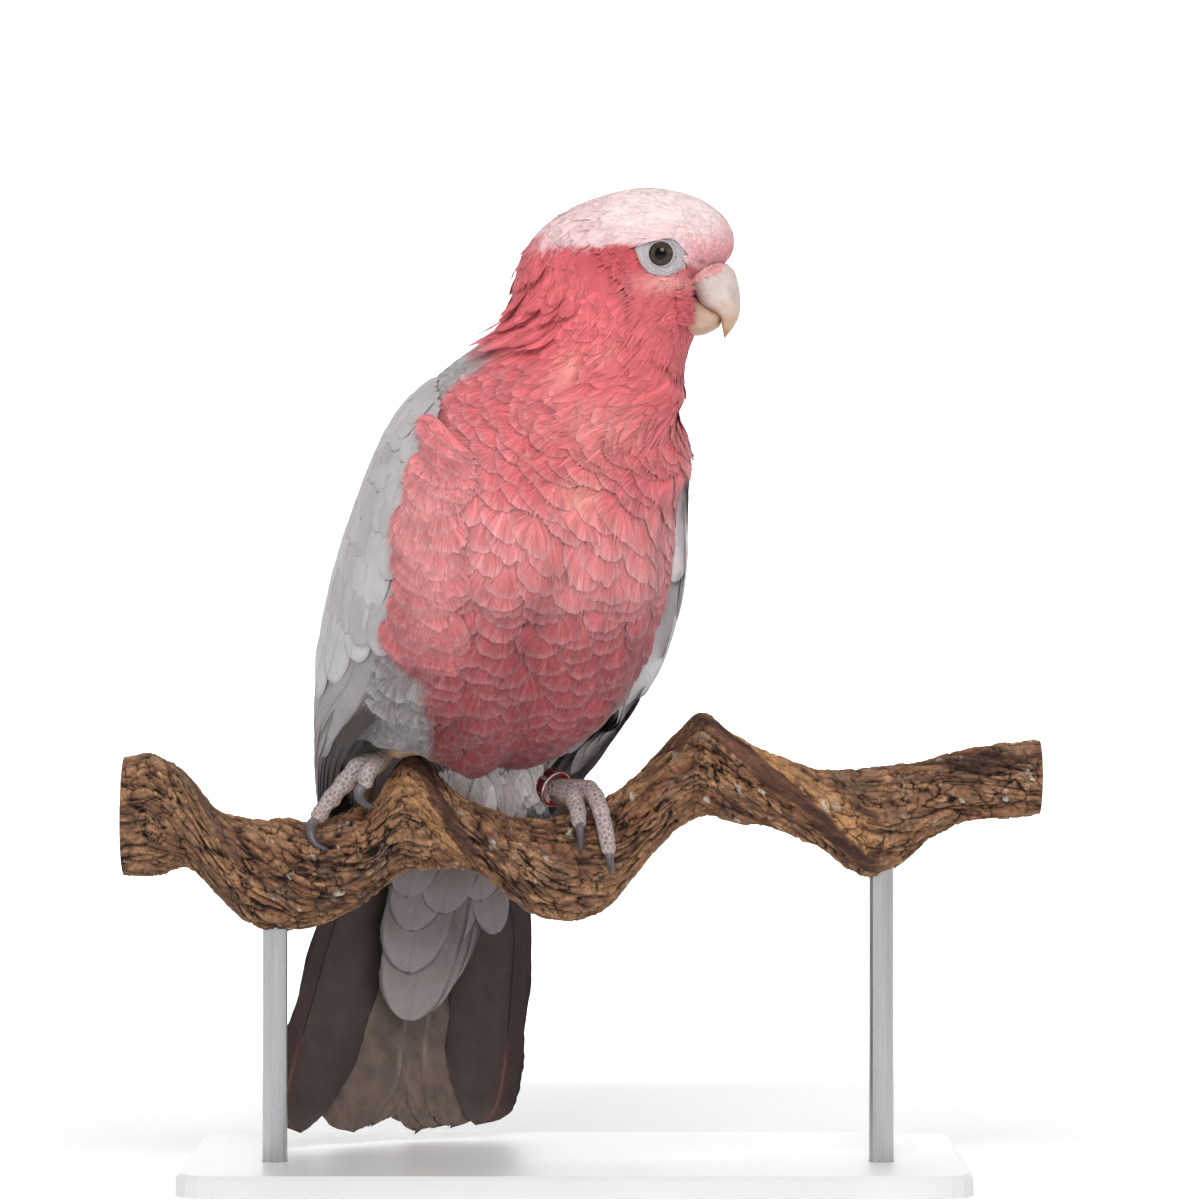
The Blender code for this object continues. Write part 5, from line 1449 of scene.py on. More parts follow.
# =====================================================================
#                               skin
# =====================================================================
M_SKIN = feather_material("skin under coat", rough=0.85, sheen=0.1)
M_COAT = feather_material("soft feathers", rough=0.82, sheen=0.18, noise_amt=0.05, streak=0.26, bump=0.45)
M_FACE = feather_material("silky face feathers", rough=0.8, sheen=0.15, noise_amt=0.04, streak=0.10, bump=0.2)


def build_skin():
    n, m = 220, 176
    s = np.concatenate([np.linspace(0, 2, 46), np.linspace(2, 18.9, n - 45)[1:]])
    th = np.linspace(-pi, pi, m, endpoint=False)
    S, T = np.meshgrid(s, th, indexing="ij")
    P, _ = skin_at(S, T)
    # painted shade: the skin is a tenth darker than the coat's colours, for the gaps between the feathers
    c = markings(P, S, T) * 0.90
    f, z = head_fz(P)
    gape = smooth(6.6, 8.4, f) * smooth(292.0, 286.0, z) * smooth(266.0, 270.0, z)
    c = mix(c, lin(150, 128, 128), gape)
    V = np.concatenate([P.reshape(-1, 3), P[0].mean(0)[None], P[-1].mean(0)[None]])
    q = grid_quads(n, m, wrap=True, flip=True)
    j = np.arange(m)
    N = n * m
    cap0 = np.stack([np.full(m, N), j, (j + 1) % m], -1)
    cap1 = np.stack([np.full(m, N + 1), (n - 1) * m + (j + 1) % m, (n - 1) * m + j], -1)
    col = np.concatenate([c.reshape(-1, 3), c[0].mean(0)[None], c[-1].mean(0)[None]])
    uv = np.stack([(T / (2 * pi)) % 1.0 * 0.98 + 0.01, S / 20.0 * 0.98 + 0.01], -1).reshape(-1, 2)
    uv = np.concatenate([uv, [[0.5, 0.0], [0.5, 1.0]]])
    if (np.cross(V[q[:, 1]] - V[q[:, 0]], V[q[:, 2]] - V[q[:, 0]])
            * (V[q[:, 0]] - P.mean((0, 1)))).sum() < 0:
        q, cap0, cap1 = q[:, ::-1], cap0[:, ::-1], cap1[:, ::-1]
    return V, q, np.concatenate([cap0, cap1]), col, uv


_V, _q, _t, _c, _uv = build_skin()


def whole_skin():
    """Body and both legs as one skin."""
    V, col = [_V], [_c]
    quads, uvs = [_q], [_uv[_q].reshape(-1, 2)]
    base = len(_V)
    count = [len(_q)]
    for side in ("right", "left"):
        v, f, c, luv = LEGS[side]
        V.append(v)
        col.append(c)
        quads.append(f + base)
        uvs.append(luv)
        count.append(len(f))
        base += len(v)
    F = [np.concatenate(quads), _t]
    idx = np.concatenate([np.zeros(count[0], int), np.ones(count[1] + count[2], int), np.zeros(len(_t), int)])
    luv = np.concatenate(uvs + [_uv[_t].reshape(-1, 2)])
    toes = [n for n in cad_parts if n.startswith("toe_")]
    return make("skin", np.concatenate(V), F, M_SKIN, np.concatenate(col), np.zeros((1, 2)),
                replaces=("head", "neck", "trunk", "thigh_right", "thigh_left", "tarsus_right", "tarsus_left", *toes),
                mats=(M_SKIN, M_SCALES), mat_index=idx, loop_uv=luv)


skin = whole_skin()
SKIN_TREE = BVHTree.FromPolygons([tuple(v) for v in _V], [tuple(int(i) for i in f) for f in _q], all_triangles=False)

# ------------------------------------------------------- bare skin round the eye
FH, LH = heading(HEAD_YAW)
FH, LH = np.array(FH, float), np.array(LH, float)
UP = np.array([0, 0, 1.0])
# the outline of the bare oval, millimetres from the eye's centre by angle
# (0 towards the bill, 90 up, 180 back)
OVAL = np.array([(-180, 7.4), (-150, 6.6), (-120, 6.9), (-90, 7.0), (-60, 7.5), (-30, 8.0), (0, 7.9), (30, 6.6),
                 (60, 5.6), (90, 5.3), (120, 5.7), (150, 7.0), (165, 8.6), (180, 7.4)])
OVAL[:, 1] += np.interp(OVAL[:, 0], [-180, -120, -60, 0, 60, 120, 180], [0.3, 0.3, 0.5, 0.8, 0.9, 0.7, 0.3])


def oval(phi):
    d = np.degrees((np.asarray(phi) + pi) % (2 * pi) - pi)
    return spline(OVAL[:, 0], OVAL[:, 1:], d)[..., 0]


def in_oval(P, grow_by=0.0):
    """Whether points lie on the bare oval of either side."""
    f, z = head_fz(P)
    side = (P[..., 0] - HEAD_ORG[0]) * LH[0] + (P[..., 1] - HEAD_ORG[1]) * LH[1]
    df, dz = f - EYE_AT[0], z - EYE_AT[1]
    return (np.hypot(df, dz) < oval(np.arctan2(dz, df)) + grow_by) & (np.abs(side) > 9)


def inside(poly, f, z):
    """Even-odd test of head-plane points against a closed outline."""
    poly = np.asarray(poly, float)
    x0, y0 = poly[:, 0], poly[:, 1]
    x1, y1 = np.roll(x0, -1), np.roll(y0, -1)
    hit = np.zeros(np.shape(f), bool)
    for a, b, c, d in zip(x0, y0, x1, y1):
        if b == d:
            continue
        cr = ((b > z) != (d > z)) & (f < (c - a) * (z - b) / (d - b) + a)
        hit ^= cr
    return hit


_ub = np.array(UPPER_BILL)
BILL_BARE = [np.concatenate([[(9.0, 284.6), (13.0, 285.4), (16.5, 286.4), (19.5, 289.2), (22.5, 293.0), (30.0, 293.0), (30.0, 262.0), (18.0, 262.0)],
                             [(11.6, 267.6), (10.2, 269.6), (9.7, 272.5), (9.6, 276.0), (9.4, 280.0), (8.0, 283.0)]])]


def in_bill(P):
    """Whether points are on the bill's own ground."""
    f, z = head_fz(P)
    return inside(BILL_BARE[0], f, z)


# ------------------------------------------------------------------- coat
GAPS = np.array([(0.0, 0.66), (1.0, 0.70), (2.0, 0.78), (3.5, 0.95), (5.0, 1.25), (5.21, 2.1), (5.8, 2.4), (7.0, 3.1), (9.0, 4.6), (11.0, 6.4),
                 (13.0, 7.4), (15.0, 7.6), (20.0, 7.4)])


def gap(s, th):
    g = spline(GAPS[:, 0], GAPS[:, 1:], s)[..., 0]
    g = np.where(s < 8.0, g, np.interp(s, [8.0, 9.0, 10.0, 11.0, 13.0, 15.0, 20.0], [5.0, 6.8, 8.4, 9.4, 10.0, 10.0, 9.4]))
    c = np.cos(th)
    crest = smooth(0.1, -0.5, c) * smooth(1.6, 3.0, s) * (1 - smooth(5.6, 6.8, s))
    return g * (1 + 0.25 * crest)


def under_wing(s, th, margin=5.0):
    f, r, _ = wing_edges(np.clip(s, 10.35, 21.85))
    t = (th + pi) % (2 * pi) - pi
    a = np.abs(t)
    m = np.where(t > 0, margin - 16.0 * smooth(11.2, 12.4, s), margin + 14.0 * smooth(13.3, 14.0, s))
    return (s > 10.75) & (s < 17.9) & (a > f + np.radians(m)) & (a < r - np.radians(margin))


def keep_roots(s, th):
    P = body(s, th)
    return ~(in_oval(P, -0.6) | in_bill(P) | under_wing(s, th))


_a = spread(0.03, 5.2, gap, 3, keep_roots, slim=0.52, tries=10)
_b = spread(5.2, 8.0, gap, 4, keep_roots, slim=1.75)
_d = spread(8.0, 18.2, gap, 5, keep_roots, slim=3.5, tries=14)
ROOT_S, ROOT_T = np.concatenate([_a[0], _b[0], _d[0]]), np.concatenate([_a[1], _b[1], _d[1]])
print("ROOTS", len(ROOT_S))


def fit_lengths(s, th, L):
    """Shorten what would reach over the eye's bare oval."""
    P0, n0, ps, pt = frame_at(s, th)
    g = lie(s, th, n0, ps, pt, P0)
    out = L.copy()
    for q in np.linspace(1.0, 0.1, 10):
        P = P0 + g * (L * q)[:, None]
        hit = in_oval(P, -0.15)
        out = np.where(hit, np.minimum(out, L * (q - 0.09)), out)
    return out


def body_extra(S, T):
    """Extra rise where the breast's edge feathers lie over the wing."""
    a = np.abs((T + pi) % (2 * pi) - pi)
    f, r, _ = wing_edges(np.clip(S, 10.35, 21.85))
    near = smooth(f - np.radians(14), f - np.radians(2), a) * (1 - smooth(f + np.radians(8), f + np.radians(20), a))
    back = smooth(r - np.radians(16), r - np.radians(4), a)
    near = near * np.where((T + pi) % (2 * pi) - pi > 0, 1 - 0.8 * smooth(11.0, 12.0, S), 1.0)
    return 2.3 * near * smooth(10.3, 10.9, S) * (1 - smooth(15.2, 16.2, S)) + 1.2 * back * smooth(10.2, 11, S) * (1 - smooth(16, 17, S))


def coat_class(name, lo, hi, Lk, Wk, m, k, part=None, **kw):
    sel = (ROOT_S >= lo) & (ROOT_S < hi)
    if part is not None:
        sel &= part(ROOT_S, ROOT_T)
    s, th = ROOT_S[sel], ROOT_T[sel]
    g = gap(s, th)
    L = fit_lengths(s, th, g * Lk)
    ok = L > 1.0
    s, th, L, g = s[ok], th[ok], L[ok], g[ok]
    return grow(name, s, th, L, g * Wk, m, k, kw.pop("mat", M_COAT), slot=kw.pop("slot", "rose_feathers"), **kw)


front = lambda s, th: np.cos(th) > -0.15
coat_class("coat_face", 0.0, 2.2, 7.4, 3.6, 5, 4, seed=21, slot="crown_feathers", shaft=0, tip_mix=0.05, root_mix=0.0,
           up=0.0, spikes=6, spike=1.4, rough=0.008, power=0.26, cup=0.015, edge_dark=0.0, tone_amt=0.025, mat=M_FACE, yaw=0.12,
           belly=0.62)
coat_class("coat_head", 2.2, 5.2, 7.6, 3.6, 5, 4, seed=22, slot="crown_feathers", shaft=0.0, tip_mix=0.08,
           root_mix=0.0, up=0.0, spikes=8, spike=2.0, rough=0.008, power=0.26, cup=0.015, edge_dark=0.0, tone_amt=0.025, mat=M_FACE,
           yaw=0.11, belly=0.62)
coat_class("coat_nape", 5.2, 8.0, 3.9, 2.5, 11, 5, seed=23, shaft=0.10, tip_mix=0.18, spikes=40, spike=1.8, power=0.32,
           edge_dark=0.05, yaw=0.08, strand=0.45, rough=0.03, cup=0.06)
coat_class("coat_neck", 8.0, 10.6, 2.05, 1.55, 19, 5, seed=24, tip_mix=0.45, extra=body_extra, spikes=84, spike=2.2,
           power=0.46, strand=0.45, edge_dark=0.10, rough=0.03, cup=0.02, belly=0.70, wrap=112.0, fringe=0.02)
coat_class("coat_breast", 10.6, 12.4, 1.90, 1.50, 21, 5, part=front, seed=25, extra=body_extra, spikes=104, spike=2.8,
           tip_mix=0.55, power=0.50, strand=0.40, edge_dark=0.16, rough=0.035, cup=0.02, belly=0.72, wrap=110.0, fringe=0.02)
coat_class("coat_belly", 12.4, 15.0, 1.90, 1.50, 21, 5, part=front, seed=26, extra=body_extra, spikes=110, spike=4.0,
           tip_mix=0.60, power=0.56, strand=0.32, edge_dark=0.22, rough=0.05, cup=0.02, belly=0.72, wrap=110.0, fringe=0.02)
coat_class("coat_vent", 15.0, 18.3, 1.95, 1.50, 21, 5, part=front, seed=27, spikes=110, spike=4.6, tip_mix=0.60,
           power=0.60, strand=0.30, edge_dark=0.24, rough=0.06, cup=0.03, belly=0.72, wrap=110.0, fringe=0.02)
coat_class("coat_back", 10.6, 18.3, 1.85, 1.40, 15, 5, part=lambda s, th: ~front(s, th), seed=28, extra=body_extra,
           slot="grey_feathers", tip_mix=0.2, spikes=44, spike=1.6, power=0.38, strand=0.5)


def crest():
    """Long white feathers laid back over the crown."""
    rng = np.random.default_rng(91)
    rows = [(1.35, 5, 0.75, 13.0), (1.9, 6, 0.85, 17.0), (2.5, 7, 0.95, 21.0), (3.1, 7, 0.95, 24.0), (3.9, 6, 1.05, 22.0)]
    S0, T0, L0 = [], [], []
    for s0, cnt, half, ln in rows:
        t = np.linspace(-half, half, cnt) + rng.normal(0, 0.03, cnt)
        S0.append(s0 + rng.normal(0, 0.05, cnt))
        T0.append(pi + t)
        L0.append(ln * (1 - 0.25 * (t / half) ** 2) * rng.uniform(0.9, 1.1, cnt))
    S0, T0, L0 = map(np.concatenate, (S0, T0, L0))
    T0 = (T0 + pi) % (2 * pi) - pi

    def colour(P, s, th):
        return mix(markings(P, s, th), C["cap"], 0.6)
    grow("crest_feathers", S0, T0, L0, np.full(len(S0), 7.2), 13, 7, M_FACE, seed=92, slot="crown_feathers",
         spikes=40, spike=2.2, rough=0.02, power=0.22, cup=0.02, shaft=0.06, tip_mix=0.35, tip_col=lin(236, 200, 202),
         root_mix=0.0, reach=0.30, belly=0.72, edge_dark=0.0, up=np.full(len(S0), 0.05), base_col=colour, wrap=122.0,
         strand=0.4)


crest()


def nape_ruff():
    """Loose pointed feathers that stand away from the nape."""
    rng = np.random.default_rng(291)
    N = 84
    s = rng.uniform(6.1, 8.5, N)
    th = (pi + np.radians(rng.uniform(-30, 74, N)) + pi) % (2 * pi) - pi
    grow("nape_ruff", s, th, rng.uniform(11.0, 15.0, N), rng.uniform(4.4, 6.4, N), 9, 5, M_COAT, seed=292, spikes=24,
         spike=2.6, power=0.40, cup=0.05, shaft=0.1, tip_mix=0.35, tip_col=lin(170, 84, 88), root_mix=0.0, edge_dark=0.08,
         up=rng.uniform(0.2, 3.9, N) * smooth(5.9, 6.9, s), yaw=0.14, strand=0.3, wrap=104.0, belly=0.5, slot="rose_feathers")


nape_ruff()


def vent_fluff():
    """Loose pale down that hangs below the belly, before the tail."""
    rng = np.random.default_rng(193)
    N = 190
    x = rng.uniform(-50.0, -19.0, N)
    z = 133.5 + 0.10 * (x + 34.0) + rng.uniform(-4.0, 2.5, N)
    y = -1.0 + 0.32 * (x + 34.0) + rng.uniform(-1.5, 4.0, N)
    P0 = np.stack([x, y, z], -1)
    d = unit(np.stack([0.10 * (x + 34.0) / 12.0 + rng.normal(0, 0.16, N) - 0.12, 0.30 + rng.normal(0, 0.08, N),
                       -1.0 + 0 * x], -1))
    n0 = unit(np.array([0.0, -1.0, -0.25]) - (d * np.array([0.0, -1.0, -0.25])).sum(-1, keepdims=True) * d)
    b = np.cross(n0, d)
    L = rng.uniform(10.0, 17.0, N)
    W = rng.uniform(4.0, 6.5, N)
    curl = rng.normal(0, 0.010, N)

    def surf(idx, l, w, rise, hh, pl):
        q = P0[idx, None, None] + d[idx, None, None] * l[..., None]
        q = q + b[idx, None, None] * (w + curl[idx, None, None] * l**2)[..., None]
        return q + n0[idx, None, None] * (0.8 * rise + hh - 0.03 * w**2)[..., None], None

    def colour(p, aux, idx, pl, pw):
        t = 0.5 + 0.5 * fbm(p, 5.0, 2, 66)
        k = _hash(idx, idx, idx, 9)[:, None, None] + 0 * pl
        return mix(lin(178, 166, 166), lin(222, 216, 215), np.clip(0.2 + 0.5 * t + 0.5 * (k - 0.3), 0, 1))
    uv = (np.clip((x + 60) / 60, 0, 1), np.clip((z - 120) / 30, 0, 1))
    soft("vent_down", surf, colour, N, L, W, 9, 5, M_COAT, uv, seed=194, spikes=44, spike=2.6, cup=0.0, shaft=0,
         slot="grey_feathers", tip_mix=0.2, tip_col=lin(232, 228, 227), root_mix=0.0, edge_dark=0.06, tone_amt=0.06,
         rough=0.10, strand=0.2)


vent_fluff()


def lores():
    """Short bristly feathers in front of the eye, down over the bill's base."""
    rng = np.random.default_rng(95)
    n, m = 60, 96
    th = np.linspace(0, 2 * pi, m, endpoint=False)
    R = bill_rings(UPPER_BILL, n, th)
    mid = R.mean(1, keepdims=True)
    N = unit(R - mid)
    f, z = head_fz(R)
    edge = np.interp(f, [4.0, 8.0, 13.0, 16.5, 19.5, 21.6, 23.0], [286.2, 286.0, 286.4, 287.4, 289.8, 292.0, 293.6])
    ok = (z > edge + 1.0) & (z < edge + 6.5) & (f < 23.2)
    P, N = R[ok], N[ok]
    pick = scatter(P, np.full(len(P), 0.62), 97)
    P, N = P[pick], N[pick]
    cnt = len(P)
    f, z = head_fz(P)
    d = FH * 0.45 + UP * -0.9
    d = d + FH * rng.normal(0, 0.28, cnt)[:, None] + UP * rng.normal(0, 0.1, cnt)[:, None]
    d = unit(d - (d * N).sum(-1, keepdims=True) * N)
    b = np.cross(N, d)
    L = rng.uniform(1.9, 2.4, cnt)
    W = rng.uniform(1.1, 1.6, cnt)
    # the pad is thicker away from its lower edge
    rise0 = 0.55 + 0.9 * smooth(0.8, 5.0, z - np.interp(f, [4, 8, 13, 16.5, 19.5, 21.6, 23], [286.2, 286, 286.4, 287.4, 289.8, 292, 293.6]))

    def surf(idx, l, w, rise, hh, pl):
        q = P[idx, None, None] + d[idx, None, None] * l[..., None] + b[idx, None, None] * w[..., None]
        drop = 0.012 * l**2 + 0.035 * w**2
        h = rise0[idx, None, None] * (1 - 0.35 * np.clip(pl, 0, 1)) + 0.30 * rise - drop + hh
        return q + N[idx, None, None] * h[..., None], None

    def colour(p, aux, idx, pl, pw):
        t = 0.5 + 0.5 * fbm(p, 3.0, 2, 61)
        k = _hash(idx, idx, idx, 5)[:, None, None] + 0 * pl
        c = mix(lin(214, 142, 146), lin(230, 184, 184), np.clip(t * 0.7 + 0.5 * (k - 0.4), 0, 1))
        c = mix(c, lin(190, 70, 78), 0.55 * (k > 0.80) * (pl < 0.5))
        pf, pz = head_fz(p)
        return mix(c, lin(84, 46, 48), 0.85 * np.exp(-((pf - 13.6) / 0.9) ** 2 - ((pz - 291.3) / 0.6) ** 2))
    uv = (np.clip(f / 30, 0, 1), np.clip((z - 280) / 20, 0, 1))
    soft("lore_feathers", surf, colour, cnt, L, W, 5, 3, M_FACE, uv, seed=98, spikes=6, spike=0.7, cup=0.0, shaft=0,
         slot="crown_feathers", tip_mix=0.15, root_mix=0.0, edge_dark=0.10, tone_amt=0.05, rough=0.03)


lores()

# ------------------------------------------------------------------- eyes
def eye_material():
    m = Nodes("eye")
    a = m.attr("Rad").outputs["Fac"]
    r = m.add("ShaderNodeValToRGB")
    cr = r.color_ramp
    stops = [(0.0, (0, 0, 0)), (0.43, (0, 0, 0)), (0.465, tuple(lin(40, 31, 24))), (0.62, tuple(lin(66, 54, 43))),
             (0.86, tuple(lin(60, 48, 39))), (0.95, tuple(lin(38, 30, 26))), (1.0, tuple(lin(24, 18, 17)))]
    while len(cr.elements) < len(stops):
        cr.elements.new(0.5)
    for e, (p, c) in zip(cr.elements, stops):
        e.position = p
        e.color = (*c, 1)
    m.link(a, r.inputs["Fac"])
    n = m.noise(m.coords(), 1500.0, 3.0)
    col = m.scale_col(r.outputs["Color"], m.remap(n, 0.3, 0.7, 0.8, 1.2))
    m.link(col, m.p.inputs["Base Color"])
    m.set(Roughness=0.45, Coat_Weight=1.0, Coat_Roughness=0.03)
    m.p.inputs["Specular IOR Level"].default_value = 0.05
    m.p.inputs["Coat IOR"].default_value = 1.30
    return m.mat


M_EYE = eye_material()
IRIS_R = 3.85
for name, side in (("right", -1), ("left", 1)):
    c = eye_centre(side)
    ax = LH * side
    e1 = FH
    n, m = 72, 96
    lat = np.concatenate([np.linspace(0, 0.9, 52), np.linspace(0.9, pi, n - 51)[1:]])
    lon = np.linspace(0, 2 * pi, m, endpoint=False)
    A, B = np.meshgrid(lat, lon, indexing="ij")
    R = EYE_R * (1 + 0.035 * np.exp(-(A / 0.55) ** 2))
    P = c + (ax * np.cos(A)[..., None] + e1 * (np.sin(A) * np.cos(B))[..., None] + UP * (np.sin(A) * np.sin(B))[..., None]) * R[..., None]
    rad = np.clip(EYE_R * np.sin(np.minimum(A, pi / 2)) / IRIS_R, 0, 1)
    q = grid_quads(n, m, wrap=True)
    if side > 0:
        q = q[:, ::-1]
    make("eye_%s_ball" % name, P, q, M_EYE, attrs={"Rad": rad.ravel()}, replaces=("eye_" + name,))


def lid_material():
    m = Nodes("bare eye skin")
    c = m.attr("Col").outputs["Color"]
    v = m.coords()
    n = m.noise(v, 700.0, 4.0)
    col = m.scale_col(c, m.remap(n, 0.3, 0.7, 0.90, 1.08))
    m.link(col, m.p.inputs["Base Color"])
    m.set(Roughness=0.55)
    m.p.inputs["Subsurface Weight"].default_value = 0.15
    m.p.inputs["Subsurface Radius"].default_value = (0.0015, 0.0008, 0.0006)
    m.link(m.bump(m.noise(v, 1400.0, 3.0), 0.35, 0.0002), m.p.inputs["Normal"])
    return m.mat


M_LID = lid_material()


def cast(f, z, side):
    """How far sideways the skin lies at a head place, or None."""
    o = np.array([HEAD_ORG[0], HEAD_ORG[1], 0.0]) + FH * f + UP * z + LH * side * 45.0
    hit = SKIN_TREE.ray_cast(Vector(o), Vector(-LH * side), 60.0)
    if hit[0] is None:
        return 12.0
    p = np.array(hit[0])
    return float(((p - np.array([HEAD_ORG[0], HEAD_ORG[1], 0.0])) * LH).sum() * side)


for name, side in (("right", -1), ("left", 1)):
    nr, nf = 52, 220
    phi = np.linspace(-pi, pi, nf, endpoint=False)
    q = np.linspace(0, 1, nr)
    r0 = 3.62
    Rout = oval(phi) + 0.5
    r = r0 + (Rout - r0)[None, :] * q[:, None] ** 1.15
    Fz = EYE_AT[0] + r * np.cos(phi)
    Z = EYE_AT[1] + r * np.sin(phi)
    lat_skin = np.array([[cast(Fz[i, j], Z[i, j], side) for j in range(0, nf, 2)] for i in range(0, nr, 3)])
    lat_skin = np.stack([np.interp(np.arange(nf), np.arange(0, nf + 1, 2), np.append(row, row[0])) for row in lat_skin])
    qs = q[::3]
    lat_skin = np.stack([np.interp(q, qs, lat_skin[:, j]) for j in range(nf)], 1)
    ball = EYE_SIDE + np.sqrt(np.maximum((EYE_R * 1.01) ** 2 - r**2, 0.0))
    ball = np.maximum(ball, EYE_SIDE + 1.2)
    t = smooth(0.10, 0.62, (r - r0) / (Rout - r0)[None, :])
    base = np.maximum(ball * (1 - t) + (lat_skin + 0.35) * t, lat_skin + 0.25)
    rr = r - r0
    base = mix(ball[..., None], base[..., None], smooth(0.05, 0.75, rr))[..., 0]
    # a rounded, beaded lid edge, then fine uneven creases round it
    rim = 0.30 * np.exp(-((rr - 0.42) / 0.30) ** 2) - 0.30 * np.exp(-(rr / 0.16) ** 2)
    P2 = np.stack([Fz, Z, np.zeros_like(Z)], -1)
    wob = 0.55 * noise(P2, 2.2, 3) + 0.3 * noise(P2, 0.9, 4)
    env = smooth(0.6, 1.3, rr) * (1 - smooth(0.80, 1.0, q)[:, None])
    folds = (0.055 * np.cos(2 * pi * (rr + wob) / 0.62) + 0.06 * np.cos(2 * pi * (rr + 1.4 * wob) / 1.35)) * env
    beads = 0.07 * np.cos(phi * 46)[None, :] * np.exp(-((rr - 0.80) / 0.24) ** 2)
    cells = fbm(P2, 0.50, 2, 8)
    fine = 0.05 * cells
    sink = -0.7 * smooth(0.80, 1.0, q)[:, None]
    lat = base + rim + folds + beads + fine + sink
    org = np.array([HEAD_ORG[0], HEAD_ORG[1], 0.0])
    P = org + FH * Fz[..., None] + UP * Z[..., None] + LH * side * lat[..., None]
    # painted shade and light: the bare skin darker in its creases and paler on its ridges and beads
    shade = np.clip(0.62 + 2.2 * folds + 1.6 * beads + 0.22 * cells, 0, 1)
    col = mix(lin(138, 130, 134), lin(196, 188, 191), shade)
    edge = np.exp(-(rr / 0.17) ** 2)
    col = mix(col, lin(74, 64, 66), edge * 0.80)
    rear = smooth(-3.0, -7.5, Fz - EYE_AT[0])
    col = mix(col, lin(198, 190, 188), 0.4 * rear)
    pink = smooth(0.66, 1.0, q)[:, None] * np.clip(0.4 + 0.8 * noise(P2, 1.3, 12), 0, 1)
    col = mix(col, lin(226, 168, 168), 0.6 * np.broadcast_to(pink, col.shape[:-1]))
    fq = grid_quads(nr, nf, wrap=True)
    if side < 0:
        fq = fq[:, ::-1]
    make("eyelids_%s" % name, P, fq, M_LID, col)


def gape_feathers(name, side, seed):
    """Short cheek feathers that close forward over the corner of the bill."""
    rng = np.random.default_rng(seed)
    N = 150
    f0, z0 = rng.uniform(5.2, 8.7, N), rng.uniform(272.5, 285.5, N)
    lat0 = np.array([cast(a, b, side) for a, b in zip(f0, z0)])
    L, W = rng.uniform(2.4, 3.3, N), rng.uniform(1.0, 1.5, N)
    tilt = rng.normal(-0.10, 0.20, N) - 0.25 * smooth(280.0, 270.0, z0)
    d = unit(FH + UP * tilt[:, None])
    b = unit(UP - (d * UP).sum(-1, keepdims=True) * d)
    org = np.array([HEAD_ORG[0], HEAD_ORG[1], 0.0])

    def surf(idx, l, w, rise, hh, pl):
        i = idx[:, None, None]
        fz = (FH * f0[i][..., None] + UP * z0[i][..., None]) + d[i] * l[..., None] + b[i] * w[..., None]
        lat = lat0[i] + 0.30 + 0.40 * rise + hh - 0.085 * l**2 - 0.10 * w**2
        return org + fz + LH * side * lat[..., None], None

    def colour(p, aux, idx, pl, pw):
        pf, pz = head_fz(p)
        n1 = fbm(p, 9.0, 3, 5)
        c = mix(C["cheek"], C["cheek_low"], smooth(296.0, 268.0, pz + 4 * n1))
        near = np.hypot((pf - 3.0) / 9.0, (pz - 284.5) / 3.0)
        return mix(c, C["pale_streak"], 0.5 * np.exp(-near**2))
    uv = (np.clip(f0 / 30, 0, 1), np.clip((z0 - 260) / 30, 0, 1))
    soft(name, surf, colour, N, L, W, 5, 4, M_FACE, uv, seed=seed, spikes=8, spike=0.9, cup=0.0, shaft=0,
         slot="rose_feathers", tip_mix=0.12, root_mix=0.0, edge_dark=0.05, tone_amt=0.05, rough=0.02, up=0.0)


gape_feathers("gape_feathers_right", -1, 701)
gape_feathers("gape_feathers_left", 1, 702)


# ------------------------------------------------------------------- bill
def horn_material(name, rough=0.42, bump=0.25, coat=0.0):
    m = Nodes(name)
    c = m.attr("Col").outputs["Color"]
    v = m.coords()
    n1 = m.noise(v, 420.0, 5.0, 0.6)
    n2 = m.noise(v, 1.0, 3.0, 0.6, (260.0, 260.0, 1300.0))
    col = m.scale_col(c, m.math("MULTIPLY", m.remap(n1, 0.3, 0.7, 0.93, 1.06), m.remap(n2, 0.3, 0.7, 0.96, 1.03)))
    m.link(col, m.p.inputs["Base Color"])
    rr = m.remap(n1, 0.3, 0.7, rough - 0.08, rough + 0.12)
    m.link(rr, m.p.inputs["Roughness"])
    m.p.inputs["Subsurface Weight"].default_value = 0.12
    m.p.inputs["Subsurface Radius"].default_value = (0.002, 0.0012, 0.0008)
    if coat:
        m.set(Coat_Weight=coat, Coat_Roughness=0.2)
    h = m.math("ADD", n1, m.math("MULTIPLY", n2, 0.6))
    m.link(m.bump(h, bump, 0.0002), m.p.inputs["Normal"])
    return m.mat


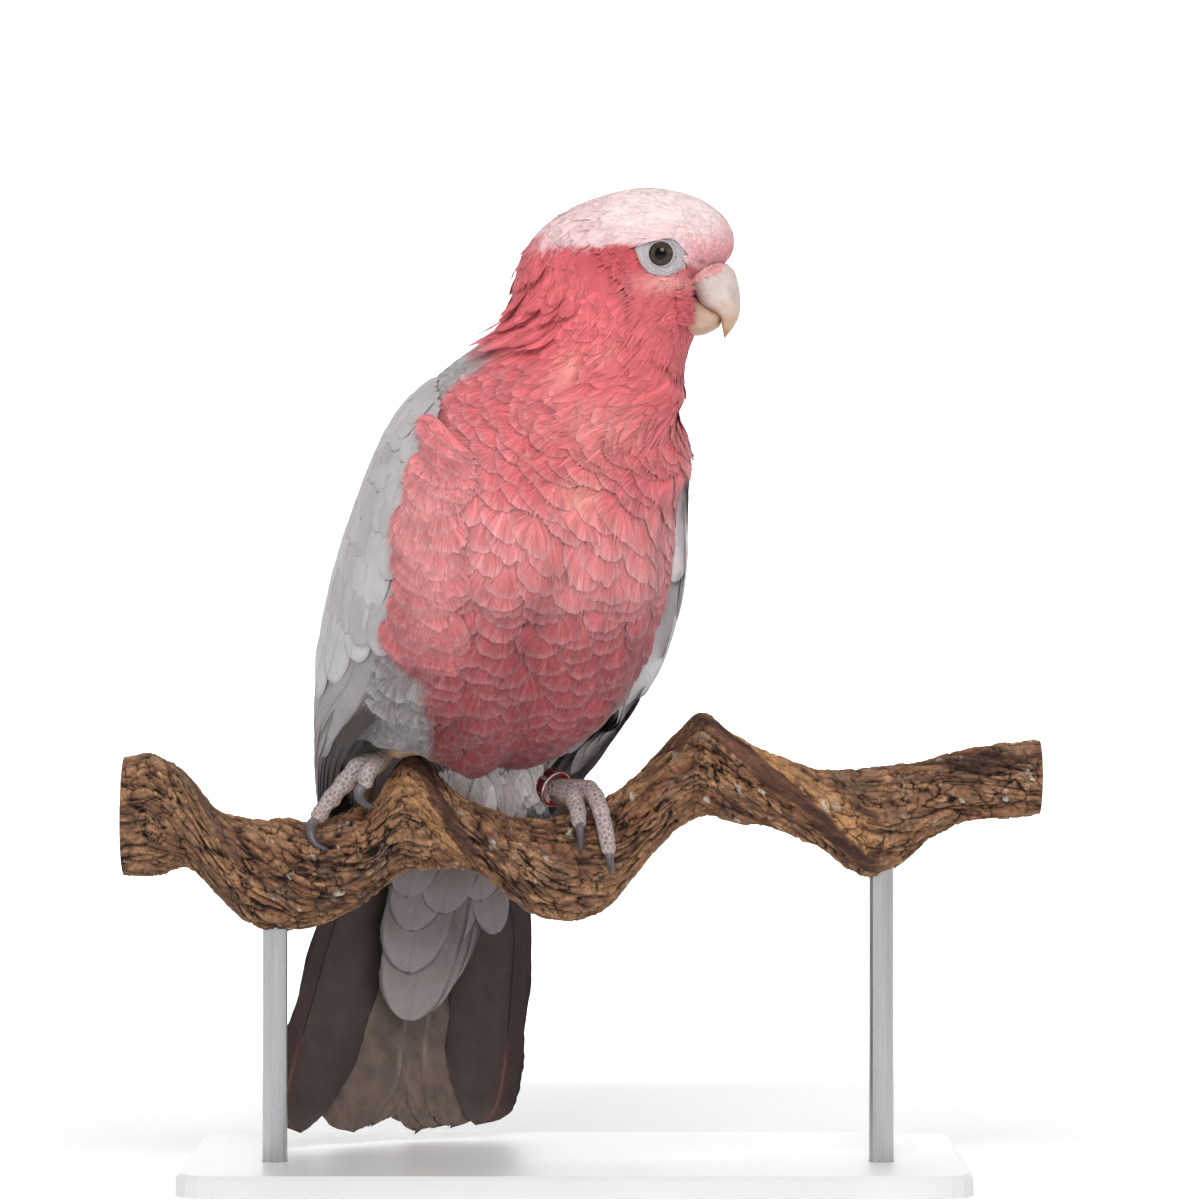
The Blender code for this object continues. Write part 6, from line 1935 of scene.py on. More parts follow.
M_BILL = horn_material("bill horn")
for name, rows, tip, n in (("upper", UPPER_BILL, at_head(*UPPER_TIP), 90), ("lower", LOWER_BILL, None, 60)):
    m = 84
    th = np.linspace(0, 2 * pi, m, endpoint=False)
    R = bill_rings(rows, n, th)
    t = np.linspace(0, 1, n)[:, None] * np.ones(m)
    mid = R.mean(1, keepdims=True)
    out = unit(R - mid)
    f, z = head_fz(R)
    nz = fbm(R, 2.4, 3, 41)
    flake = fbm(R, np.array([5.0, 5.0, 1.1]), 3, 43)
    if name == "upper":
        # worn, scaling edge along the cutting side and towards the tip
        worn = smooth(0.45, 0.8, t + 0.10 * nz)
        R = R + out * (0.10 * flake * (0.35 + worn) + 0.05 * nz)[..., None]
        col = mix(lin(215, 200, 194), lin(200, 182, 172), np.clip(0.5 + 0.5 * nz, 0, 1))
        edge = smooth(286.0 - 0.45 * (f - 9.0) * 1.0, 276.0, z + 1.3 * nz)
        tan = np.clip(0.9 * worn, 0, 1)
        col = mix(col, lin(196, 160, 122), tan * 0.85)
        col = mix(col, lin(176, 134, 96), smooth(0.80, 1.0, t) * 0.8)
        col = mix(col, lin(150, 128, 116), 0.7 * smooth(0.10, 0.0, t))
    else:
        R = R + out * (0.08 * flake + 0.05 * nz)[..., None]
        col = mix(lin(198, 170, 150), lin(182, 150, 124), np.clip(0.5 + 0.6 * nz, 0, 1))
        col = mix(col, lin(150, 116, 88), 0.6 * smooth(0.70, 1.0, t))
    q = grid_quads(n, m, wrap=True)
    V = np.concatenate([R.reshape(-1, 3), R[0].mean(0)[None], (R[-1].mean(0) if tip is None else tip)[None]])
    j = np.arange(m)
    N = n * m
    caps = np.concatenate([np.stack([np.full(m, N), (j + 1) % m, j], -1),
                           np.stack([np.full(m, N + 1), (n - 1) * m + j, (n - 1) * m + (j + 1) % m], -1)])
    vol = volume(V, [tuple(x) for x in q[:: 1]]) if False else None
    col = np.concatenate([col.reshape(-1, 3), col[0].mean(0)[None], col[-1].mean(0)[None]])
    tri = V[q[:, 0]], V[q[:, 1]], V[q[:, 2]]
    if (np.cross(tri[1] - tri[0], tri[2] - tri[0]) * (tri[0] - V.mean(0))).sum() < 0:
        q = q[:, ::-1]
        caps = caps[:, ::-1]
    make("bill_%s_horn" % name, V, [q, caps], M_BILL, col, replaces=("bill_" + name,))


# =====================================================================
#                     large feathers: wings and tail
# =====================================================================
M_VANE = feather_material("wing feathers", rough=0.58, sheen=0.12, noise_amt=0.05, barbs=0.55)
M_TAIL = feather_material("tail feathers", rough=0.50, sheen=0.05, noise_amt=0.04, barbs=0.75)


def vane_profile(l, tip=0.26, base=0.30, blunt=2.0):
    """Half width of a vane along its length, 0 to 1."""
    up = np.clip(l / base, 0, 1)
    rise = 0.30 + 0.70 * (1 - (1 - up) ** 2)
    q = np.clip((l - (1 - tip)) / tip, 0, 1)
    return rise * np.maximum(1 - q**blunt, 0.0) ** (1 / blunt)


def vanes(name, centre, W, mat, colour, nl=26, cup=0.35, tip=0.26, base=0.30, shaft_at=None, roll=0.0,
          seed=1, replaces=(), rachis=0.28, blunt=2.2, rag=0.10, tips=None, shaft_col=None, shaft_mix=0.0, wave=0.0):
    """Big feathers.  centre(q) gives, for each feather, points, outward
    normals along its middle line at q in 0..1; colour(l, w, i, P) the colours."""
    rng = np.random.default_rng(seed)
    q = 1 - (1 - np.linspace(0, 1, nl)) ** 1.35
    C0, n = centre(q)                         # (N, nl, 3)
    N = len(C0)
    T = unit(np.gradient(C0, axis=1))
    side = unit(np.cross(n, T))
    n = unit(np.cross(T, side))
    wv = np.array([-1.0, -0.96, -0.88, -0.74, -0.56, -0.38, -0.2, -0.08, -0.03, 0.0, 0.03, 0.08, 0.2, 0.38, 0.56, 0.74, 0.88, 0.96, 1.0])
    nw = len(wv)
    sa = np.zeros(N) if shaft_at is None else np.asarray(shaft_at, float)
    # widths either side of the shaft
    prof = np.repeat(vane_profile(q, tip, base, blunt)[None], N, 0)
    length = np.linalg.norm(np.diff(C0, axis=1), axis=-1).sum(1)
    lmm = q[None, :] * length[:, None]
    half = (W / 2)[:, None] * prof
    webs = np.repeat(half[:, :, None], len(wv), 2)
    if tips is not None:                      # other tip shapes on the two webs
        for i in range(N):
            for cols_, (tp, bl) in ((wv < 0, tips[i][0]), (wv > 0, tips[i][1])):
                webs[i][:, cols_] = (W[i] / 2 * vane_profile(q, tp, base, bl))[:, None]
    wob = rng.normal(0, 1, (N, nl, nw)) * 0.0
    edge = np.abs(wv) > 0.9
    rough_edge = rng.normal(0, rag, (N, nl, nw)) * edge[None, None, :] * smooth(0.25, 0.9, q)[None, :, None]
    # the webs' outer edges are a little ragged towards the tip
    off = (wv[None, None, :] * webs) + rough_edge
    if wave:                                  # webs that don't lie quite straight
        ph = rng.uniform(0, 6.3, (N, 1, 1))
        off = off + wave * np.sin(lmm[:, :, None] * 0.21 + ph + (wv > 0) * 2.0) * np.abs(wv) ** 2 * smooth(0.1, 0.5, q)[None, :, None]
    # the rachis stays at shaft_at of the half width: shift the middle columns
    k = (1 - np.abs(wv)) ** 1.0
    off = off + (sa[:, None, None] * half[:, :, None]) * k[None, None, :]
    rel = off / np.maximum((W / 2)[:, None, None], 1e-6)
    bend = -cup * (rel**2) * (W / 2)[:, None, None] * 0.5
    rl = np.asarray(roll, float) * np.ones(N)
    lift = bend + off * np.tan(rl)[:, None, None]
    dshaft = off - (sa[:, None] * half)[:, :, None]
    lift = lift + rachis * np.exp(-(dshaft / 0.45) ** 2) * (1 - 0.6 * q)[None, :, None]
    # the web's points, with the last row shifted at random along each feather so the tip's edge is frayed
    P = C0[:, :, None, :] + side[:, :, None, :] * off[..., None] + n[:, :, None, :] * lift[..., None]
    fr = rng.normal(0, rag * 2.2, (N, nw)) * np.ones((N, nw))
    P[:, -1] = P[:, -1] + T[:, -1, None, :] * fr[..., None]
    col = colour(np.broadcast_to(q[None, :, None], off.shape), rel, np.arange(N)[:, None, None], P)
    if shaft_col is not None:
        sh = shaft_mix * np.exp(-(dshaft / 0.34) ** 2)
        sc = shaft_col(np.broadcast_to(q[None, :, None], off.shape), np.arange(N)[:, None, None] + 0 * off.astype(int)) \
            if callable(shaft_col) else shaft_col
        col = mix(col, sc, sh)
    V = P.reshape(-1, 3)
    nv = nl * nw
    F = np.concatenate([grid_quads(nl, nw, base=i * nv) for i in range(N)])
    cols = max(int(np.ceil(np.sqrt(N * 3.0))), 1)
    rows_ = int(np.ceil(N / cols))
    i = np.arange(N)
    u0, v0 = (i % cols) / cols, (i // cols) / rows_
    uu = u0[:, None, None] + (0.08 + 0.84 * (rel * 0.5 / 1.15 + 0.5)) / cols
    vv = v0[:, None, None] + (0.04 + 0.92 * q[None, :, None]) / rows_ + 0 * off
    uv = np.stack([uu + 0 * vv, vv + 0 * uu], -1).reshape(-1, 2)
    vane = np.stack([np.broadcast_to(lmm[:, :, None], off.shape), dshaft, 0 * off], -1).reshape(-1, 3)
    print("VANES", name, N, "feathers", len(F) * 2, "triangles")
    return make(name, V, F, mat, col.reshape(-1, 3), uv, attrs={"Vane": vane}, replaces=replaces)


def wing_point(side, s, u, up):
    f, r, _ = wing_edges(np.clip(s, 10.35, 21.85))
    th = (f + (r - f) * u) * side
    p, n, _ = surface(wing, s, th)
    v = spline(WING_TABLE[:, 0], WING_TABLE[:, 1:7], s)
    c = (v[..., :3] + v[..., 3:]) / 2
    n = n * np.sign(((p - c) * n).sum(-1, keepdims=True))
    return p + n * np.asarray(up)[..., None], n


def wing_lines(side, s0, u0, s1, u1, up0, up1, sag=0.0):
    s0, u0, s1, u1, up0, up1 = [np.asarray(a, float)[:, None] for a in (s0, u0, s1, u1, up0, up1)]

    def centre(q):
        q = q[None, :]
        s = s0 + (s1 - s0) * q
        u = u0 + (u1 - u0) * (q + sag * q * (1 - q))
        up = up0 + (up1 - up0) * smooth(0.0, 0.7, q)
        return wing_point(side, s, u, up + 0 * s)
    return centre


def wing_tone(P, s_hint=None):
    return 0.5 + 0.5 * fbm(P, 12.0, 3, 51)


GREY_HI, GREY_MID, GREY_LO = lin(206, 205, 207), lin(184, 181, 181), lin(150, 146, 146)


def covert_colour(hi, mid, edge, strength=0.55, warm=0.0):
    def f(l, w, i, P):
        t = wing_tone(P)
        per = _hash(i + 0 * l.astype(int), i + 7 + 0 * l.astype(int), i * 0 + 3 + 0 * l.astype(int), 5)
        c = mix(mid, hi, np.clip(0.25 + 0.75 * t + 0.5 * (per - 0.5), 0, 1))
        rim = smooth(0.80, 0.98, np.sqrt(np.clip((w / 1.0) ** 2 + (np.clip((l - 0.72) / 0.28, 0, 1)) ** 2, 0, 2)) / 1.02)
        c = mix(c, edge, strength * rim)
        # painted shade: darker towards the root, under the feathers that overlap it
        c = mix(c, root_shade, 0.35 * (1 - smooth(0.0, 0.55, l)))
        return c
    root_shade = mid * 0.80
    return f


def flight_colour(outer, inner, edge, tipc):
    def f(l, w, i, P):
        t = wing_tone(P)
        ww = smooth(-0.25, 0.15, w)
        c = mix(outer, inner, ww)
        c = mix(c, c * 0.8, 0.6 * t)
        rim = smooth(0.86, 0.99, np.abs(w))
        c = mix(c, edge, 0.45 * rim)
        c = mix(c, tipc, 0.5 * smooth(0.75, 1.0, l))
        return c
    return f


def build_wing(name, side):
    rng = np.random.default_rng(5 if side < 0 else 6)
    # a thin grey lining, so nothing shows between the feathers; its dark grey is painted shade for the gaps between
    # them
    s = np.linspace(10.6, 19.6, 60)
    u = np.linspace(0.06, 0.95, 30)
    S, U = np.meshgrid(s, u, indexing="ij")
    P, n = wing_point(side, S, U, -2.3 + 0 * S)
    col = mix(lin(120, 117, 117), lin(92, 86, 86), smooth(15, 17, S))
    uv = np.stack([U, (S - 10) / 12.0], -1).reshape(-1, 2)
    make("wing_%s_lining" % name, P, grid_quads(60, 30, flip=side < 0), M_SKIN, col, uv)

    # primaries: long dark feathers whose tips run past the rump
    k = np.arange(9)
    t = k / 8.0
    s0 = 14.6 + 0.5 * t
    u0 = 0.06 + 0.34 * t
    s1 = 17.4 + 4.35 * t ** 0.80
    u1 = 0.05 + 0.50 * t
    W = 11.5 + 2.0 * t
    vanes("wing_%s_primaries" % name, wing_lines(side, s0, u0, s1, u1, -1.9 + 0.3 * t, -1.5 + 1.2 * t), W, M_VANE,
          flight_colour(lin(134, 124, 123), lin(76, 67, 66), lin(52, 44, 43), lin(80, 69, 67)), nl=34, cup=0.18,
          tip=0.16, base=0.12, shaft_at=np.full(9, -0.38 * 1.0), roll=-0.10, seed=31 + side,
          replaces=("wing_%s_flight" % name,), blunt=2.0)
    # secondaries and tertials: pale, each lying over the one in front of it
    k = np.arange(10)
    t = k / 9.0
    s0 = 13.9 + 0.3 * t
    u0 = 0.16 + 0.72 * t
    s1 = 16.9 + 2.4 * t ** 1.1 + rng.normal(0, 0.05, 10)
    u1 = 0.17 + 0.74 * t
    W = 12.0 + 3.0 * t
    vanes("wing_%s_secondaries" % name, wing_lines(side, s0, u0, s1, u1, -1.3 + 0 * t, -0.9 + 0.9 * t), W, M_VANE,
          covert_colour(lin(176, 172, 174), lin(146, 139, 140), lin(104, 96, 95), 0.45), nl=30, cup=0.14, tip=0.16,
          base=0.15, shaft_at=np.full(10, -0.2), roll=-0.08, wave=0.35, shaft_col=lin(120, 112, 110), shaft_mix=0.5, seed=41 + side, blunt=2.1)
    # greater coverts: the big pale feathers along the middle of the wing
    k = np.arange(10)
    t = k / 9.0
    s0 = 13.0 + 0.25 * t
    u0 = 0.04 + 0.86 * t
    s1 = np.interp(t, [0, 0.12, 0.25, 0.4, 1.0], [14.2, 14.65, 15.4, 16.05, 16.6]) + rng.normal(0, 0.04, 10)
    u1 = 0.03 + 0.88 * t
    if side < 0:
        u0, u1 = 0.09 + 0.82 * t, 0.10 + 0.81 * t
    W = 12.6 + 1.0 * t
    vanes("wing_%s_greater" % name, wing_lines(side, s0, u0, s1, u1, -0.9 + 0 * t, -0.2 + 0.45 * t), W, M_VANE,
          covert_colour(lin(206, 205, 209), lin(180, 176, 178), lin(146, 138, 137), 0.40), nl=28, cup=0.14, tip=0.24,
          base=0.2, shaft_at=np.full(10, -0.12), roll=-0.08, wave=0.4, shaft_col=lin(150, 143, 142), shaft_mix=0.4, seed=51 + side,
          replaces=("wing_%s_coverts" % name,))
    # median and lesser coverts: rounded scales in staggered rows
    S0, U0, S1, U1, WW, UP0, UP1 = [], [], [], [], [], [], []
    rows = np.array([10.32, 10.52, 10.76, 11.03, 11.33, 11.68, 12.05, 12.5, 12.98])
    for r, sr in enumerate(rows):
        t = r / (len(rows) - 1)
        wd = 7.0 + 5.2 * t
        f, b, _ = wing_edges(np.array([sr]))
        arc = float((b - f)[0]) * (44.0 + 8 * t)
        cnt = max(int(arc / (wd * 0.66)), 4)
        uu = (np.arange(cnt) + 0.5 * (r % 2) + 0.25) / cnt
        uu = uu + rng.normal(0, 0.01, cnt)
        uu = uu if side > 0 else 0.06 + 0.93 * uu
        ln = 0.58 + 0.72 * t
        S0.append(np.full(cnt, sr - 0.12) + rng.normal(0, 0.02, cnt))
        U0.append(uu)
        S1.append(np.full(cnt, sr + ln) + rng.normal(0, 0.03, cnt))
        U1.append(uu + 0.012 * (0.5 - uu))
        WW.append(np.full(cnt, wd) * rng.uniform(0.93, 1.08, cnt))
        UP0.append(np.full(cnt, -1.1))
        UP1.append(np.full(cnt, 0.25) + rng.normal(0, 0.05, cnt))
    S0, U0, S1, U1, WW, UP0, UP1 = map(np.concatenate, (S0, U0, S1, U1, WW, UP0, UP1))
    vanes("wing_%s_lesser" % name, wing_lines(side, S0, U0, S1, U1, UP0, UP1), WW, M_VANE,
          covert_colour(lin(192, 188, 189), lin(168, 162, 162), lin(134, 126, 125), 0.38), nl=14, cup=0.12, tip=0.42,
          base=0.3, roll=-0.04, wave=0.2, seed=61 + side, rag=0.06, rachis=0.12)


for _name, _side in (("right", -1), ("left", 1)):
    build_wing(_name, _side)


def edge_feathers(name, side, rows, col_hi, col_lo, face, seed, sag=0.0):
    """Feathers along the folded wing's front edge, turned to the front.
    rows: station of root and tip, inward step of root and tip, forward step
    of root and tip, width."""
    rows = np.array(rows, float)
    s0, s1, in0, in1, y0, y1, W = rows.T

    def centre(q):
        q = q[None, :]
        s = s0[:, None] + (s1 - s0)[:, None] * q
        p, n = wing_point(side, s, 0.02 + 0 * s, 0 * s)
        ins = in0[:, None] + (in1 - in0)[:, None] * q + sag * np.sin(pi * q)
        fwd = y0[:, None] + (y1 - y0)[:, None] * smooth(0, 1, q)
        p = p + np.array([-side, 0, 0.0]) * ins[..., None] + np.array([0, -1.0, 0]) * fwd[..., None]
        n = unit(np.array([side * face, -(1 - face), 0.12]) + 0 * p)
        return p, n

    def colour(l, w, i, P):
        t = 0.5 + 0.5 * fbm(P, 7.0, 2, seed)
        k = _hash(i + 0 * l.astype(int), 3 + 0 * l.astype(int), 5 + 0 * l.astype(int), seed)
        c = mix(col_lo, col_hi, np.clip(0.3 + 0.5 * t + 0.5 * (k - 0.4), 0, 1))
        rim = smooth(0.84, 1.0, np.abs(w))
        return mix(c, col_lo * 0.55, 0.55 * rim)
    vanes(name, centre, W, M_VANE, colour, nl=24, cup=0.10, tip=0.30, base=0.22, seed=seed,
          rachis=0.10, rag=0.05, blunt=1.8, wave=0.2)


# painted light: the left wing's edge coverts are paler than the other coverts, to lift the shade they lie in beside the
# body
edge_feathers("wing_left_edge_coverts", 1, [
    (10.9, 12.0, 3.0, 2.9, 1.6, 2.1, 8.0), (11.3, 12.6, 3.0, 2.8, 1.8, 2.6, 8.5), (11.9, 13.1, 2.8, 2.6, 1.8, 2.8, 8.5),
    (12.3, 14.3, 2.8, 3.2, 0.8, 1.6, 9.0), (12.7, 15.2, 2.6, 3.6, 0.6, 1.2, 9.0), (13.3, 15.9, 2.8, 3.8, 0.0, 0.8, 9.0)],
    lin(236, 234, 236), lin(205, 199, 200), 0.36, 131)
edge_feathers("wing_left_edge_secondaries", 1, [
    (14.2, 16.55, 3.2, 2.2, -0.8, 2.6, 8.0), (14.4, 16.9, 4.2, 3.2, -1.4, 1.6, 8.0), (14.8, 17.2, 5.3, 4.4, -2.0, 1.0, 7.5)],
    lin(200, 192, 192), lin(150, 140, 140), 0.36, 132)
edge_feathers("wing_left_edge_primaries", 1, [
    (14.8, 17.45, 2.8, 1.6, -3.4, -0.4, 7.0), (15.2, 17.75, 5.0, 3.2, -4.4, -1.4, 7.0), (15.4, 17.9, 7.5, 6.4, -4.4, -1.8, 7.0)],
    lin(126, 116, 115), lin(78, 68, 67), 0.36, 133)


def breast_edge(side, stations, out_deg, N, seed, name):
    """Soft rose feathers of the breast that lie over the wing's front edge."""
    rng = np.random.default_rng(seed)
    s0 = rng.uniform(stations[0], stations[1], N)
    u0 = rng.uniform(-0.17, -0.02, N)
    e = 0.04
    p0, n0 = wing_point(side, s0, u0, 0 * s0)
    ds = (wing_point(side, s0 + e, u0, 0 * s0)[0] - wing_point(side, s0 - e, u0, 0 * s0)[0]) / (2 * e)
    du = (wing_point(side, s0, u0 + e, 0 * s0)[0] - wing_point(side, s0, u0 - e, 0 * s0)[0]) / (2 * e)
    ls, lu = np.linalg.norm(ds, axis=-1), np.linalg.norm(du, axis=-1)
    # the rose reaches further over the wing lower down
    u0 = u0 + np.interp(s0, [10.2, 10.8, 11.4, 12.0, 12.8, 13.6], [-3.0, -0.5, 1.6, 1.6, -0.4, -1.6]) / lu * rng.uniform(0.0, 1.0, N)
    ang = np.radians(out_deg + rng.normal(0, 9, N))
    L = rng.uniform(12.5, 16.0, N)
    W = rng.uniform(10.5, 14.0, N)

    def surf(idx, l, w, rise, hh, pl):
        ca, sa = np.cos(ang[idx])[:, None, None], np.sin(ang[idx])[:, None, None]
        S = s0[idx, None, None] + (l * ca - w * sa) / ls[idx, None, None]
        U = u0[idx, None, None] + (l * sa + w * ca) / lu[idx, None, None]
        sink = 1.8 * smooth(-0.06, -0.20, U)
        p, n = wing_point(side, S, U, 0.8 + 1.3 * rise + hh - sink)
        return p, (S, U)

    def colour(P, aux, idx, pl, pw):
        return markings(P, aux[0], side * 0.98 + 0 * aux[0])
    uv = (np.clip(u0 * 4 + 0.3, 0, 1), np.clip((s0 - 10) / 6, 0, 1))
    soft(name, surf, colour, N, L, W, 17, 5, M_COAT, uv, seed=seed, spikes=90, spike=3.4, cup=0.02, shaft=0.1,
         slot="rose_feathers", tip_mix=0.50, edge_dark=0.14, rough=0.04, strand=0.35, power=0.5, belly=0.68, wrap=110.0)


breast_edge(-1, (10.3, 13.6), 3.0, 165, 391, "breast_edge_right")


# ------------------------------------------------------------------- tail
def tail_lines(u0, u1, v1, lift0, lift1, v0=-0.04):
    u0, u1, v1, lift0, lift1 = [np.asarray(a, float)[:, None] for a in (u0, u1, v1, lift0, lift1)]

    def pt(q):
        v = v0 + (v1 - v0) * q
        u = u0 + (u1 - u0) * q
        return tail(np.clip(v, 0, 1.05), u, lift0 + (lift1 - lift0) * q) + \
            np.array([0, 0, 1.0]) * (np.minimum(v, 0) * -90)[..., None]

    def centre(q):
        q = q[None, :]
        p = pt(q)
        e = 0.02
        du = tail(np.clip(v0 + (v1 - v0) * q, 0, 1.05), u0 + (u1 - u0) * q + e, 0.0) - \
            tail(np.clip(v0 + (v1 - v0) * q, 0, 1.05), u0 + (u1 - u0) * q - e, 0.0)
        T = np.gradient(p, axis=1)
        n = unit(np.cross(T, du))
        F, _ = heading(BODY_YAW)
        n = n * np.sign((n * F).sum(-1, keepdims=True))     # outward is the underside, to the front
        return p, n
    return centre


def tail_colour(l, w, i, P):
    t = 0.5 + 0.5 * fbm(P, np.array([5.0, 5.0, 16.0]), 3, 81)
    out = OUTER[i] + 0 * l
    # painted sheen: the outer feathers are lighter along their middle
    dark = mix(lin(47, 37, 36), lin(80, 68, 65), np.clip(0.22 + 0.25 * t + 0.35 * smooth(1.0, 0.2, np.abs(w + 0.1)), 0, 1))
    fine = fbm(P, np.array([1.1, 1.1, 13.0]), 2, 83)
    mid = mix(lin(82, 68, 63), lin(124, 107, 96), np.clip(0.22 + 0.22 * t + 0.6 * fine + 0.25 * smooth(0.3, 0.9, l), 0, 1))
    dark = dark * (1 + 0.16 * fine)[..., None]
    c = mix(mid, dark, out)
    # the outermost pair's outer webs are maroon
    sh = SHAFT[i] * WAY[i]
    beyond = smooth(0.0, 0.06, w * WAY[i] - sh)
    c = mix(c, mix(lin(46, 32, 32), lin(70, 50, 49), t), 0.62 * beyond * out)
    c = mix(c, lin(88, 46, 44), 0.35 * out * np.exp(-((w * WAY[i] - sh) / 0.16) ** 2) * smooth(0.55, 0.85, l))
    # painted shadow: a dark line along the edges of the outer feathers, where they meet the next feather
    rim = smooth(0.92, 0.99, np.abs(w))
    c = mix(c, lin(34, 26, 25), 0.75 * rim * out)
    inner = smooth(0.86, 0.95, np.abs(w)) * (1 - out)
    c = mix(c, lin(152, 136, 124), 0.45 * inner)
    # painted shade: the middle feathers darker towards their outward edge
    c = mix(c, c * 0.6, 0.5 * (1 - out) * smooth(0.60, 0.84, w * WAY[i]))
    return mix(c, lin(120, 106, 98), 0.20 * smooth(0.90, 1.0, l))


# u at root, u at tip, length, lift, width, shaft place, outermost
TF = np.array([
    (-0.74, -0.735, 0.965, -0.2, 30.0, 0.60, 1), (-0.50, -0.28, 0.985, 0.9, 30.0, 0.30, 0.1), (-0.36, -0.15, 0.970, 1.6, 29.0, 0.22, 0),
    (-0.24, -0.05, 0.955, 2.3, 27.0, 0.15, 0), (-0.12, 0.04, 0.940, 3.0, 26.0, 0.10, 0), (0.74, 0.690, 0.975, -0.2, 28.5, 0.52, 1),
    (0.50, 0.50, 0.985, 0.9, 26.0, 0.30, 0.1), (0.36, 0.36, 0.990, 1.6, 26.0, 0.22, 0), (0.24, 0.24, 1.0, 2.3, 25.0, 0.15, 0),
    (0.10, 0.16, 0.975, 3.0, 25.0, 0.10, 0), (-0.05, 0.02, 0.95, 3.6, 24.0, 0.10, 0), (0.04, 0.10, 0.95, 4.0, 24.0, 0.10, 0)])
OUTER = TF[:, 6]
_lines = tail_lines(TF[:, 0] * 0.9, TF[:, 1], TF[:, 2], TF[:, 3], TF[:, 3] * 1.05)
_p, _n = _lines(np.linspace(0, 1, 3))
_side = np.cross(_n, np.gradient(_p, axis=1))[:, 1]
_, LB = heading(BODY_YAW)
_dir = np.sign((_side * np.array(LB)).sum(-1))          # which way w grows
WAY = np.sign(TF[:, 1] + 1e-6) * _dir                    # +1 where w grows outwards
SHAFT = TF[:, 5] * WAY
_in, _out = (0.34, 1.7), (0.10, 2.6)
_tips = [((_in, _out) if w > 0 else (_out, _in)) if o > 0.5 else (((0.24, 2.0), (0.14, 2.4)) if w > 0 else ((0.14, 2.4), (0.24, 2.0)))
         for w, o in zip(WAY, OUTER)]


def tail_shaft(q, i):
    pale = mix(lin(16, 11, 11), lin(118, 84, 78), smooth(0.62, 0.85, q))
    return mix(lin(112, 98, 90), pale, OUTER[i] + 0 * q)


vanes("tail_feathers", _lines, TF[:, 4], M_TAIL, tail_colour, nl=48, cup=0.10, tip=0.17, base=0.16,
      shaft_at=SHAFT, seed=71, replaces=("tail_right", "tail_left", "tail_middle"),
      rachis=0.50, blunt=2.6, rag=0.22, tips=_tips, shaft_col=tail_shaft, shaft_mix=0.95, wave=0.5)


# --------------------------------------------------------- undertail coverts
def under_lines(a0, z0, y0, a1, z1, y1, lift):
    a0, z0, y0, a1, z1, y1, lift = [np.asarray(a, float)[:, None] for a in (a0, z0, y0, a1, z1, y1, lift)]

    def centre(q):
        q = q[None, :]
        a = a0 + (a1 - a0) * q - 1.2 * np.sin(pi * q)
        z = z0 + (z1 - z0) * q
        y = y0 + (y1 - y0) * q
        F, L = heading(BODY_YAW)
        p = np.array([BODY_ORG[0], BODY_ORG[1], 0]) + F * (a + lift)[..., None] + L * y[..., None] + UP * z[..., None]
        n = unit(np.array(F) * 0.97 + UP * 0.22) + 0 * p
        return p, n
    return centre


# tips of each covert, from the root down; ahead of the tail
UT = np.array([
    # a root, z root, side root, a tip, z tip, side tip, lift, width
    (-61.0, 104.0, 3.0, -75.0, 48.5, -3.2, 0.0, 28.0),
    (-61.0, 104.0, 7.0, -74.6, 50.5, 1.6, -0.8, 26.0),
    (-61.0, 106.0, 10.0, -73.6, 56.0, 5.5, -1.4, 26.0),
    (-60.0, 108.0, 0.0, -72.2, 64.8, -5.2, 1.0, 26.0),
    (-59.0, 110.0, 10.0, -71.0, 72.0, 9.0, 0.6, 20.0),
    (-58.0, 112.0, -2.0, -70.2, 78.5, -5.4, 2.0, 21.0),
    (-60.0, 110.0, 18.0, -70.5, 76.5, 26.5, 0.8, 16.0),
    (-58.0, 112.0, 8.0, -68.0, 84.0, 4.0, 2.6, 20.0),
    (-57.0, 114.0, 16.0, -67.0, 88.0, 18.0, 2.4, 18.0),
    (-57.0, 114.0, -6.0, -66.6, 90.0, -9.0, 3.0, 18.0)])


def under_colour(l, w, i, P):
    t = 0.5 + 0.5 * fbm(P, 8.0, 3, 91)
    c = mix(lin(104, 94, 93), lin(150, 141, 141), np.clip(0.3 * t + 0.7 * smooth(0.35, 0.95, l), 0, 1))
    reach = np.abs(w) / np.maximum(vane_profile(l, 0.42, 0.25, 1.9), 0.05)
    rim = smooth(0.90, 0.985, np.maximum(reach, smooth(0.965, 1.0, l)))
    c = mix(c, c * 1.12, smooth(0.72, 0.88, reach) * (1 - rim))
    return mix(c, lin(74, 64, 64), 0.75 * rim)


vanes("undertail_feathers", under_lines(*[UT[:, i] for i in range(7)]), UT[:, 7], M_VANE, under_colour, nl=36,
      cup=0.12, tip=0.42, base=0.25, seed=81, replaces=("undertail_coverts",), rachis=0.10,
      blunt=1.9, rag=0.12, shaft_col=lin(96, 86, 85), shaft_mix=0.18, wave=0.6)


# =====================================================================
#                 claws, the leg ring and the thighs' down
# =====================================================================
def claw_material():
    m = Nodes("claw horn")
    c = m.attr("Col").outputs["Color"]
    va = m.attr("Vane").outputs["Vector"]
    v = m.coords()
    s1 = m.noise(va, 1.0, 2.0, 0.6, (6.0, 0.7, 6.0))
    n1 = m.noise(v, 900.0, 2.0)
    f = m.math("MULTIPLY", m.remap(s1, 0.3, 0.7, 0.86, 1.14), m.remap(n1, 0.3, 0.7, 0.92, 1.08))
    m.link(m.scale_col(c, f), m.p.inputs["Base Color"])
    m.link(m.remap(s1, 0.3, 0.7, 0.30, 0.42), m.p.inputs["Roughness"])
    m.link(m.bump(s1, 0.25, 0.0001), m.p.inputs["Normal"])
    return m.mat


M_CLAW = claw_material()


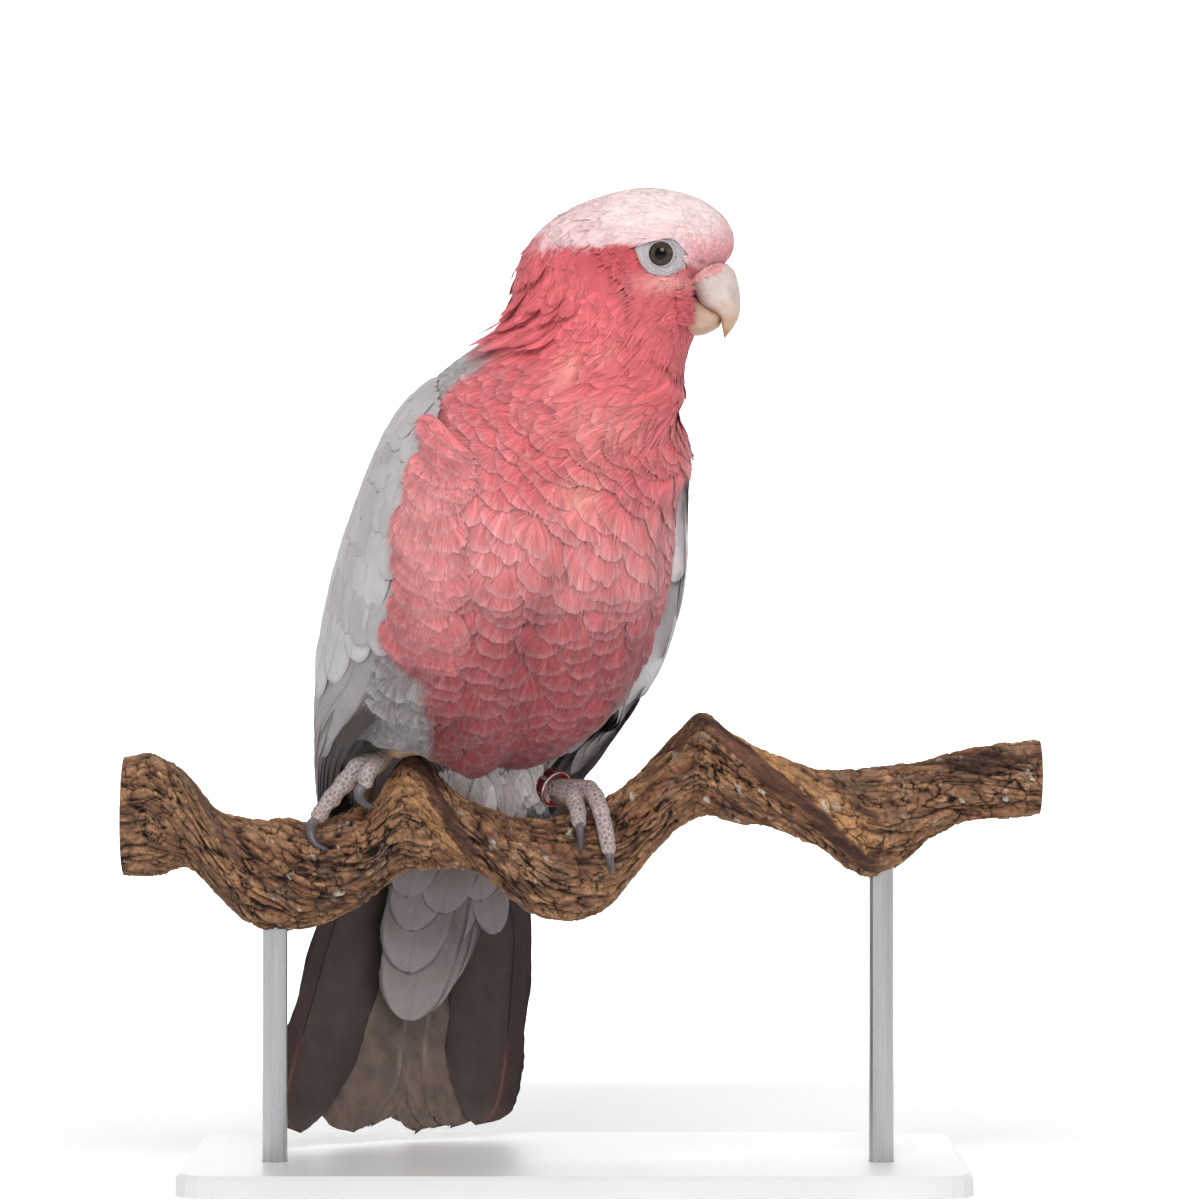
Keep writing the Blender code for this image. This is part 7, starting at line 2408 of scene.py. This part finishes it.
def claw(key):
    P = np.array(CLAWS[key], float)
    toe_end = np.array(TOES[key][0][-1], float)
    P = np.concatenate([[P[0] * 0.45 + toe_end * 0.55], P])
    t = np.concatenate([[0], np.cumsum(np.linalg.norm(np.diff(P, axis=0), axis=1))])
    nq, sides = 30, 16
    q = np.linspace(0, 1, nq)
    Cc = spline(t, P, q * t[-1])
    T = unit(np.gradient(Cc, axis=0))
    bend = unit(P[-1] - 2 * P[len(P) // 2] + P[0])      # towards the inside of the curve
    N = unit(bend[None] - (T * bend).sum(-1, keepdims=True) * T)
    B = np.cross(T, N)
    r = CLAW_R * 0.96 * np.maximum(1 - q**1.7, 0) ** 0.72 * (0.80 + 0.20 * smooth(0, 0.2, q)) + 0.10
    a = np.linspace(0, 2 * pi, sides, endpoint=False)
    ca, sa = np.cos(a), np.sin(a)
    # a keel on the outer curve, a shallow groove below
    rr = 1 + 0.10 * np.maximum(-ca, 0) ** 3 - 0.14 * np.maximum(ca, 0) ** 4
    V = Cc[:, None] + (N[:, None] * (ca * rr * 1.08)[None, :, None] + B[:, None] * (sa * 0.82)[None, :, None]) * r[:, None, None]
    F = grid_quads(nq, sides, wrap=True)
    V = np.concatenate([V.reshape(-1, 3), [Cc[-1] + T[-1] * 0.15]])
    j = np.arange(sides)
    tip = np.stack([(nq - 1) * sides + j, (nq - 1) * sides + (j + 1) % sides, np.full(sides, nq * sides)], -1)
    tone = 0.5 + 0.5 * fbm(V, 1.6, 2, 3)
    qq = np.append(np.repeat(q, sides), 1.0)
    c = mix(lin(92, 86, 90), lin(56, 52, 56), smooth(0.15, 0.7, qq) * 0.9)
    c = mix(c, lin(132, 118, 118), 0.5 * (1 - smooth(0.10, 0.3, qq)))
    c = mix(c, lin(118, 112, 116), 0.35 * tone * smooth(0.2, 0.5, qq) * (1 - smooth(0.8, 1, qq)))
    ang = np.append(np.tile(a, nq), 0)
    va = np.stack([np.cos(ang) * 2, qq * t[-1], np.sin(ang) * 2], -1)
    uv = np.stack([0.02 + 0.96 * ang / (2 * pi), 0.02 + 0.96 * qq], -1)
    vol = (V[F[:, 0]] * np.cross(V[F[:, 1]], V[F[:, 2]])).sum()
    make("claw_%s_horn" % key, V, [F, tip], M_CLAW, c, uv, attrs={"Vane": va},
         replaces=("claw_%s" % key,))


for _k in CLAWS:
    claw(_k)


# ---------------------------------------------------------------- leg ring
def ring_materials():
    m = Nodes("ring enamel")
    v = m.coords()
    n1 = m.noise(v, 420.0, 3.0)
    n2 = m.noise(v, 2600.0, 2.0)
    col = m.mix_col(m.remap(n1, 0.35, 0.65, 0.0, 1.0), tuple(lin(92, 20, 24)), tuple(lin(122, 28, 32)))
    m.link(col, m.p.inputs["Base Color"])
    m.link(m.remap(n2, 0.3, 0.7, 0.28, 0.46), m.p.inputs["Roughness"])
    m.set(Metallic=0.35)
    m.link(m.bump(n2, 0.2, 0.00003), m.p.inputs["Normal"])
    enamel = m.mat
    m = Nodes("ring metal")
    v = m.coords()
    n1 = m.noise(v, 1800.0, 3.0)
    col = m.mix_col(n1, tuple(lin(190, 186, 184)), tuple(lin(226, 222, 220)))
    m.link(col, m.p.inputs["Base Color"])
    m.link(m.remap(n1, 0.3, 0.7, 0.25, 0.42), m.p.inputs["Roughness"])
    m.set(Metallic=0.9)
    metal = m.mat
    m = Nodes("ring inside")
    v = m.coords()
    n1 = m.noise(v, 700.0, 3.0)
    col = m.mix_col(n1, tuple(lin(176, 34, 36)), tuple(lin(206, 52, 50)))
    m.link(col, m.p.inputs["Base Color"])
    m.set(Roughness=0.4)
    return enamel, metal, m.mat


RING_AX = unit(np.array(RING_AXIS, float))
_ru = unit(np.cross(RING_AX, UP))
_rw = np.cross(RING_AX, _ru)


def lathe_ring(prof, sides=96):
    """A closed ring from (radius, height, kind) around the ring's own axis."""
    a = np.linspace(0, 2 * pi, sides, endpoint=False)
    cir = _ru * np.cos(a)[:, None] + _rw * np.sin(a)[:, None]
    C0 = np.array(RING_AT, float)
    rows = [C0 + RING_AX * h + cir * r for r, h in prof]
    V = np.concatenate(rows)
    n = len(prof)
    i = np.arange(n)[:, None]
    j = np.arange(sides)[None, :]
    k = (j + 1) % sides
    q = np.stack(np.broadcast_arrays(i * sides + j, i * sides + k, ((i + 1) % n) * sides + k, ((i + 1) % n) * sides + j), -1)
    uv = np.stack([np.broadcast_to(j / sides, (n, sides)), np.broadcast_to(i / n, (n, sides))], -1).reshape(-1, 2)
    return V, q.reshape(n, sides, 4), uv


def build_ring():
    enamel, metal, inside = ring_materials()
    o, i, h = RING_OUT, RING_IN, RING_LONG / 2
    prof = [(i, -h + 0.3), (i + 0.12, -h + 0.05), (o - 0.30, -h), (o - 0.06, -h + 0.22), (o, -h + 0.45), (o, -h + 0.62),
            (o - 0.10, -h + 0.70), (o - 0.10, h - 0.70), (o, h - 0.62), (o, h - 0.45), (o - 0.06, h - 0.22), (o - 0.30, h),
            (i + 0.12, h - 0.05), (i, h - 0.3)]
    kinds = [2, 2, 1, 1, 1, 1, 0, 1, 1, 1, 1, 2, 2, 2]
    V, q, uv = lathe_ring(prof)
    F = q.reshape(-1, 4)
    mat_i = np.repeat(kinds, q.shape[1])
    base = len(V)
    # plain figures: thin raised strokes bent round the band
    seg = {"a": ((0, 1), (1, 1)), "b": ((1, 1), (1, 0.5)), "c": ((1, 0.5), (1, 0)), "d": ((0, 0), (1, 0)),
           "e": ((0, 0.5), (0, 0)), "f": ((0, 1), (0, 0.5)), "g": ((0, 0.5), (1, 0.5))}
    digits = {1: "bc", 2: "abged", 3: "abgcd", 4: "fgbc", 5: "afgcd", 6: "afgecd", 7: "abc", 8: "abcdefg", 9: "abfgcd", 0: "abcdef"}
    r = o - 0.02
    VV, FF, at0 = [], [], 0
    for dnum, (num, ang) in enumerate(zip((1, 2, 3, 4, 5, 6, 7, 8), np.radians(np.arange(8) * 45 + 10))):
        for sgm in digits[num]:
            (x0, y0), (x1, y1) = seg[sgm]
            w = 0.085
            p0, p1 = np.array([x0 * 1.0, y0 * 1.7]), np.array([x1 * 1.0, y1 * 1.7])
            d = (p1 - p0) / np.linalg.norm(p1 - p0)
            nn = np.array([-d[1], d[0]]) * w
            c4 = np.array([p0 - d * w - nn, p1 + d * w - nn, p1 + d * w + nn, p0 - d * w + nn]) - [0.5, 0.85]
            for rad in (r, r - 0.12):
                al = ang + c4[:, 0] / r
                VV.append(np.array(RING_AT) + RING_AX * c4[:, 1][:, None] + (_ru * np.cos(al)[:, None] + _rw * np.sin(al)[:, None]) * rad)
            FF += [[at0, at0 + 1, at0 + 2, at0 + 3]]
            FF += [[at0 + (m_ + 1) % 4, at0 + m_, at0 + 4 + m_, at0 + 4 + (m_ + 1) % 4] for m_ in range(4)]
            at0 += 8
    VV = np.concatenate(VV)
    FF = np.array(FF) + base
    mat_i = np.concatenate([mat_i, np.full(len(FF), 1)])
    uv = np.concatenate([uv, np.tile([[0.5, 0.5]], (len(VV), 1))])
    return np.concatenate([V, VV]), np.concatenate([F, FF]), uv, (enamel, metal, inside), mat_i


_V, _F, _uv, _mats, _mi = build_ring()
make("leg_ring_band", _V, _F, _mats[0], None, _uv, replaces=("leg_ring",), mats=_mats, mat_index=_mi)


# ------------------------------------------------------------- thighs' down
def thigh_down(side):
    rng = np.random.default_rng(71 if side == "left" else 72)
    P, R = THIGHS[side]
    top = np.array(P[-1], float) * 1.9 - np.array(P[-2], float) * 0.9
    foot = np.array(TARSI[side][0][-1], float)
    P = np.concatenate([[foot * 0.4 + np.array(P[0]) * 0.6], P, [top]])
    R = np.concatenate([[3.9], R, [7.4]])
    Cc, r, u = dense(P, R, 0.5)
    T, N, B = frames_along(Cc)
    cnt = 300
    k = rng.uniform(0.10, 1.0, cnt) ** 0.9 * (len(Cc) - 1)
    al = rng.uniform(-pi, pi, cnt)
    ip = np.arange(len(Cc))

    def on(kk, aa, h):
        c = np.stack([np.interp(kk, ip, Cc[:, j]) for j in range(3)], -1)
        n1 = np.stack([np.interp(kk, ip, N[:, j]) for j in range(3)], -1)
        b1 = np.stack([np.interp(kk, ip, B[:, j]) for j in range(3)], -1)
        rr = np.interp(kk, ip, r)
        out = n1 * np.cos(aa)[..., None] + b1 * np.sin(aa)[..., None]
        return c + out * (rr + h)[..., None]
    per = u[-1] / (len(Cc) - 1)
    L = rng.uniform(4.2, 6.2, cnt)
    W = rng.uniform(3.0, 4.2, cnt)
    yaw = rng.normal(0, 0.2, cnt)

    def surf(idx, l, w, rise, hh, pl):
        kk = k[idx, None, None] - (l * np.cos(yaw)[idx, None, None]) / per
        low = np.minimum(kk, 0)
        rr = np.interp(np.clip(kk, 0, len(Cc) - 1), ip, r)
        aa = al[idx, None, None] + (w + l * np.sin(yaw)[idx, None, None]) / rr
        p = on(np.clip(kk, 0, len(Cc) - 1), aa, 0.2 + 0.9 * rise + hh)
        return p + T[0] * (low * per)[..., None], None

    def colour(p, aux, idx, pl, pw):
        t = 0.5 + 0.5 * fbm(p, 4.0, 2, 66)
        return mix(lin(232, 214, 210), lin(216, 182, 178), t * 0.8)
    uv = (al / (2 * pi) % 1.0 * 0.96 + 0.02, 0.02 + 0.96 * k / len(Cc))
    soft("down_thigh_%s" % side, surf, colour, cnt, L, W, 9, 4, M_COAT, uv, seed=73, spikes=16, spike=1.0, cup=0.05,
         slot="leg_down", shaft=0, tip_mix=0.3, tip_col=lin(240, 228, 224), root_mix=0.0)


for _side in ("right", "left"):
    thigh_down(_side)


# =====================================================================
#                              the vine
# =====================================================================
def bark_material():
    m = Nodes("vine bark")
    c = m.attr("Col").outputs["Color"]
    v = m.coords()
    n1 = m.noise(v, 1.0, 5.0, 0.65, (180.0, 520.0, 520.0))
    n2 = m.noise(v, 900.0, 4.0, 0.6)
    f = m.math("MULTIPLY", m.remap(n1, 0.28, 0.72, 0.60, 1.38), m.remap(n2, 0.3, 0.7, 0.74, 1.26))
    col = m.scale_col(c, f)
    m.link(col, m.p.inputs["Base Color"])
    m.link(m.remap(n2, 0.3, 0.7, 0.72, 0.95), m.p.inputs["Roughness"])
    m.p.inputs["Specular IOR Level"].default_value = 0.3
    b = m.bump(n1, 0.8, 0.0009)
    m.link(m.bump(n2, 0.7, 0.0004, b), m.p.inputs["Normal"])
    return m.mat


def crack_net(G, cell, seed, warp=0.35):
    """0 in the middle of an irregular plate, 1 on the crack round it, with a
    random number of the plate."""
    q = G / np.asarray(cell, float)
    w = np.stack([fbm(G + 31.7 * j, np.asarray(cell, float) * 0.9, 2, seed + j) for j in range(3)], -1)
    q = q + warp * w
    base = np.floor(q).astype(np.int64)
    f1 = np.full(q.shape[:-1], 9.0)
    f2 = f1.copy()
    who = np.zeros(q.shape[:-1])
    for a in (-1, 0, 1):
        for b in (-1, 0, 1):
            for c in (-1, 0, 1):
                k = base + np.array([a, b, c])
                h = [_hash(k[..., 0], k[..., 1], k[..., 2], seed + 11 * j) for j in range(4)]
                p = k + 0.5 + 0.42 * (np.stack(h[:3], -1) * 2 - 1)
                d = np.linalg.norm(p - q, axis=-1)
                less = d < f1
                f2 = np.where(less, f1, np.minimum(f2, d))
                who = np.where(less, h[3], who)
                f1 = np.where(less, d, f1)
    return f2 - f1, who


def build_perch():
    n, m = 760, 240
    x = np.linspace(PERCH_ENDS[0], PERCH_ENDS[1], n)
    al = np.linspace(0, 2 * pi, m, endpoint=False)
    X, A = np.meshgrid(x, al, indexing="ij")
    yc, zc, rv, ry, turn = perch_mid(X)
    P = perch(X, A)
    cen = np.stack([X, yc, zc], -1)
    out = unit(P - cen)
    # the grain winds with the vine
    w = A - 0.35 * turn
    R = (rv + ry) / 2
    G = np.stack([X, R * np.sin(w), R * np.cos(w)], -1)
    long_ = fbm(G, np.array([26.0, 5.0, 5.0]), 4, 3)
    fine = fbm(G, np.array([9.0, 1.5, 1.5]), 3, 7)
    plates = fbm(G, np.array([7.0, 4.0, 4.0]), 3, 13)
    crack = 1 - np.abs(fbm(G, np.array([15.0, 2.7, 2.7]), 3, 21))
    crack = np.clip((crack - 0.86) / 0.14, 0, 1) ** 1.5
    cross = 1 - np.abs(fbm(G, np.array([2.6, 6.0, 6.0]), 2, 27))
    cross = np.clip((cross - 0.90) / 0.10, 0, 1) ** 1.4 * smooth(-0.1, 0.35, plates)
    big, wb = crack_net(G, (7.5, 4.6, 4.6), 201)
    small, ws = crack_net(G, (3.6, 2.5, 2.5), 231, 0.5)
    deep = 0.55 + 0.45 * smooth(-0.3, 0.3, fbm(G, 18.0, 2, 241))
    net = smooth(0.12, 0.01, big) * deep + 0.45 * smooth(0.12, 0.02, small) * deep
    net = np.clip(net, 0, 1.15)

    def streak(pts, width, soft=1.0):
        """A band that follows points (x, angle from the top to the front)."""
        pts = np.array(pts, float)
        mid = np.interp(X, pts[:, 0], np.radians(pts[:, 1]))
        d = (A - mid + pi) % (2 * pi) - pi
        on = smooth(pts[0, 0] - 4, pts[0, 0] + 4, X) * (1 - smooth(pts[-1, 0] - 4, pts[-1, 0] + 4, X))
        arc = np.abs(d) * R + 2.2 * plates + 1.4 * fine
        return on * (1 - smooth(width - soft, width + soft, arc))

    smooth_bark = np.maximum(
        streak([(-66, 8), (-56, 38), (-48, 75), (-40, 118)], 3.8),
        streak([(27, -8), (36, 30), (46, 52), (66, 92), (80, 128), (90, 150)], 4.2))
    peeled = np.maximum(
        streak([(-70, 30), (-60, 62), (-52, 96), (-44, 132)], 4.0) * 0.9,
        streak([(36, -10), (48, 22), (60, 48), (74, 80), (86, 110)], 6.0))
    peeled = np.clip(peeled - smooth_bark, 0, 1)
    dark = streak([(108, 35), (118, 50), (128, 40)], 6.0, 2.0) * smooth(-0.2, 0.3, plates + 0.4)
    rough = 1 - 0.85 * smooth_bark
    h = (1.15 * long_ + 0.55 * fine + 0.75 * plates) * rough - (1.15 * crack + 0.7 * cross + 0.65 * net) * rough
    h = h + rough * (0.50 * (wb - 0.5) + 0.28 * (ws - 0.5)) * (1 - net)
    h = h + 0.45 * smooth_bark - 0.35 * peeled
    h = h * smooth(0, 2.0, np.minimum(X - PERCH_ENDS[0], PERCH_ENDS[1] - X))
    P = P + out * (h - 0.05)[..., None]
    tone = 0.5 + 0.5 * np.clip(1.3 * long_ + 0.8 * plates, -1, 1)
    tone = np.clip(tone + 0.55 * (wb - 0.5) + 0.45 * (ws - 0.5), 0, 1)
    col = mix(lin(108, 77, 60), lin(164, 122, 90), tone)
    col = mix(col, lin(196, 150, 108), 0.55 * smooth(0.10, 0.55, fine + 0.3 * plates + 0.5 * (ws - 0.5)))
    red = smooth(0.1, 0.6, fbm(G, np.array([20.0, 7.0, 7.0]), 3, 61))
    col = mix(col, lin(128, 74, 50), 0.45 * red)
    grey = smooth(0.15, 0.6, fbm(G, 14.0, 3, 67))
    col = mix(col, lin(138, 122, 106), 0.35 * grey)
    col = mix(col, lin(34, 22, 17), np.clip(0.9 * crack + 0.8 * cross + 0.75 * net, 0, 1) * rough)
    # painted shade: the bark darker where its surface sinks
    col = col * (1 - 0.22 * smooth(0.0, -1.1, h))[..., None]
    col = mix(col, lin(196, 146, 100), 0.70 * peeled * (1 - 0.8 * net))
    red_bark = mix(lin(58, 36, 30), lin(112, 74, 58), np.clip(0.5 + 1.1 * fine + 0.8 * long_, 0, 1))
    col = mix(col, red_bark, 0.92 * smooth_bark)
    col = mix(col, lin(52, 38, 32), 0.75 * dark)
    # flecks of pale lichen
    lich = smooth(0.42, 0.62, fbm(G, 3.4, 3, 71)) * smooth(0.0, 0.4, fbm(G, 22.0, 2, 73) + 0.15) * (1 - smooth_bark)
    col = mix(col, lin(205, 200, 186), 0.8 * lich)
    P = P + out * (0.25 * lich)[..., None]
    return x, al, P, col, n, m


def vine():
    x, al, P, col, n, m = build_perch()
    V = [P.reshape(-1, 3)]
    CO = [col.reshape(-1, 3)]
    q = grid_quads(n, m, wrap=True)
    F = [q]
    base = n * m
    caps = []
    # the sawn ends: rings in to the middle, with growth rings in colour
    for end, sign in ((0, -1), (n - 1, 1)):
        rim = P[end]
        c = rim.mean(0)
        k = 26
        prev = end * m + np.arange(m)
        for i in range(1, k):
            f = 1 - i / k
            ringp = c + (rim - c) * f
            pp = ringp.copy()
            rr = np.linalg.norm(ringp - c, axis=-1)
            wob = noise(pp, 6.0, 5)
            pp[:, 0] = rim[:, 0].mean() + sign * (0.12 * np.sin((rr + wob) * 2 * pi / 1.5) + 0.15 * noise(pp, 1.4, 6)) * min(1, i / 2)
            bark = 1 - smooth(0.86, 0.93, np.full(m, 1 - f))
            v = 0.5 + 0.5 * np.sin((rr + 0.8 * wob) * 2 * pi / 1.5)
            cc = mix(lin(158, 128, 92), lin(206, 178, 136), v)
            cc = mix(cc, lin(96, 70, 50), smooth(0.86, 0.92, np.full(m, f)))
            cc = mix(cc, lin(120, 88, 62), smooth(0.12, 0.05, np.full(m, f)))
            cc = cc * (1 + 0.08 * noise(pp, 0.9, 9))[:, None]
            V.append(pp)
            CO.append(cc)
            cur = base + np.arange(m)
            a, b = prev, np.roll(prev, -1)
            c2, d = np.roll(cur, -1), cur
            quad = np.stack([a, b, c2, d], -1)
            F.append(quad if sign > 0 else quad[:, ::-1])
            prev = cur
            base += m
        V.append(V[-1].mean(0)[None])
        CO.append(CO[-1].mean(0)[None])
        tri = np.stack([prev, np.roll(prev, -1), np.full(m, base)], -1)
        caps.append(tri if sign > 0 else tri[:, ::-1])
        base += 1
    V = np.concatenate(V)
    quads = np.concatenate(F)
    caps = np.concatenate(caps)
    t = V[q[:, 0]], V[q[:, 1]], V[q[:, 2]]
    cen = np.repeat(P.mean(1), m, 0)[q[:, 0] if False else np.arange(len(q)) // m * m]
    s = (np.cross(t[1] - t[0], t[2] - t[0]) * (t[0] - P.mean(1)[np.arange(len(q)) // m])).sum()
    if s < 0:
        quads, caps = quads[:, ::-1], caps[:, ::-1]
    return make("vine_bark", V, [quads, caps], bark_material(), np.concatenate(CO), replaces=("perch",))


vine()


# =====================================================================
#                  stand, floor, light and camera
# =====================================================================
def stand_materials():
    m = Nodes("stand board")
    v = m.coords()
    n1 = m.noise(v, 14.0, 4.0)
    n2 = m.noise(v, 1600.0, 2.0)
    col = m.mix_col(m.remap(n1, 0.3, 0.7, 0.0, 1.0), tuple(lin(226, 226, 224)), tuple(lin(236, 236, 235)))
    m.link(col, m.p.inputs["Base Color"])
    m.link(m.remap(n1, 0.3, 0.7, 0.36, 0.5), m.p.inputs["Roughness"])
    m.link(m.bump(n2, 0.12, 0.00015), m.p.inputs["Normal"])
    board = m.mat
    m = Nodes("stand steel")
    v = m.coords()
    n1 = m.noise(v, 1.0, 3.0, 0.6, (3000.0, 3000.0, 60.0))
    col = m.mix_col(n1, tuple(lin(176, 177, 180)), tuple(lin(214, 215, 217)))
    m.link(col, m.p.inputs["Base Color"])
    m.link(m.remap(n1, 0.3, 0.7, 0.24, 0.40), m.p.inputs["Roughness"])
    m.p.inputs["Metallic"].default_value = 1.0
    m.link(m.bump(n1, 0.15, 0.00005), m.p.inputs["Normal"])
    return board, m.mat


BOARD, STEEL = stand_materials()
for node, mat in (("stand_base", BOARD), ("stand_rod_1", STEEL), ("stand_rod_2", STEEL)):
    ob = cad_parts[node]
    for slot_ in ob.material_slots:
        slot_.material = mat


def sweep_floor():
    """A white floor that curves up into the wall behind."""
    prof = [(-2.2, 0.0), (0.9, 0.0), (1.6, 0.0)]
    prof += [(1.6 + 0.8 * np.sin(a), 0.8 - 0.8 * np.cos(a)) for a in np.linspace(0.1, pi / 2, 14)]
    prof += [(2.4, 3.2)]
    xs = np.linspace(-3.0, 3.0, 7)
    V = [(x * 1000, y * 1000, z * 1000) for y, z in prof for x in xs]
    q = grid_quads(len(prof), len(xs))
    m = Nodes("studio floor")
    m.p.inputs["Base Color"].default_value = (0.90, 0.90, 0.90, 1)
    m.set(Roughness=0.9)
    m.p.inputs["Specular IOR Level"].default_value = 0.1
    m.p.inputs["Emission Color"].default_value = (1.0, 1.0, 1.0, 1.0)
    m.p.inputs["Emission Strength"].default_value = 0.16
    ob = make("studio_floor", np.array(V), q, m.mat, ride=False)


sweep_floor()


def area(name, at, to, size, power, colour=(1, 1, 1)):
    d = bpy.data.lights.new(name, "AREA")
    d.shape = "RECTANGLE"
    d.size, d.size_y = size
    d.energy = power
    d.color = colour
    ob = bpy.data.objects.new(name, d)
    bpy.context.scene.collection.objects.link(ob)
    ob.location = at
    ob.rotation_euler = (Vector(to) - Vector(at)).to_track_quat("-Z", "Y").to_euler()
    ob.visible_camera = False
    return ob


area("key", (-0.06, -1.30, 1.12), (0, 0, 0.2), (0.62, 0.62), 13.6)
area("fill_right", (1.15, -0.9, 0.75), (0, 0, 0.2), (0.8, 0.8), 3.6)
area("fill_left", (-1.3, -0.5, 0.65), (0, 0, 0.2), (0.8, 1.0), 2.6)
area("top", (0.0, 0.25, 1.35), (0, 0, 0.2), (1.2, 1.0), 4.0)
area("back_floor", (0.0, 0.55, 0.9), (0, 1.7, 0.6), (2.2, 1.4), 26.0)
area("back_wall", (0.0, 1.35, 0.95), (0, 2.4, 0.7), (2.2, 1.4), 20.0)

world = bpy.data.worlds.new("studio")
bpy.context.scene.world = world
world.use_nodes = True
bg = world.node_tree.nodes["Background"]
bg.inputs["Color"].default_value = (1, 1, 1, 1)
bg.inputs["Strength"].default_value = 0.30

cam = bpy.data.cameras.new("camera")
cam.sensor_width = 36.0
cam.lens = 150.0
cam.clip_start = 0.05
cam.clip_end = 20.0
co = bpy.data.objects.new("camera", cam)
bpy.context.scene.collection.objects.link(co)
co.location = (0.0, -1.600, 0.1865)
co.rotation_euler = (pi / 2, 0, 0)
bpy.context.scene.camera = co
bpy.context.scene.view_settings.view_transform = "Standard"
bpy.context.scene.view_settings.look = "None"
